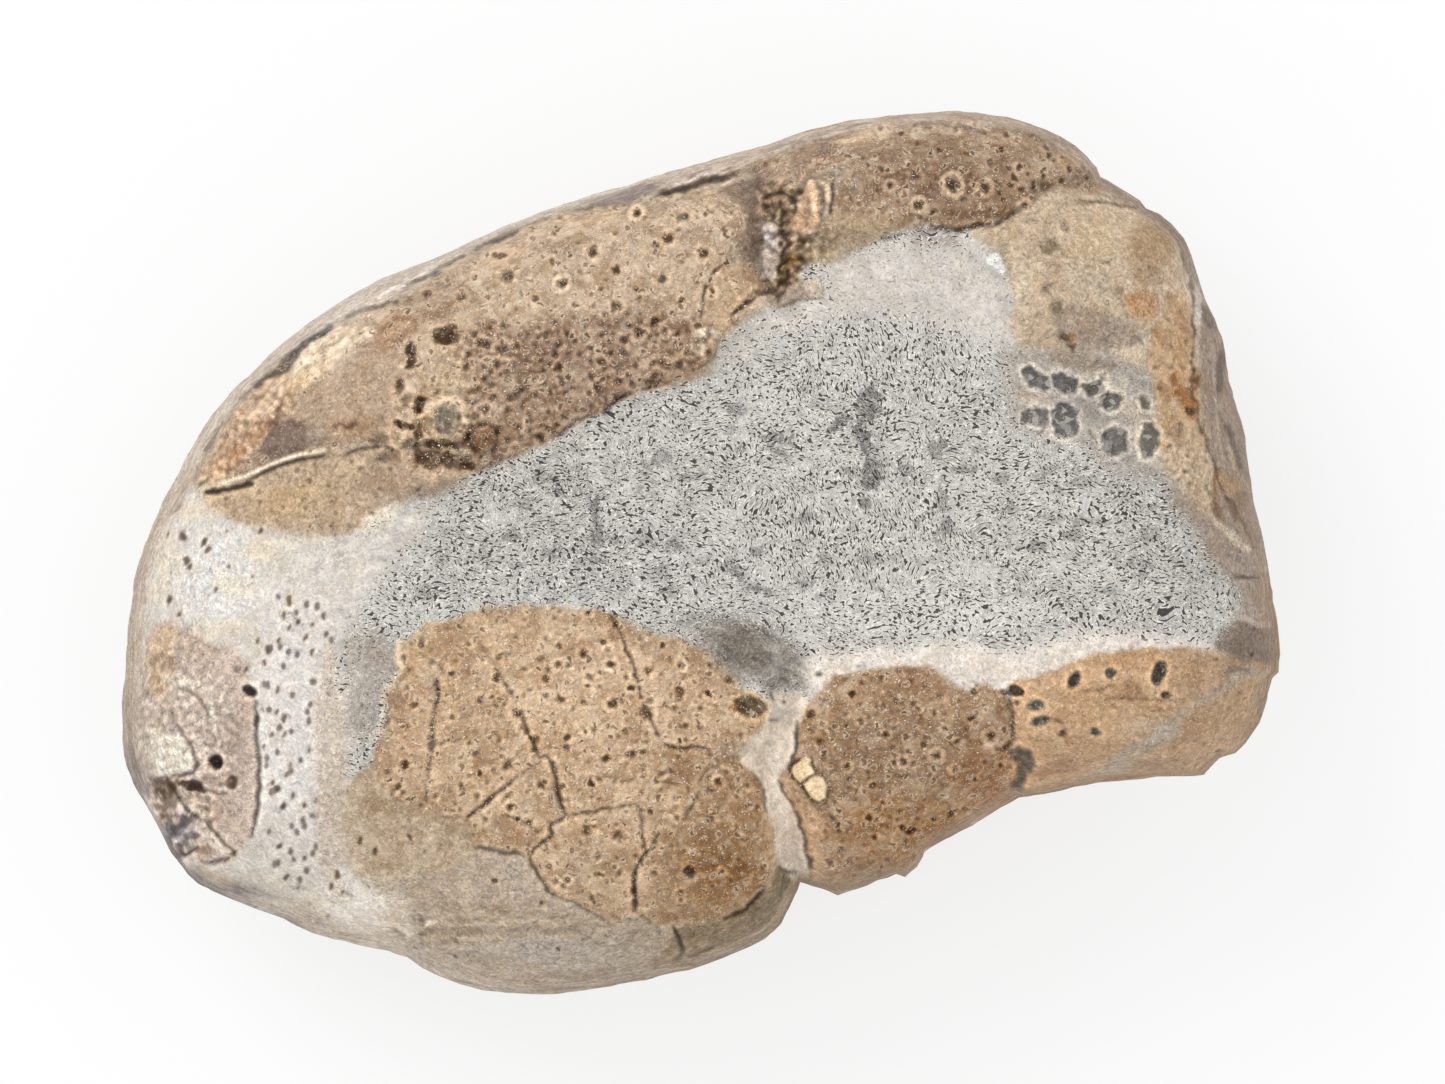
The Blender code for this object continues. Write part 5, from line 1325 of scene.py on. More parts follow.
band_c = inside_by([(1282, 672), (1250, 666), (1226, 666), (1219, 672), (1226, 676), (1216, 686), (1196, 700), (1176, 714),
                    (1160, 726), (1140, 738), (1120, 750), (1100, 764), (1085, 773), (1096, 779), (1118, 776), (1130, 766),
                    (1150, 752), (1172, 742), (1184, 728), (1182, 716), (1206, 704), (1226, 692), (1250, 680), (1270, 680)])
mottle(ramp(band_c, -3, 2.5), (168, 152, 132), (192, 174, 154), MOTTLE_M + 0.3 * MOTTLE_S, 1.0, 0.9)
lay(ramp(spot(1235, 670, 18, 5, 5), 0, 0.5), (124, 116, 104), 0.8)
fade(shell, ramp(band_c, -2, 2))
for px_, py_, rx_, ry_, turn_, colour in (
    (1014, 690, 7, 5.5, 0, (92, 66, 44)), (1074, 680, 5, 8.5, -25, (92, 84, 76)), (1110, 673, 5, 5, 0, (104, 100, 92)),
    (1158, 673, 6.5, 11, -20, (88, 82, 72)), (1035, 705, 8, 6, 0, (146, 142, 130)), (1040, 721, 8, 4.5, 15, (118, 118, 112)),
    (1095, 732, 5, 4, -20, (110, 110, 104)), (1165, 695, 5, 3, 0, (110, 82, 62)), (1062, 733, 2.5, 3, 0, (128, 90, 54)),
    (1021, 691, 3.4, 2.2, 0, (84, 62, 42)), (1016, 702, 3, 2, 0, (96, 70, 46)), (1220, 752, 4, 2.5, 30, (124, 110, 96)),
):
    s = spot(px_, py_, rx_ * 1.35, ry_ * 1.35, turn_, 0.5)
    lay(ramp(s, -0.3, 0) * (1 - ramp(s, 0.0, 0.2)), (206, 176, 140), 0.6)
    lay(ramp(s, 0.05, 0.28), colour, 0.9)
    add(rise, 0.4 * ramp(s, 0.0, 0.5), -1)
for line, width, deep, colour, amount in (
    ([(1000, 688), (1006, 694), (1010, 706), (1012, 722), (1012, 738)], 4.4, 0.45, (92, 68, 46), 0.85),
    ([(1010, 740), (1006, 746), (1002, 750)], 4.4, 0.35, (86, 62, 42), 0.8),
    ([(1080, 692), (1100, 689), (1115, 686)], 2.6, 0.15, (150, 112, 76), 0.6),
    ([(1104, 698), (1125, 699), (1150, 700), (1180, 700)], 2.4, 0.12, (146, 110, 76), 0.55),
    ([(1048, 717), (1060, 722), (1066, 730), (1066, 742)], 2.6, 0.15, (134, 100, 66), 0.65),
    ([(1024, 710), (1040, 713), (1050, 718)], 2.4, 0.12, (180, 148, 112), 0.5),
):
    groove(line, width, deep, colour, amount)
grey_notch = inside_by([(1008, 750), (1018, 744), (1030, 752), (1036, 764), (1030, 774), (1026, 788), (1016, 800), (1004, 804),
                        (1010, 784), (1018, 770), (1012, 760)])
mottle(ramp(grey_notch, -2.5, 2.5), (104, 92, 80), (166, 152, 136), MOTTLE_S, 1.4, 0.9)
add(rise, 0.35 * ramp(grey_notch, -2, 5), -1)
fade(shell, 0.7 * ramp(grey_notch, -2, 2))

# ------------------------------------- lower left: worn shell and taupe stone
low_gran = inside_by([(345, 795), (372, 760), (380, 790), (420, 812), (466, 824), (478, 844), (470, 862), (440, 872), (400, 878),
                      (360, 876), (345, 840)])
m = ramp(low_gran, -6, 5)
mottle(m, (166, 144, 118), (206, 188, 164), MOTTLE_M + 0.6 * MOTTLE_S, 1.15, 0.95)
fade(worm, m)
fade(pore, 0.8 * m)
peak(grain, 0.5 * m)
beige_left = inside_by([(342, 800), (356, 806), (366, 830), (372, 860), (360, 876), (346, 862), (340, 830)])
lay(ramp(beige_left, -4, 5), (210, 194, 174), 0.7)
taupe_low = inside_by([(402, 880), (440, 872), (470, 862), (478, 850), (505, 856), (530, 862), (545, 892), (580, 908), (605, 922),
                       (640, 925), (672, 930), (668, 946), (652, 964), (628, 990), (500, 1004), (440, 990), (405, 962),
                       (412, 930), (400, 900)])
m = ramp(taupe_low, -5, 4)
mottle(m, (164, 148, 130), (190, 174, 155), MOTTLE_M + 0.4 * MOTTLE_L, 1.0, 0.97)
fade(worm, m)
fade(pore, m)
lay(m * ramp(spot(480, 890, 74, 22), 0, 0.7), (180, 162, 142), 0.7)
lay(m * ramp(spot(560, 955, 110, 26), 0, 0.7), (172, 161, 149), 0.8)
lay(m * ramp(spot(455, 960, 40, 20), 0, 0.7), (162, 148, 134), 0.5)
lay(m * ramp(spot(530, 985, 60, 12), 0, 0.7), (184, 164, 144), 0.7)
lay(m * ramp(spot(640, 962, 34, 12, 10), 0, 0.7), (192, 176, 154), 0.5)
lay(ramp(spot(400, 905, 20, 16), 0, 0.6), (200, 184, 166), 0.7)
streak_low = layers((GX - 0.3 * GY) / 40, GY / 9, 131, 3)
lay(m * ramp(streak_low, 0.25, 0.9), (140, 124, 104), 0.45)
lay(m * (1 - ramp(streak_low, -0.9, -0.3)), (196, 182, 164), 0.4)
low_streaks = inside_by([(420, 918), (460, 905), (520, 905), (560, 905), (620, 930), (600, 945), (520, 935), (450, 950), (420, 945)])
mottle(ramp(low_streaks, -6, 6), (140, 122, 98), (190, 172, 150), streak_low + 0.6 * MOTTLE_S, 1.2, 0.7)
add(rise, 0.10 * ramp(low_streaks, -6, 6) * streak_low)
for px_, py_, r_ in ((374, 851, 3.6), (454, 957, 2.8), (378, 950, 3.5), (557, 951, 2.4), (594, 902, 2.4), (540, 903, 2.6), (360, 842, 3.0),
                     (410, 838, 2.6), (424, 949, 2), (468, 955, 1.8), (495, 881, 4), (362, 838, 2.4)):
    pit(px_, py_, r_, 0.2, (70, 62, 58), 0.85, 0.2, (200, 186, 166))
groove([(408, 832), (411, 840), (413, 846)], 3, 0.15, (116, 106, 94), 0.7)
lay(ramp(spot(430, 924, 8, 3.5, 0, 0.4), 0, 0.3), (228, 214, 196), 0.95)
for line in ([(418, 915), (424, 925)], [(418, 934), (426, 936)], [(450, 938), (458, 944)], [(392, 930), (402, 938)], [(424, 950), (426, 944)]):
    groove(line, 3, 0.12, (104, 92, 80), 0.7)

# ---------------------------------------------------------- stump at the left
stump = inside_by([(138, 690), (144, 640), (160, 622), (185, 626), (205, 645), (232, 644), (248, 664), (256, 700), (258, 760),
                   (258, 815), (250, 838), (238, 856), (222, 866), (196, 862), (176, 858), (158, 832), (146, 800), (134, 770),
                   (132, 730)])
m = ramp(stump, -4, 3)
mottle(m, (186, 168, 154), (212, 196, 183), MOTTLE_M + 0.4 * MOTTLE_L, 1.0, 0.95)
fade(worm, m)
fade(pore, m)
peak(gloss, 0.3 * m)
lay(m * ramp(spot(218, 668, 28, 20), 0, 0.6), (210, 190, 176), 0.7)
lay(m * ramp(spot(238, 745, 20, 60), 0, 0.6), (172, 156, 144), 0.7)
lay(m * ramp(spot(222, 815, 34, 22), 0, 0.6), (198, 176, 160), 0.7)
lay(m * ramp(spot(246, 700, 10, 16), 0, 0.6), (176, 150, 136), 0.6)
lay(m * ramp(spot(220, 845, 12, 12), 0, 0.6), (212, 198, 184), 0.6)
tip_tan = inside_by([(142, 668), (150, 628), (172, 620), (180, 632), (172, 655), (176, 680), (160, 700), (146, 696)])
mottle(ramp(tip_tan, -4, 4), (190, 162, 134), (220, 196, 168), MOTTLE_S + 0.5 * MOTTLE_M, 1.0, 0.9)
lay(ramp(spot(163, 662, 18, 10, 0, 1.2), 0, 0.4), (150, 128, 106), 0.6)
lay(ramp(spot(190, 655, 20, 9, 0, 1.2), 0, 0.4), (192, 174, 158), 0.5)
lay(ramp(inside_by([(160, 676), (200, 678), (214, 690), (214, 725), (206, 730), (210, 705), (196, 690), (170, 688)], 40), -3, 3),
    (222, 210, 194), 0.7)
lay(ramp(spot(165, 725, 24, 16, 30, 1.0), 0, 0.4), (176, 158, 138), 0.6)
yellow = inside_by([(130, 742), (150, 732), (178, 736), (192, 744), (196, 760), (184, 772), (158, 776), (142, 772), (132, 758)])
mottle(ramp(yellow, -3, 3), (210, 198, 176), (228, 218, 199), MOTTLE_M, 1.0, 0.97)
for line, width, deep, colour, amount in (
    ([(140, 696), (150, 690), (158, 690)], 2.6, 0.12, (116, 98, 80), 0.7), ([(177, 686), (190, 690), (200, 700), (208, 712), (207, 726)], 2.6, 0.12, (130, 108, 88), 0.75),
    ([(176, 724), (184, 736), (192, 748), (197, 762), (192, 774)], 4.2, 0.2, (136, 116, 104), 0.7),
    ([(203, 728), (212, 734), (218, 742), (212, 748), (204, 744)], 2.6, 0.1, (156, 134, 118), 0.6),
    ([(136, 740), (146, 738), (152, 742)], 2.4, 0.1, (140, 124, 104), 0.6), ([(142, 700), (150, 695)], 2, 0.1, (104, 88, 72), 0.5),
    ([(148, 780), (165, 778), (178, 776), (192, 772)], 4.2, 0.25, (96, 80, 64), 0.75),
    ([(164, 778), (172, 792), (180, 804), (190, 814), (200, 822)], 4.4, 0.3, (92, 76, 62), 0.8),
    ([(200, 820), (212, 830), (222, 840), (232, 852), (235, 858)], 3.4, 0.25, (128, 108, 84), 0.8),
    ([(170, 858), (185, 856), (198, 848)], 4.5, 0.3, (56, 46, 40), 0.9), ([(198, 862), (212, 864), (228, 858), (236, 852)], 4, 0.2, (116, 86, 68), 0.75),
    ([(256, 700), (258, 740), (259, 780), (256, 815), (251, 836)], 5.0, 0.35, (128, 112, 98), 0.65),
    ([(258, 716), (256, 722), (258, 730)], 4, 0.2, (70, 62, 56), 0.7), ([(196, 640), (210, 648), (228, 650)], 2.4, 0.08, (176, 156, 138), 0.5),
    ([(182, 756), (188, 746), (194, 742)], 2.2, 0.08, (160, 140, 120), 0.5), ([(228, 775), (236, 780), (232, 790)], 4, 0.2, (92, 76, 62), 0.7),
    ([(205, 790), (216, 794), (228, 794)], 3, 0.15, (136, 112, 94), 0.6),
):
    groove(line, width, deep, colour, amount)
d, share = along([(164, 779), (180, 804), (205, 827), (234, 856)], 20, 0.3)
lay(1 - ramp(abs(d - 4.5), 1.0, 2.6), (212, 196, 176), 0.5)
s = spot(215, 762, 9.5, 8.5, 0, 0.4)
lay(ramp(s, -0.4, -0.1) * (1 - ramp(s, 0, 0.2)), (206, 190, 176), 0.6)
lay(ramp(s, 0.05, 0.3), (84, 70, 64), 0.95)
lay(ramp(spot(218, 764, 4, 5, 0, 0.3), 0, 0.4), (34, 28, 26), 0.95)
add(rise, 0.8 * ramp(s, 0.0, 0.6), -1)
s = spot(250, 691, 9, 6.5, -40, 0.5)
lay(ramp(s, 0.0, 0.3), (74, 64, 66), 0.95)
add(rise, 0.5 * ramp(s, 0.0, 0.6), -1)
lay(ramp(spot(237, 669, 6, 5, 0, 0.8), 0, 0.4), (116, 108, 104), 0.8)
for bx, by, brx, bry, colour, amount in (
    (192, 786, 13, 7, (62, 56, 52), 0.9), (198, 790, 9, 5, (44, 40, 38), 0.7), (180, 784, 8, 4, (78, 66, 56), 0.8),
    (162, 790, 14, 10, (104, 88, 72), 0.85), (156, 784, 8, 5, (88, 76, 62), 0.7), (168, 800, 10, 8, (128, 112, 96), 0.7),
    (165, 820, 14, 10, (150, 126, 106), 0.8), (184, 822, 10, 8, (96, 84, 80), 0.85), (172, 830, 12, 7, (104, 104, 108), 0.85),
    (162, 842, 8, 10, (88, 88, 98), 0.85), (186, 842, 14, 11, (150, 138, 130), 0.8), (166, 858, 10, 6, (70, 64, 62), 0.8),
    (205, 852, 12, 6, (186, 160, 138), 0.8), (158, 812, 8, 8, (168, 142, 118), 0.7), (176, 848, 6, 8, (104, 92, 84), 0.8),
    (212, 780, 18, 7, (168, 148, 130), 0.5), (190, 798, 22, 6, (186, 168, 150), 0.6), (230, 783, 5, 8, (112, 92, 76), 0.7),
):
    s = spot(bx, by, brx * 1.15, bry * 1.15, 0, 1.4)
    lay(ramp(s, 0.0, 0.4), colour, amount)
    add(rise, 0.18 * ramp(s, 0.1, 0.7) * amount, -1)
    if sum(colour) < 320:
        carve((s - 0.30) * min(brx, bry) * 1.4, 0.8 * amount, colour)
peak(gloss, 0.8 * ramp(spot(172, 835, 26, 26), 0, 0.4))

# dark pores of the white band left of plate A, drawn out along it
band_p = ramp(inside_by([(262, 600), (300, 590), (330, 600), (338, 650), (322, 720), (316, 800), (322, 870), (300, 890), (272, 870),
                         (264, 800), (262, 700)]), -8, 8)
x, y = here(band_p)
near, second, own = cells((x + BEND_X * 0.5) / 9.5, (y + BEND_Y * 0.5) / 15.0, 141)
hole = (1 - ramp(near * 9.5, 1.3, 3.2)) * (own > 0.55) * band_p
lay(hole, (150, 142, 132), 0.5)
add(rise, 0.12 * hole, -1)
carve(Part(hole.ys, hole.xs, np.where((own.a > 0.55) & (band_p.a > 0.4), 2.3 - near.a * 9.5, -5.0)), 0.75, (100, 93, 86))
lay(band_p * ramp(layers(x / 6, y / 30, 142, 3), 0.3, 0.9), (178, 172, 166), 0.45)
for px_, py_, r_ in ((290, 597, 4), (290, 603, 4), (284, 615, 3), (299, 622, 3), (312, 625, 3.4), (280, 640, 3), (305, 640, 3.4), (268, 650, 4),
                     (265, 663, 3), (313, 652, 3.4), (278, 690, 3), (258, 640, 3), (246, 668, 3), (284, 718, 3.6), (275, 712, 3), (272, 736, 3),
                     (284, 735, 3), (289, 765, 2.6), (287, 775, 2.6), (272, 783, 3.4), (275, 790, 3.4), (304, 805, 3), (282, 805, 3), (290, 628, 3),
                     (182, 537, 5), (203, 542, 4.4), (207, 550, 4), (260, 533, 3.4), (185, 560, 4), (189, 566, 3.4), (168, 600, 4), (178, 612, 3),
                     (228, 567, 2.2), (252, 578, 2), (167, 533, 3), (216, 590, 2.4), (228, 534, 2), (340, 892, 2.2), (307, 905, 2.6),
                     (328, 918, 2.6), (285, 880, 3), (338, 877, 3.6), (330, 888, 3), (240, 902, 2.4), (280, 848, 3)):
    pit(px_, py_, r_ * 0.74, 0.16, (104, 96, 88), 1.0, 0.25, (236, 231, 223), 1.8, 72)

# dark seam between the face and the worn right rim, with a pale line beside it that is a painted highlight along the
# rim
groove([(1169, 225), (1180, 243), (1191, 266), (1194, 303), (1194, 353), (1192, 398), (1203, 431), (1217, 476), (1238, 514)], 2.2, 0.2, (96, 76, 56), 0.55, 0.8, True, 1.2)
d, share = along([(1196, 268), (1198, 285), (1201, 305), (1201, 325)], 20, 1.0)
lay(1 - ramp(d, 0.8, 2.6), (228, 220, 212), 0.75)
# wisps in the chalky matrix, drawn out towards the worm-like pores
wisp = ramp(spot(385, 535, 130, 48, 14, 1.5), 0.0, 0.4)
x, y = here(wisp)
streak = layers(x / 36, (y + 0.22 * x) / 4.6, 171, 3)
clear = Part(wisp.ys, wisp.xs, wisp.a * (1 - np.clip(shell[wisp.ys, wisp.xs], 0, 1)))
lay(clear * ramp(streak, 0.15, 0.7), (148, 142, 136), 0.42)
lay(clear * ramp(-streak, 0.15, 0.7), (238, 234, 227), 0.50)
# layered grey folds above the furrow between the plates
fold = ramp(spot(752, 650, 62, 36, -24, 1.5), 0.0, 0.18)
x, y = here(fold)
layer_n = layers(x / 26, (y - 0.55 * x) / 6.5, 172, 3)
fade(worm, 0.8 * fold)
mottle(fold, (118, 112, 104), (170, 164, 155), MOTTLE_M + 0.3 * MOTTLE_S + 0.25 * layer_n, 1.2, 0.85)
add(rise, fold * ramp(layer_n, -0.6, 0.6), 0.18)

# crumpled folds of the stump, the joint and the cavity beside the knob
for area, amount in ((ramp(spot(184, 745, 66, 122, 0, 1.5), 0.0, 0.3), 0.62), (ramp(spot(172, 818, 50, 46, 0, 1.0), 0.0, 0.3), 0.85),
                     (ramp(spot(792, 232, 46, 62, 0, 1.5), 0.0, 0.3), 0.55), (ramp(spot(436, 425, 52, 52, 0, 1.5), 0.0, 0.3), 0.60)):
    small, broad, fret = (f[area.ys, area.xs] for f in (MOTTLE_S, MOTTLE_M, FRET))
    live = area.a * ramp(broad, -0.35, 0.25)
    carve(Part(area.ys, area.xs, np.where(live > 0.25, 0.75 - np.abs(small + 0.25 * fret) * 9, -5.0)), amount * live, (88, 70, 54))
    lay(Part(area.ys, area.xs, (1 - ramp(np.abs(small - 0.30), 0.02, 0.12)) * live), (222, 204, 182), 0.40)
    add(rise, Part(area.ys, area.xs, area.a * small * 0.16))

# broad differences of tone between the parts of the face
for cx, cy, rx, ry, turn, change in (
    (722, 872, 52, 50, 0, (-12, -17, -24)), (715, 937, 46, 20, 0, (11, 8, 7)), (776, 805, 17, 66, 0, (34, 34, 34)),
    (900, 830, 80, 40, 0, (0, -9, -21)), (985, 780, 50, 45, 0, (-3, -10, -16)), (1150, 730, 28, 14, 0, (7, 14, 20)),
    (745, 645, 36, 28, 0, (-26, -29, -31)), (480, 925, 180, 80, 0, (14, 14, 14)), (350, 908, 52, 34, 0, (10, 12, 13)),
    (400, 280, 90, 20, 30, (27, 30, 33)), (625, 193, 44, 12, 15, (-18, -18, -15)), (960, 118, 100, 16, 4, (29, 32, 36)),
    (1080, 400, 30, 26, 0, (-20, -19, -18)), (262, 444, 58, 26, 25, (-20, -18, -13)), (330, 345, 50, 28, 30, (7, 11, 17)),
    (450, 450, 36, 24, 0, (-38, -37, -35)), (915, 175, 80, 36, 0, (-12, -12, -11)), (870, 137, 28, 14, 0, (16, 16, 15)),
    (580, 360, 100, 55, 20, (-9, -8, -5)), (768, 255, 12, 26, 0, (-20, -19, -16)), (292, 720, 42, 130, 0, (6, 7, 10)),
    (205, 580, 60, 60, 0, (4, 6, 9)), (600, 700, 90, 60, 0, (6, 6, 8)), (1150, 300, 40, 40, 0, (6, 6, 7)),
    (483, 438, 18, 18, 0, (-22, -21, -20)), (520, 530, 100, 60, 20, (-20, -21, -20)), (920, 612, 140, 26, 0, (22, 22, 24)),
    (165, 752, 34, 36, 0, (12, 13, 16)), (178, 826, 26, 22, 0, (8, 12, 18)),
):
    s = spot(cx, cy, rx * 1.15, ry * 1.15, turn, 1.6)
    tint[s.ys, s.xs] += ramp(s, 0.0, 0.5).a[..., None] * np.array(change, np.float32)

# ---------------------------------------------------------- shape of the stone
POLAR = sorted(
    (
        math.atan2(HUB[1] - py, px - HUB[0]) % math.tau,
        math.hypot(px - HUB[0], py - HUB[1]) * PLAN,
    )
    for px, py in OUTLINE
)
POLAR_ANGLE = np.array([POLAR[-1][0] - math.tau] + [a for a, _ in POLAR] + [POLAR[0][0] + math.tau])
POLAR_RADIUS = np.array([POLAR[-1][1]] + [r for _, r in POLAR] + [POLAR[0][1]])
BLUR_STEPS = np.radians(np.linspace(-2.0 * WORN_BLUR, 2.0 * WORN_BLUR, 41))
BLUR_WEIGHTS = np.exp(-0.5 * (BLUR_STEPS / math.radians(WORN_BLUR)) ** 2)
EVEN_ANGLE = np.linspace(0.0, math.tau, 1441)
EVEN_RADIUS = WORN_IN * (
    np.interp((EVEN_ANGLE[:, None] + BLUR_STEPS) % math.tau, POLAR_ANGLE, POLAR_RADIUS) * BLUR_WEIGHTS
).sum(1) / BLUR_WEIGHTS.sum()
SHOULDER_TABLE = np.array(SHOULDER)


def radius_at(angle, worn):
    """Plan radius of the outline in a direction from the hub; worn runs from 0, as drawn, to 1, evened out."""
    drawn = np.interp(angle % math.tau, POLAR_ANGLE, POLAR_RADIUS)
    even = np.interp(angle % math.tau, EVEN_ANGLE, EVEN_RADIUS)
    return drawn + (np.minimum(drawn, even) - drawn) * worn


def shoulder_at(angle):
    return np.interp(np.degrees(angle) % 360.0, SHOULDER_TABLE[:, 0], SHOULDER_TABLE[:, 1])


def waist_at(angle):
    return WAIST + WAIST_SWAY * np.cos(angle - 0.5)


def even_steps(power):
    """Share of the way along a profile against its own angle, so that points spread evenly."""
    swing = (np.linspace(0.0, 1.0, 400) ** 3) * math.pi / 2
    across = np.sin(swing) ** (2.0 / power) * 0.045
    up = np.cos(swing) * 0.022
    run = np.concatenate([[0.0], np.cumsum(np.hypot(np.diff(across), np.diff(up)))])
    return run / run[-1], swing


TOP_RUN, TOP_SWING = even_steps(5.0)
LOW_RUN, LOW_SWING = even_steps(BELLY_POWER)


def sample(field, px, py):
    """Values of a sheet field between its steps."""
    x = np.clip(px - SHEET_X0, 0, SHEET_W - 1.001)
    y = np.clip(py - SHEET_Y0, 0, SHEET_H - 1.001)
    xi, yi = x.astype(np.intp), y.astype(np.intp)
    fx, fy = x - xi, y - yi
    if field.ndim == 3:
        fx, fy = fx[:, None], fy[:, None]
    top = field[yi, xi] * (1 - fx) + field[yi, xi + 1] * fx
    low = field[yi + 1, xi] * (1 - fx) + field[yi + 1, xi + 1] * fx
    return top * (1 - fy) + low * fy


def wave3(p, seed):
    """Smooth noise in space, about -1 to 1, with one feature a unit."""
    base = np.floor(p)
    f = p - base
    s = f * f * f * (f * (f * 6 - 15) + 10)
    total = 0.0
    for ox in (0, 1):
        for oy in (0, 1):
            for oz in (0, 1):
                q = base + np.array([ox, oy, oz])
                h = mixed(q[:, 0], q[:, 1], seed) ^ (q[:, 2].astype(np.int32).view(np.uint32) * np.uint32(1274126177))
                h = (h ^ (h >> np.uint32(15))) * np.uint32(2246822519)
                h = (h ^ (h >> np.uint32(13))) * np.uint32(3266489917)
                h ^= h >> np.uint32(16)
                g = np.stack([(h >> np.uint32(k)) & np.uint32(1023) for k in (0, 10, 20)], 1).astype(np.float64) / 511.5 - 1
                w = (s[:, 0] if ox else 1 - s[:, 0]) * (s[:, 1] if oy else 1 - s[:, 1]) * (s[:, 2] if oz else 1 - s[:, 2])
                total = total + w * (g * (f - np.array([ox, oy, oz]))).sum(1)
    return total * 1.6


def layers3(p, seed, octaves=3, gain=0.5):
    total, weight, size = 0.0, 0.0, 1.0
    for k in range(octaves):
        total = total + wave3(p * size + 11.7 * k, seed + 13 * k) * gain**k
        weight += gain**k
        size *= 2.03
    return total / weight * 1.2


# coarse relief of the hard parts, as the solid has it, in mm
macro = np.zeros(GX.shape, np.float32)
for ring, height, low, high in (
    (CLAW, CLAW_RISE, -6.0, 26.0), (LIMB, LIMB_RISE, -6.0, 24.0), (BLOCK, BLOCK_RISE, -10.0, 24.0),
    (PLATE_A, PLATE_A_RISE, -8.0, 40.0), (PLATE_B, PLATE_B_RISE, -8.0, 30.0), (PLATE_C, PLATE_C_RISE, -8.0, 26.0),
    (STUMP, STUMP_RISE, -8.0, 16.0),
):
    peak(macro, ramp(inside_by(ring, 26), low, high) * (height * 1000))
add(macro, ramp(inside_by(MATRIX, 26), -20.0, 40.0), -MATRIX_SINK * 1000)
for line in (GROOVE_AB, GROOVE_JOINT):
    add(macro, 1 - ramp(along(line, 30)[0], 4.0, 26.0), -GROOVE_DEPTH * 1000)
macro = blurred(macro, 1.5)

FACE_CUTS = 560
FACE_RUN = 0.80     # share of the upper profile that the square face sheet covers


def upper(angle, run):
    """Points of the upper half, from the middle of the face at 0 to the widest level at 1."""
    waist = waist_at(angle)
    swing = np.interp(run, TOP_RUN, TOP_SWING)
    share = np.sin(swing) ** (2.0 / shoulder_at(angle))
    z = waist + (HEIGHT - waist) * np.cos(swing)
    reach = radius_at(angle, 1.0 - ramp(z / waist, 0.35, 1.0))
    px = HUB[0] + share * reach / PLAN * np.cos(angle)
    py = HUB[1] - share * reach / PLAN * np.sin(angle)
    steep = (z - waist) / (HEIGHT - waist)
    z = z + 0.001 * sample(macro, px, py) * ramp(steep, 0.15, 0.75)
    return np.stack([(px - PLAN_X0) * PLAN, (PLAN_Y0 - py) * PLAN, z], 1), steep


def lower(angle, run):
    """Points of the lower half, from the widest level at 1 to the middle of the resting side at 0."""
    waist = waist_at(angle)
    swing = np.interp(run, LOW_RUN, LOW_SWING)
    share = np.sin(swing) ** (2.0 / BELLY_POWER)
    z = waist * (1.0 - np.cos(swing))
    floor = waist * (1.0 - math.sqrt(max(0.0, 1.0 - REST_SHARE**BELLY_POWER)))
    z = (z - floor) * waist / (waist - floor)
    reach = radius_at(angle, 1.0 - ramp(z / waist, 0.35, 1.0))
    px = HUB[0] + share * reach / PLAN * np.cos(angle)
    py = HUB[1] - share * reach / PLAN * np.sin(angle)
    return np.stack([(px - PLAN_X0) * PLAN, (PLAN_Y0 - py) * PLAN, np.maximum(z, 0.0)], 1), np.full(len(px), -1.0)


# the square sheet laid over the fossil face
n = FACE_CUTS
u, v = np.meshgrid(np.linspace(-1, 1, n + 1), np.linspace(-1, 1, n + 1), indexing="ij")
u, v = u.ravel(), v.ravel()
wide = np.abs(u) >= np.abs(v)
big = np.where(wide, u, v)
small = np.where(wide, v, u)
ratio = np.divide(small, big, out=np.zeros_like(big), where=big != 0)
angle = np.where(wide, math.pi / 4 * ratio, math.pi / 2 - math.pi / 4 * ratio) + np.where(big < 0, math.pi, 0)
spots, steeps = upper(angle, np.abs(big) * FACE_RUN)
points, steep_all, angle_all = [spots], [steeps], [angle]
number = np.arange((n + 1) ** 2).reshape(n + 1, n + 1)
a, b, c, d = number[:-1, :-1], number[1:, :-1], number[1:, 1:], number[:-1, 1:]
flip = ((u.reshape(n + 1, n + 1)[:-1, :-1] + 1 / n) * (v.reshape(n + 1, n + 1)[:-1, :-1] + 1 / n)) > 0
tris = [
    np.where(flip[..., None], np.stack([a, b, c], -1), np.stack([a, b, d], -1)).reshape(-1, 3),
    np.where(flip[..., None], np.stack([a, c, d], -1), np.stack([b, c, d], -1)).reshape(-1, 3),
]
ring = np.concatenate([number[n, : n], number[n:0:-1, n], number[0, n:0:-1], number[:n, 0]])
ring_angle = angle[ring]
count = (n + 1) ** 2


def next_ring(kind, run, halve=False):
    """Adds one ring round the stone and joins it to the last one."""
    global ring, ring_angle, count
    if halve:
        ring_angle = ring_angle[::2]
    spots, steeps = kind(ring_angle, np.full(len(ring_angle), run))
    points.append(spots)
    steep_all.append(steeps)
    angle_all.append(ring_angle)
    new = count + np.arange(len(ring_angle))
    count += len(ring_angle)
    if halve:
        a0, a1, a2 = ring[::2], ring[1::2], np.roll(ring[::2], -1)
        tris.append(np.stack([a0, new, a1], 1))
        tris.append(np.stack([a1, new, np.roll(new, -1)], 1))
        tris.append(np.stack([a1, np.roll(new, -1), a2], 1))
    else:
        a0, a1, b1 = ring, np.roll(ring, -1), np.roll(new, -1)
        tris.append(np.stack([a0, new, b1], 1))
        tris.append(np.stack([a0, b1, a1], 1))
    ring = new


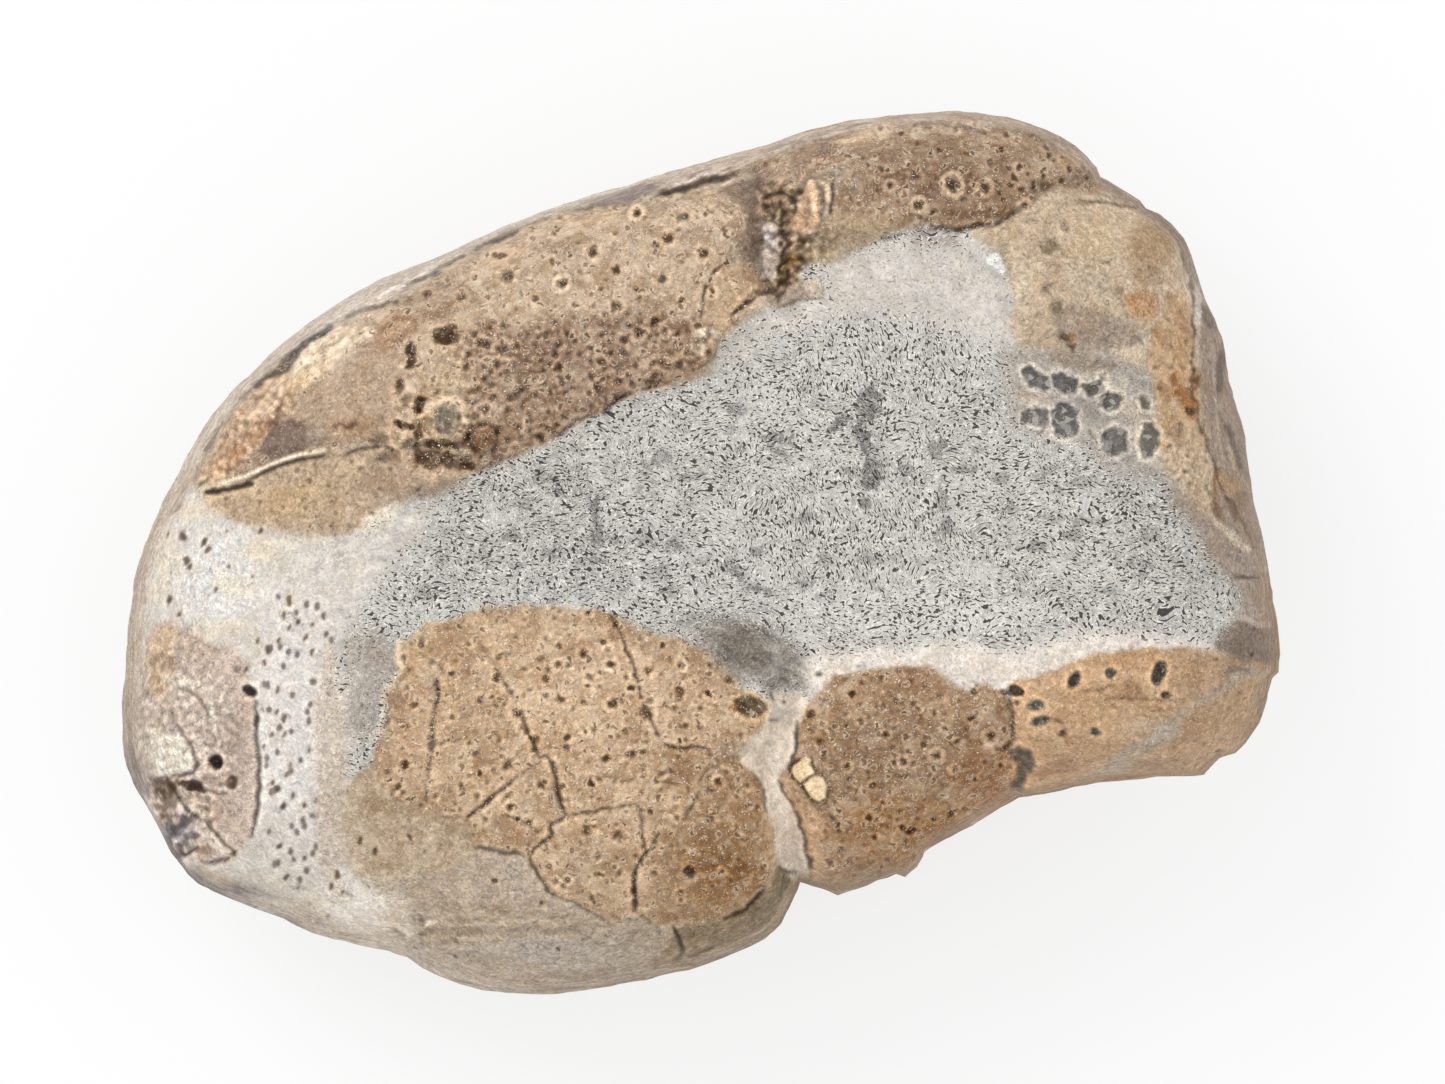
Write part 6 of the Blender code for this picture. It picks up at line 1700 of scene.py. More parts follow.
rows = 60
for k in range(1, rows + 1):
    next_ring(upper, FACE_RUN + (1 - FACE_RUN) * k / rows, halve=(k == 1))
at_rest = np.interp(WAIST * (1.0 - math.sqrt(1.0 - REST_SHARE**BELLY_POWER)), WAIST * (1 - np.cos(LOW_SWING)), LOW_RUN)
rows = 56
for k in range(1, rows + 1):
    next_ring(lower, 1 + (at_rest - 1) * k / rows, halve=(k in (int(rows * 0.35), int(rows * 0.75))))
for k in (0.8, 0.6, 0.4, 0.2):
    next_ring(lower, at_rest * k, halve=k in (0.8, 0.4))
points.append(np.array([[(HUB[0] - PLAN_X0) * PLAN, (PLAN_Y0 - HUB[1]) * PLAN, 0.0]]))
steep_all.append(np.array([-1.0]))
angle_all.append(np.array([0.0]))
tris.append(np.stack([ring, np.full(len(ring), count), np.roll(ring, -1)], 1))
count += 1
points = np.concatenate(points)
steep_all = np.concatenate(steep_all)
angle_all = np.concatenate(angle_all)
tris = np.concatenate(tris).astype(np.int32)


def normals_of(points, tris):
    a, b, c = points[tris[:, 0]], points[tris[:, 1]], points[tris[:, 2]]
    face = np.cross(b - a, c - a)
    out = np.stack([sum(np.bincount(tris[:, k], face[:, axis], len(points)) for k in range(3)) for axis in range(3)], 1)
    return out / np.maximum(np.linalg.norm(out, axis=1, keepdims=True), 1e-20)


def pulled(points, by=5.0):
    """Plan coordinates of points, those at the very rim drawn in a little."""
    px, py = points[:, 0] / PLAN + PLAN_X0, PLAN_Y0 - points[:, 1] / PLAN
    r = np.hypot(px - HUB[0], py - HUB[1])
    angle = np.arctan2(HUB[1] - py, px - HUB[0])
    rim = radius_at(angle, 0.0) / PLAN
    k = np.minimum(r, rim - by) / np.maximum(r, 1e-6)
    return HUB[0] + (px - HUB[0]) * k, HUB[1] + (py - HUB[1]) * k, rim - r


# slow waves of the worn sides, then the relief of the face and the small relief of the sides
waist_all = waist_at(angle_all)
slow = np.array([noise.noise(Vector(p) * 55.0 + Vector((3.1, 7.7, 1.3))) for p in points])
top_side = steep_all >= 0
rested = points[:, 2] <= 1e-9
away = ramp(points[:, 2], 0.001, 0.006) * ramp(waist_all - points[:, 2], 0.0, 0.006)
push = np.stack([np.cos(angle_all), np.sin(angle_all), np.full(len(points), -0.4)], 1)
points = points + np.where(top_side | rested, 0.0, UNDULATION * 2.0 * slow * away)[:, None] * push
points[:, 2] += np.where(top_side, UNDULATION * slow * ramp(points[:, 2] - waist_all, 0.002, 0.010), 0.0)
out = normals_of(points, tris)
px, py, inset = pulled(points)
face_share = np.where(top_side, ramp(steep_all, 0.06, 0.34), 0.0)
mm = points * 1000
side_small = 0.16 * layers3(mm / 3.6, 201, 2) + 0.07 * layers3(mm / 1.1, 202, 2)
# faint long furrows along the worn side
furrows = layers3(np.stack([mm[:, 0] / 9, mm[:, 1] / 9, mm[:, 2] / 1.3], 1), 203, 2)
side_small += 0.12 * furrows
rise_soft = blurred(rise, 1.0)
relief = 0.001 * sample(rise_soft, px, py) * face_share + 0.001 * side_small * (1 - face_share) * ramp(points[:, 2], 0.0, 0.002)
points = points + out * relief[:, None]
points[rested, 2] = 0.0

# how far apart points may lie, in plan steps: close on the shell and where there is detail
busy = np.hypot(*np.gradient(blurred(tint.mean(2), 1.0))) * 0.08 + np.hypot(*np.gradient(rise_soft)) * 6.0
busy = busy + 1.6 * ramp(cut, -2.5, -0.5) * ramp(ink, 0.1, 0.5)
# which way the worm-like pores lie: 0 along the stone, 1 across it
lie = 0.55 * MOTTLE_L - 0.25
add(lie, ramp(inside_by([(750, 490), (905, 470), (960, 540), (900, 575), (760, 570)], 40), -30, 10), 0.9)
add(lie, ramp(inside_by([(820, 320), (960, 320), (985, 380), (880, 400), (815, 380)], 40), -20, 10), 0.7)
busy = blurred(busy.astype(np.float32), 2.5)
wanted = 2.1 + 1.5 * np.clip(worm, 0, 1) + 0.9 * np.clip(pore, 0, 1)
wanted = np.clip(wanted / (0.55 + 0.75 * np.clip(busy, 0, 2)), 1.7, 5.0)
gap = sample(blurred(wanted.astype(np.float32), 2.0), px, py) * face_share + 7.5 * (1 - face_share)
gap = np.where(top_side, gap, 8.5 + 6.0 * ramp(waist_all - points[:, 2], 0.004, 0.016))
weight = 1 - 1.7 / np.maximum(gap, 1.7)


def mesh_of(name, points, tris):
    mesh = bpy.data.meshes.new(name)
    mesh.vertices.add(len(points))
    mesh.loops.add(tris.size)
    mesh.polygons.add(len(tris))
    mesh.vertices.foreach_set("co", points.astype(np.float32).ravel())
    mesh.loops.foreach_set("vertex_index", tris.ravel())
    mesh.polygons.foreach_set("loop_start", np.arange(0, tris.size, 3, dtype=np.int32))
    mesh.polygons.foreach_set("loop_total", np.full(len(tris), 3, np.int32))
    mesh.update(calc_edges=True)
    return mesh


MOST = 197000
dense = bpy.data.objects.new("dense", mesh_of("dense", points * 1000, tris))
bpy.context.scene.collection.objects.link(dense)
group = dense.vertex_groups.new(name="spread")
level = np.clip((weight * 24).round().astype(int), 0, 24)
for k in range(25):
    group.add(np.nonzero(level == k)[0].tolist(), k / 24, "REPLACE")
modifier = dense.modifiers.new("fewer", "DECIMATE")
modifier.ratio = MOST / len(tris)
modifier.use_collapse_triangulate = True
modifier.vertex_group = "spread"
modifier.vertex_group_factor = 10.0
graph = bpy.context.evaluated_depsgraph_get()
lean = bpy.data.meshes.new_from_object(dense.evaluated_get(graph))
bpy.data.objects.remove(dense, do_unlink=True)
co = np.empty(len(lean.vertices) * 3, np.float32)
lean.vertices.foreach_get("co", co)
co = co.reshape(-1, 3).astype(np.float64) / 1000
faces = np.empty(len(lean.polygons) * 3, np.int32)
lean.loops.foreach_get("vertex_index", faces)
faces = faces.reshape(-1, 3)
bpy.data.meshes.remove(lean)
co[co[:, 2] < 2e-5, 2] = 0.0

# --------------------------------------------------------- paint on the mesh
px, py, inset = pulled(co)
angle = np.arctan2(HUB[1] - (PLAN_Y0 - co[:, 1] / PLAN), co[:, 0] / PLAN + PLAN_X0 - HUB[0])
waist = waist_at(angle)
steep = (co[:, 2] - waist) / (HEIGHT - waist)
mm = co * 1000
bend3 = layers3(mm / 6, 211, 3)
face = ramp(steep + 0.12 * bend3, 0.20, 0.46)
face = np.maximum(face, ramp(-np.hypot(px - 180, py - 825), -62, -34) * ramp(steep + 0.1 * bend3, 0.0, 0.22))
right_rim = ramp(px, 1184, 1204) * ramp(py, 200, 240) * (1 - ramp(py, 520, 560))
face = np.maximum(face, right_rim * ramp(steep + 0.1 * bend3, 0.02, 0.24))

# the worn sides, by direction: degrees anticlockwise from the right
turn = (np.degrees(angle) + 9 * layers3(mm / 11, 212, 3)) % 360
SIDE_TURN = (0, 22, 38, 55, 80, 100, 125, 150, 172, 190, 205, 222, 240, 262, 285, 300, 318, 335, 348, 360)
SIDE_LIGHT = np.array((
    (178, 162, 148), (186, 168, 152), (182, 161, 140), (208, 188, 168), (228, 212, 195), (230, 216, 201), (232, 219, 205),
    (222, 209, 194), (224, 210, 194), (214, 197, 180), (200, 184, 168), (222, 211, 196), (214, 200, 183), (190, 173, 153),
    (176, 154, 128), (182, 155, 126), (186, 157, 127), (196, 166, 134), (186, 158, 130), (178, 162, 148),
), float)
SIDE_DARK = np.array((
    (134, 119, 106), (138, 119, 102), (128, 107, 88), (158, 136, 115), (178, 158, 138), (182, 165, 148), (190, 174, 158),
    (186, 170, 154), (190, 173, 156), (158, 140, 123), (124, 110, 101), (190, 176, 160), (172, 156, 138), (140, 123, 103),
    (118, 98, 74), (128, 102, 76), (132, 103, 76), (146, 114, 84), (140, 114, 90), (134, 119, 106),
), float)
blend = layers3(np.stack([mm[:, 0] / 9, mm[:, 1] / 9, mm[:, 2] / 2.6], 1), 213, 4, 0.6)
patchy = layers3(mm / 5.5, 214, 4, 0.6)
t = np.clip(0.5 + 0.55 * (0.65 * blend + 0.75 * patchy), 0, 1)[:, None]
light = np.stack([np.interp(turn, SIDE_TURN, SIDE_LIGHT[:, k]) for k in range(3)], 1)
dark = np.stack([np.interp(turn, SIDE_TURN, SIDE_DARK[:, k]) for k in range(3)], 1)
side = dark * (1 - t) + light * t
# the underside is a plain worn cobble
under = ramp(waist - co[:, 2] + 0.004 * bend3, 0.002, 0.013)[:, None]
t2 = np.clip(0.5 + 0.6 * (0.5 * blend + patchy), 0, 1)[:, None]
belly = np.array((150, 136, 121.0)) * (1 - t2) + np.array((203, 190, 174.0)) * t2
side = side * (1 - under * 0.8) + belly * under * 0.8
# dark mineral stains in bands round the sides, and pale veins
stain = ramp(layers3(np.stack([mm[:, 0] / 14, mm[:, 1] / 14, mm[:, 2] / 3.2], 1) + 5.0, 215, 4, 0.6), 0.42, 0.85)[:, None]
side = side * (1 - 0.5 * stain) + np.array((96, 81, 66.0)) * 0.5 * stain
vein = (1 - ramp(np.abs(layers3(mm / 8 + 9.0, 216, 3)), 0.0, 0.06))[:, None] * ramp(patchy, -0.2, 0.5)[:, None]
side = side * (1 - 0.45 * vein) + np.array((226, 215, 199.0)) * 0.45 * vein
# blue-black stain under the stump
blue = (ramp(-np.abs(turn - 213), -13, -3) * ramp(patchy, -0.5, 0.3) * ramp(co[:, 2], 0.012, 0.018))[:, None]
side = side * (1 - 0.75 * blue) + np.array((92, 90, 96.0)) * 0.75 * blue

# painted shade darkens the hollows and a painted highlight lightens the ridges, both worked out from the relief, less
# in the worm-textured matrix
relief_all = rise_soft + 0.25 * macro
hollow = np.clip((blurred(relief_all, 4.0) - relief_all) * 2.6 + (blurred(relief_all, 12.0) - relief_all) * 1.1, -0.22, 0.42)
tint = tint * (1 - hollow * (1 - 0.5 * np.clip(worm, 0, 1)))[..., None]
colour = sample(tint, px, py) * face[:, None] + side * (1 - face[:, None])
colour = np.clip(colour, 4, 252) / 255
colour = np.where(colour <= 0.04045, colour / 12.92, ((colour + 0.055) / 1.055) ** 2.4)


def store(mesh, name, values):
    layer = mesh.attributes.new(name, "FLOAT_COLOR", "POINT")
    full = np.ones((len(values), 4), np.float32)
    full[:, : values.shape[1]] = values
    layer.data.foreach_set("color", full.ravel())


nodule = bpy.data.objects.new("nodule_surface", mesh_of("nodule_surface", co, faces))
bpy.context.scene.collection.objects.link(nodule)
nodule.data.shade_smooth()
store(nodule.data, "tint", colour / LIT)
# the pores thin out into the white matrix round them
worm_wide = np.maximum(worm, blurred(worm, 11.0) * (1 - np.clip(shell, 0, 1)) * (1 - np.clip(outside, 0, 1)))
on_face = [np.clip(sample(f, px, py), 0, 1) * face for f in (shell, worm_wide, pore, gloss, grain, crystal, ink)]
store(nodule.data, "kind_a", np.stack(on_face[:4], 1))
store(nodule.data, "kind_b", np.stack(on_face[4:] + [1 - face * (1 - 0.8 * np.clip(sample(rimmed, px, py), 0, 1))], 1))
for name, values in (
    ("cut", sample(cut, px, py)),
    ("lean", ramp(sample(lie, px, py), -0.12, 0.12)),
):
    nodule.data.attributes.new(name, "FLOAT", "POINT").data.foreach_set("value", values.astype(np.float32))
nodule.data.validate()
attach(nodule, "root")
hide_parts("fossil_nodule")

# ------------------------------------------------------------------ material
class Web:
    """Short hand for shader nodes."""

    def __init__(self, material):
        material.use_nodes = True
        self.tree = material.node_tree
        self.tree.nodes.clear()

    def put(self, socket, value):
        if isinstance(value, bpy.types.NodeSocket):
            self.tree.links.new(value, socket)
        elif value is not None:
            if socket.type == "RGBA" and len(value) == 3:
                value = (*value, 1.0)
            socket.default_value = value

    def node(self, kind, settings=None, **values):
        made = self.tree.nodes.new(kind)
        for key, value in (settings or {}).items():
            setattr(made, key, value)
        for key, value in values.items():
            self.put(made.inputs[key.replace("_", " ")], value)
        return made

    def math(self, operation, a, b=None, c=None, clamp=False):
        made = self.tree.nodes.new("ShaderNodeMath")
        made.operation, made.use_clamp = operation, clamp
        for socket, value in zip(made.inputs, (a, b, c)):
            self.put(socket, value)
        return made.outputs[0]

    def times(self, a, b):
        return self.math("MULTIPLY", a, b)

    def plus(self, a, b):
        return self.math("ADD", a, b)

    def ramp(self, value, low, high, start=0.0, stop=1.0):
        made = self.tree.nodes.new("ShaderNodeMapRange")
        made.interpolation_type = "SMOOTHSTEP"
        for socket, given in zip(made.inputs[:5], (value, low, high, start, stop)):
            self.put(socket, given)
        return made.outputs[0]

    def mix(self, share, a, b, how="MIX"):
        made = self.tree.nodes.new("ShaderNodeMix")
        made.data_type, made.blend_type = "RGBA", how
        made.clamp_factor = True
        self.put(made.inputs[0], share)
        self.put(made.inputs[6], a)
        self.put(made.inputs[7], b)
        return made.outputs[2]

    def noise(self, vector, scale, detail=2.0, roughness=0.5, bend=0.0, flat=True, colour=False):
        made = self.node("ShaderNodeTexNoise", {"noise_dimensions": "2D" if flat else "3D"}, Vector=vector)
        made.inputs["Scale"].default_value = scale
        made.inputs["Detail"].default_value = detail
        made.inputs["Roughness"].default_value = roughness
        made.inputs["Distortion"].default_value = bend
        return made.outputs["Color" if colour else "Fac"]

    def cells(self, vector, scale, feature="F1", randomness=1.0, flat=True):
        made = self.tree.nodes.new("ShaderNodeTexVoronoi")
        made.feature = feature
        made.voronoi_dimensions = "2D" if flat else "3D"
        self.put(made.inputs["Vector"], vector)
        self.put(made.inputs["Scale"], scale)
        self.put(made.inputs["Randomness"], randomness)
        return made

    def moved(self, vector, turn=0.0, stretch=(1, 1, 1), shift=(0, 0, 0)):
        turned = self.node("ShaderNodeVectorRotate", {"rotation_type": "Z_AXIS"}, Vector=vector, Angle=turn)
        made = self.tree.nodes.new("ShaderNodeMapping")
        self.put(made.inputs["Vector"], turned.outputs[0])
        made.inputs["Location"].default_value = shift
        made.inputs["Scale"].default_value = stretch
        return made.outputs[0]

    def near(self, value, middle, width):
        """1 where a value is close to the middle one, 0 from the width on."""
        return self.ramp(self.math("ABSOLUTE", self.math("SUBTRACT", value, middle)), 0.0, width, 1.0, 0.0)

    def grey(self, value):
        return self.node("ShaderNodeCombineColor", None, Red=value, Green=value, Blue=value).outputs[0]

    def blend(self, share, a, b):
        made = self.tree.nodes.new("ShaderNodeMix")
        made.data_type = "FLOAT"
        self.put(made.inputs[0], share)
        self.put(made.inputs[2], a)
        self.put(made.inputs[3], b)
        return made.outputs[0]

    def vector(self, operation, a, b):
        made = self.tree.nodes.new("ShaderNodeVectorMath")
        made.operation = operation
        self.put(made.inputs[0], a)
        if operation == "SCALE":
            self.put(made.inputs["Scale"], b)
        elif b is not None:
            self.put(made.inputs[1], b)
        return made.outputs[0]


def lin(*rgb):
    """Display colour, 0 to 255, as the light that the surface gives back."""
    out = []
    for c in rgb:
        c /= 255
        out.append((c / 12.92 if c <= 0.04045 else ((c + 0.055) / 1.055) ** 2.4) / LIT)
    return tuple(out)


stone = bpy.data.materials.new("fossil_stone_surface")
w = Web(stone)
place = w.node("ShaderNodeTexCoord").outputs["Object"]
mm_at = w.vector("SCALE", place, 1000.0)
wobble = w.noise(mm_at, 1.3, 1.0, 0.6, flat=False, colour=True)
bent = w.vector("ADD", mm_at, w.vector("SCALE", w.vector("SUBTRACT", wobble, (0.5, 0.5, 0.5)), 1.1))

kinds = []
for name in ("kind_a", "kind_b"):
    attribute = w.node("ShaderNodeAttribute", {"attribute_name": name})
    parted = w.node("ShaderNodeSeparateColor", None, Color=attribute.outputs["Color"])
    kinds += list(parted.outputs[:3]) + [attribute.outputs["Alpha"]]
k_shell, k_worm, k_pore, k_gloss, k_grain, k_crystal, k_ink, k_side = kinds
tint_at = w.node("ShaderNodeAttribute", {"attribute_name": "tint"}).outputs["Color"]
cut_at = w.node("ShaderNodeAttribute", {"attribute_name": "cut"}).outputs["Fac"]
lean_at = w.node("ShaderNodeAttribute", {"attribute_name": "lean"}).outputs["Fac"]

# noises shared by all of it: patches of some 2 mm, crumbs of 0.4 mm, specks of 0.15 mm
patch_n = w.noise(mm_at, 0.42, 4.5, 0.66, 0.7, flat=False)
crumb = w.noise(bent, 2.4, 2.6, 0.68, flat=False)
speck = w.noise(mm_at, 7.2, 0.0, 0.5, flat=False)
web = w.noise(mm_at, 1.15, 2.6, 0.6, 1.1, flat=False)
web_line = w.times(w.near(web, 0.5, 0.021), w.ramp(patch_n, 0.42, 0.54))
web_dark, web_pale = w.ramp(web, 0.53, 0.62), w.ramp(web, 0.47, 0.38)
stain = w.ramp(patch_n, 0.50, 0.60)
pale = w.ramp(patch_n, 0.47, 0.36)
vein = w.times(w.near(crumb, 0.5, 0.035), w.ramp(patch_n, 0.44, 0.56))
thread = w.near(crumb, 0.47, 0.030)

# --- shell: pores with pale rims, small grains between them
pores = w.cells(bent, 0.80, randomness=0.95)
pore_pick = w.node("ShaderNodeSeparateColor", None, Color=pores.outputs["Color"]).outputs
pore_size = w.math("MULTIPLY_ADD", pore_pick[0], 0.13, 0.07)
pore_far = w.math("DIVIDE", w.plus(pores.outputs["Distance"], w.times(w.math("SUBTRACT", crumb, 0.5), 0.16)), pore_size)
pore_live = w.times(w.math("GREATER_THAN", pore_pick[1], 0.35), k_shell)
pore_hole = w.times(w.ramp(pore_far, 0.6, 1.05, 1.0, 0.0), pore_live)
pore_ring = w.times(w.times(w.ramp(pore_far, 0.95, 1.25), w.ramp(pore_far, 1.5, 2.1, 1.0, 0.0)), pore_live)
grains = w.cells(bent, 2.0)
grain_far = grains.outputs["Distance"]
grain_pick = w.node("ShaderNodeSeparateColor", None, Color=grains.outputs["Color"]).outputs

# --- matrix: tightly packed worm-like pores with cream rims
sway = w.noise(mm_at, 0.22, 1.0, 0.5, colour=True)
swung = w.vector("ADD", mm_at, w.vector("SCALE", w.vector("SUBTRACT", sway, (0.5, 0.5, 0.5)), 2.4))
strands = []
for turn, shift in ((0.10, 0.0), (1.25, 7.0)):
    strands.append(w.noise(w.moved(swung, turn, (2.45, 4.6, 1.0), (shift, shift, 0.0)), 1.0, 1.0, 0.5, 0.35))
strand = w.plus(w.blend(lean_at, strands[0], strands[1]), w.times(w.math("SUBTRACT", speck, 0.5), 0.12))
strand = w.plus(strand, w.times(w.math("SUBTRACT", patch_n, 0.5), -0.34))
strand = w.plus(strand, w.times(w.math("SUBTRACT", 1.0, k_worm), 0.07))
k_slit = w.math("MULTIPLY", k_worm, 3.0, clamp=True)
slit = w.times(w.ramp(strand, 0.434, 0.402), k_slit)
rim = w.times(w.near(strand, 0.472, 0.052), k_slit)
slit_p = w.times(w.times(w.ramp(strands[1], 0.375, 0.345), w.ramp(k_pore, 0.4, 0.8)), w.ramp(patch_n, 0.46, 0.54))
rim_b = w.times(w.near(strand, 0.610, 0.040), k_worm)

# --- colour: brightness first
k_rough = w.math("MAXIMUM", k_shell, w.times(k_grain, 0.8))
k_plain = w.math("SUBTRACT", 1.0, w.plus(w.math("MAXIMUM", k_rough, k_worm), w.times(k_pore, 0.6)), clamp=True)
level = w.plus(1.0, w.times(w.math("SUBTRACT", crumb, 0.5), w.math("SUBTRACT", w.math("MULTIPLY_ADD", k_rough, -0.45, w.math("MULTIPLY_ADD", k_plain, 0.35, 1.30)), w.plus(w.times(k_pore, 1.6), w.times(w.times(pale, k_rough), 0.9)))))
level = w.plus(level, w.times(w.math("SUBTRACT", speck, 0.5), w.math("MULTIPLY_ADD", w.math("MAXIMUM", k_pore, w.times(k_rough, 0.5)), -0.35, 0.50)))
level = w.plus(level, w.times(w.math("SUBTRACT", patch_n, 0.5), w.math("MULTIPLY_ADD", k_rough, -0.35, 1.15)))
level = w.plus(level, w.times(w.math("SUBTRACT", web, 0.5), w.math("MULTIPLY_ADD", k_plain, 0.85, 0.85)))
level = w.math("SUBTRACT", level, w.times(w.times(w.ramp(grain_far, 0.42, 0.80), k_rough), 0.10))
level = w.plus(level, w.times(w.times(w.times(w.ramp(grain_far, 0.10, 0.38, 1.0, 0.0), w.ramp(grain_pick[0], 0.35, 0.9)), k_rough), 0.10))
base = w.mix(1.0, tint_at, w.grey(level), "MULTIPLY")
base = w.mix(k_rough, base, w.mix(1.0, base, (1.11, 1.08, 1.02), "MULTIPLY"))
# stains and pale places of the shell
base = w.mix(w.times(w.times(stain, k_rough), 0.68), base, w.mix(1.0, tint_at, (0.69, 0.58, 0.46), "MULTIPLY"))
base = w.mix(w.times(w.times(stain, k_plain), 0.55), base, w.mix(1.0, base, (0.74, 0.68, 0.60), "MULTIPLY"))
base = w.mix(w.times(w.times(pale, k_plain), 0.55), base, w.mix(1.0, base, (1.15, 1.15, 1.15), "MULTIPLY"))
base = w.mix(w.times(w.times(vein, k_plain), 0.50), base, w.mix(1.0, tint_at, (0.48, 0.42, 0.35), "MULTIPLY"))
base = w.mix(w.times(w.times(web_dark, k_plain), 0.45), base, w.mix(1.0, base, (0.76, 0.71, 0.64), "MULTIPLY"))
base = w.mix(w.times(w.times(web_pale, k_plain), 0.45), base, w.mix(1.0, base, (1.15, 1.15, 1.15), "MULTIPLY"))
base = w.mix(w.times(w.times(web_line, w.math("SUBTRACT", w.math("SUBTRACT", 1.0, k_worm), w.times(k_pore, 0.6), clamp=True)), 0.72), base, w.mix(1.0, tint_at, (0.42, 0.35, 0.27), "MULTIPLY"))
base = w.mix(w.times(w.times(pale, k_rough), 0.46), base, w.mix(0.5, lin(234, 213, 184), w.mix(1.0, tint_at, (1.35, 1.33, 1.30), "MULTIPLY")))
base = w.mix(w.times(w.times(w.ramp(grain_pick[1], 0.72, 0.86), k_rough), 0.18), base, lin(178, 168, 158))
base = w.mix(w.times(w.times(vein, w.plus(w.times(k_rough, 0.8), w.times(k_side, 0.6))), 0.42), base, lin(112, 84, 58))
base = w.mix(w.times(pore_ring, 0.40), base, lin(232, 213, 186))
base = w.mix(w.times(pore_hole, 0.70), base, w.mix(pore_pick[2], lin(72, 46, 22), lin(160, 124, 86)))
# worm-textured matrix
broad = w.noise(mm_at, 0.13, 2.0, 0.55, 0.8)
base = w.mix(w.times(w.times(w.ramp(broad, 0.52, 0.64), k_worm), 0.60), base, w.mix(1.0, base, (0.70, 0.72, 0.74), "MULTIPLY"))
base = w.mix(w.times(w.times(w.ramp(broad, 0.48, 0.38), k_worm), 0.60), base, w.mix(1.0, base, (1.22, 1.21, 1.19), "MULTIPLY"))
base = w.mix(w.times(k_worm, 0.60), base, w.mix(1.0, base, (0.66, 0.66, 0.66), "MULTIPLY"))
base = w.mix(w.times(w.times(w.ramp(patch_n, 0.54, 0.62), k_worm), 0.45), base, lin(116, 117, 116))
base = w.mix(w.times(w.times(web_dark, k_worm), 0.55), base, lin(132, 133, 133))
base = w.mix(w.times(w.times(w.ramp(patch_n, 0.46, 0.38), k_worm), 0.40), base, lin(218, 218, 214))
base = w.mix(w.times(w.times(web_pale, k_worm), 0.50), base, lin(226, 225, 221))
base = w.mix(w.times(w.times(w.near(web, 0.5, 0.02), k_worm), 0.50), base, lin(232, 230, 224))
base = w.mix(w.times(rim_b, 0.60), base, lin(232, 229, 220))
base = w.mix(w.times(rim, 0.95), base, lin(248, 243, 231))
base = w.mix(w.times(slit, 0.85), base, lin(122, 120, 114))
base = w.mix(w.times(w.times(w.ramp(strand, 0.392, 0.358), k_slit), 0.88), base, lin(58, 57, 54))
# white matrix: scattered grey pores and hair-fine lines
white_hole = w.times(w.times(w.ramp(grain_far, 0.14, 0.26, 1.0, 0.0), w.math("GREATER_THAN", grain_pick[2], 0.70)), k_pore)
base = w.mix(w.times(w.times(vein, k_pore), 0.28), base, lin(150, 143, 134))
base = w.mix(w.times(w.times(stain, k_pore), 0.22), base, lin(196, 188, 176))
base = w.mix(w.times(slit_p, 0.62), base, lin(124, 118, 110))
base = w.mix(w.times(white_hole, 0.40), base, lin(118, 111, 103))
# worn sides: streaks along the bedding
streaks = w.noise(w.moved(mm_at, 0.0, (0.3, 0.3, 2.1)), 1.0, 3.0, 0.65, 0.0, False)
base = w.mix(w.times(w.ramp(streaks, 0.54, 0.68), w.times(k_side, 0.50)), base, lin(118, 98, 78))
base = w.mix(w.times(w.ramp(streaks, 0.45, 0.34), w.times(k_side, 0.40)), base, lin(228, 215, 198))
# crystals
base = w.mix(w.times(k_crystal, w.ramp(grain_pick[0], 0.0, 1.0, 0.05, 0.62)), base, lin(100, 98, 96))
base = w.mix(w.times(k_crystal, w.ramp(grain_pick[1], 0.66, 0.90, 0.0, 0.6)), base, lin(192, 188, 181))
# cracks and pits, with sharp ragged edges, filled near-black: dirt in them and painted shade
ragged = w.plus(cut_at, w.times(w.math("SUBTRACT", crumb, 0.5), w.math("MULTIPLY_ADD", k_worm, 9.0, 3.2)))
ragged = w.plus(ragged, w.times(w.math("SUBTRACT", web, 0.5), w.math("MULTIPLY_ADD", k_worm, 16.0, 2.0)))
ragged = w.plus(ragged, w.times(w.math("SUBTRACT", speck, 0.5), 1.6))
hole = w.times(w.ramp(ragged, -0.65, 0.45), k_ink)
crack_dirt_and_shade = w.mix(k_worm, lin(66, 38, 14), lin(46, 45, 43))
base = w.mix(w.times(hole, 0.86), base, crack_dirt_and_shade)
# painted glints: tiny white highlight flecks where grains of spar sparkle, with lower roughness there too
painted_glint = w.times(w.times(w.ramp(speck, 0.66, 0.70), w.ramp(crumb, 0.50, 0.58)), w.math("MULTIPLY_ADD", k_rough, 0.80, 0.12))
base = w.mix(w.times(painted_glint, 0.85), base, lin(248, 240, 228))

# --- roughness
rough = w.math("MULTIPLY_ADD", w.math("SUBTRACT", crumb, 0.5), 0.30, 0.72)
rough = w.math("SUBTRACT", rough, w.times(k_gloss, 0.22))
rough = w.math("SUBTRACT", rough, w.times(k_crystal, 0.40))
rough = w.math("SUBTRACT", rough, w.times(k_side, 0.12))
rough = w.math("SUBTRACT", rough, w.times(painted_glint, 0.35))
rough = w.math("MAXIMUM", w.math("MINIMUM", rough, 0.95), 0.20)

# --- bump, in mm
height = w.times(w.math("SUBTRACT", crumb, 0.5), w.math("MULTIPLY_ADD", k_pore, -0.09, w.math("MULTIPLY_ADD", k_rough, 0.12, 0.16)))
height = w.math("SUBTRACT", height, w.times(w.times(w.ramp(grain_far, 0.1, 0.7), k_rough), 0.10))
bump = w.node("ShaderNodeBump", None, Height=height)
bump.inputs["Strength"].default_value = 1.0
bump.inputs["Distance"].default_value = 0.001

skin = w.node("ShaderNodeBsdfPrincipled", None, Base_Color=base, Roughness=rough, Normal=bump.outputs[0])
skin.inputs["Specular IOR Level"].default_value = 0.16
skin.inputs["IOR"].default_value = 1.5
end = w.node("ShaderNodeOutputMaterial", None, Surface=skin.outputs[0])
nodule.data.materials.append(stone)

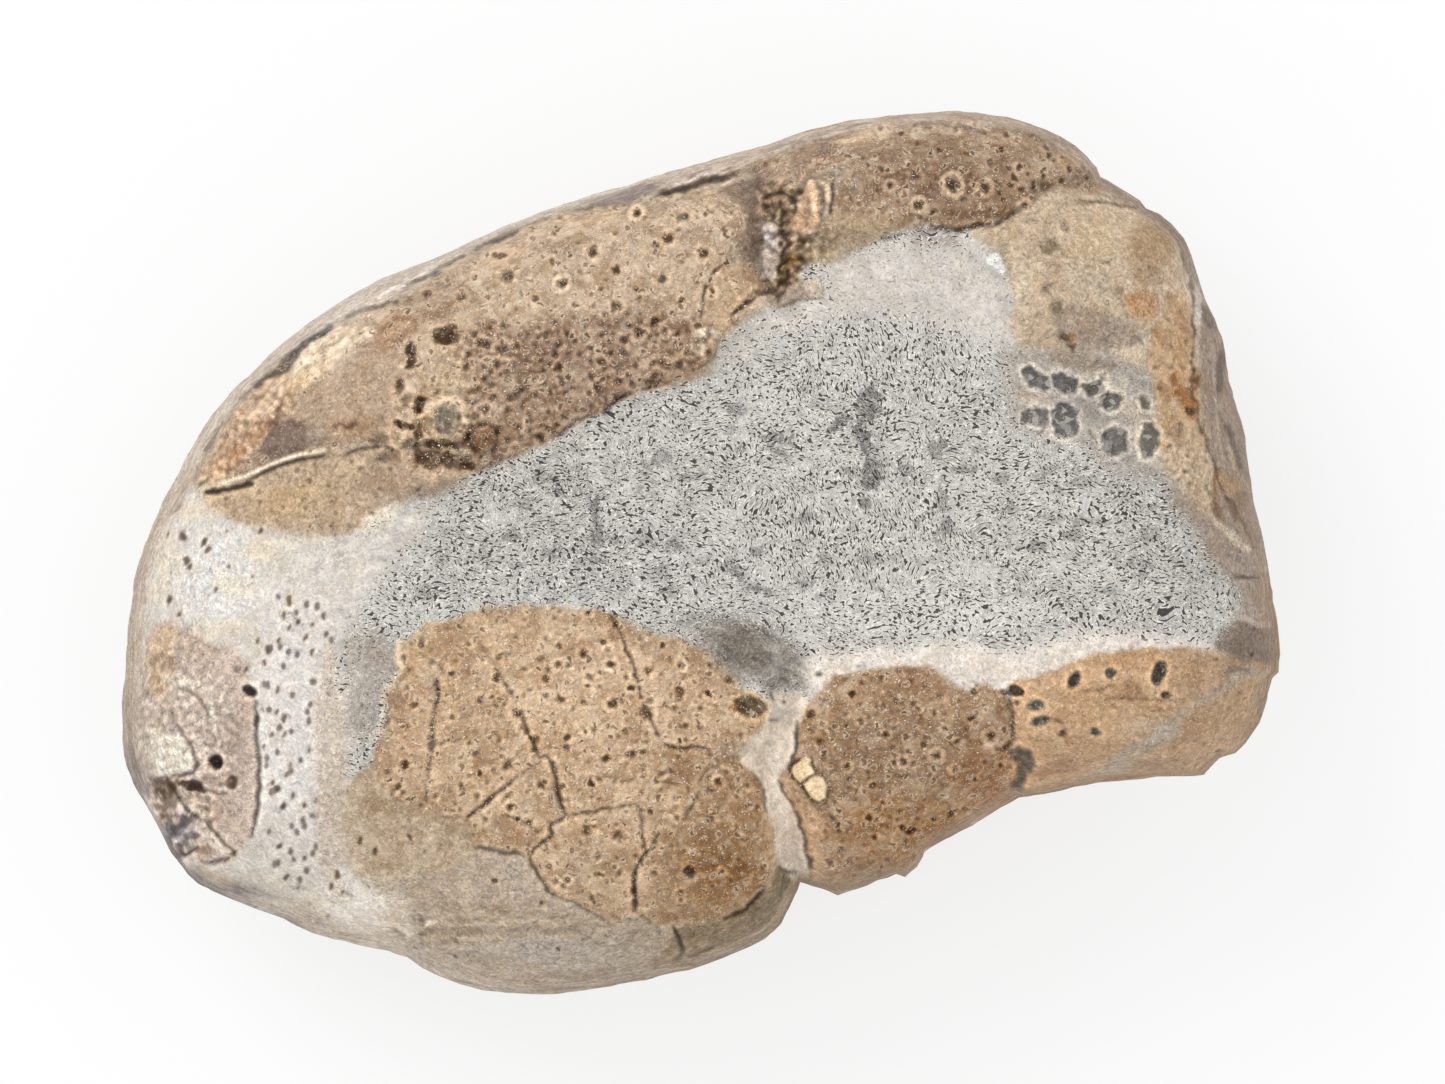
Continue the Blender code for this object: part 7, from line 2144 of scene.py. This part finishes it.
# -------------------------------------------------------------- stage, camera
scene = bpy.context.scene
floor = bpy.data.objects.new("floor", bpy.data.meshes.new("floor"))
floor.data.from_pydata([(-12, -12, 0), (12, -12, 0), (12, 12, 0), (-12, 12, 0)], [], [(0, 1, 2, 3)])
scene.collection.objects.link(floor)
pale = bpy.data.materials.new("pale_floor")
w = Web(pale)
paper = w.node("ShaderNodeBsdfPrincipled")
paper.inputs["Base Color"].default_value = (0.24, 0.24, 0.242, 1.0)
paper.inputs["Roughness"].default_value = 0.9
paper.inputs["Specular IOR Level"].default_value = 0.0
paper.inputs["Emission Color"].default_value = (1.0, 1.0, 1.0, 1.0)
paper.inputs["Emission Strength"].default_value = 0.71
w.node("ShaderNodeOutputMaterial", None, Surface=paper.outputs[0])
floor.data.materials.append(pale)

world = bpy.data.worlds.new("studio")
world.use_nodes = True
world.node_tree.nodes["Background"].inputs["Color"].default_value = (1.0, 1.0, 1.0, 1.0)
world.node_tree.nodes["Background"].inputs["Strength"].default_value = 1.04
scene.world = world


def soft_light(name, place, target, size, watts):
    lamp = bpy.data.lights.new(name, "AREA")
    lamp.shape, lamp.size, lamp.energy = "DISK", size, watts
    made = bpy.data.objects.new(name, lamp)
    made.location = place
    made.rotation_euler = (Vector(target) - Vector(place)).to_track_quat("-Z", "Y").to_euler()
    made.visible_camera = False
    scene.collection.objects.link(made)
    return made


soft_light("window_light", (-1.0, 1.1, 1.5), (0, 0, 0.02), 1.3, 15.0)

camera = bpy.data.objects.new("camera", bpy.data.cameras.new("camera"))
camera.data.lens, camera.data.sensor_width = 800.0, 36.0
camera.data.clip_start, camera.data.clip_end = 0.1, 60.0
across = 1445 * PLAN                       # metres the frame spans at the fossil face
camera.location = ((722.5 - PLAN_X0) * PLAN, (PLAN_Y0 - 542.0) * PLAN, 0.036 + across * 800.0 / 36.0)
camera.rotation_euler = (0, 0, 0)
scene.collection.objects.link(camera)
scene.camera = camera
scene.view_settings.view_transform = "Standard"
scene.view_settings.look = "None"
scene.view_settings.exposure, scene.view_settings.gamma = 0.0, 1.0
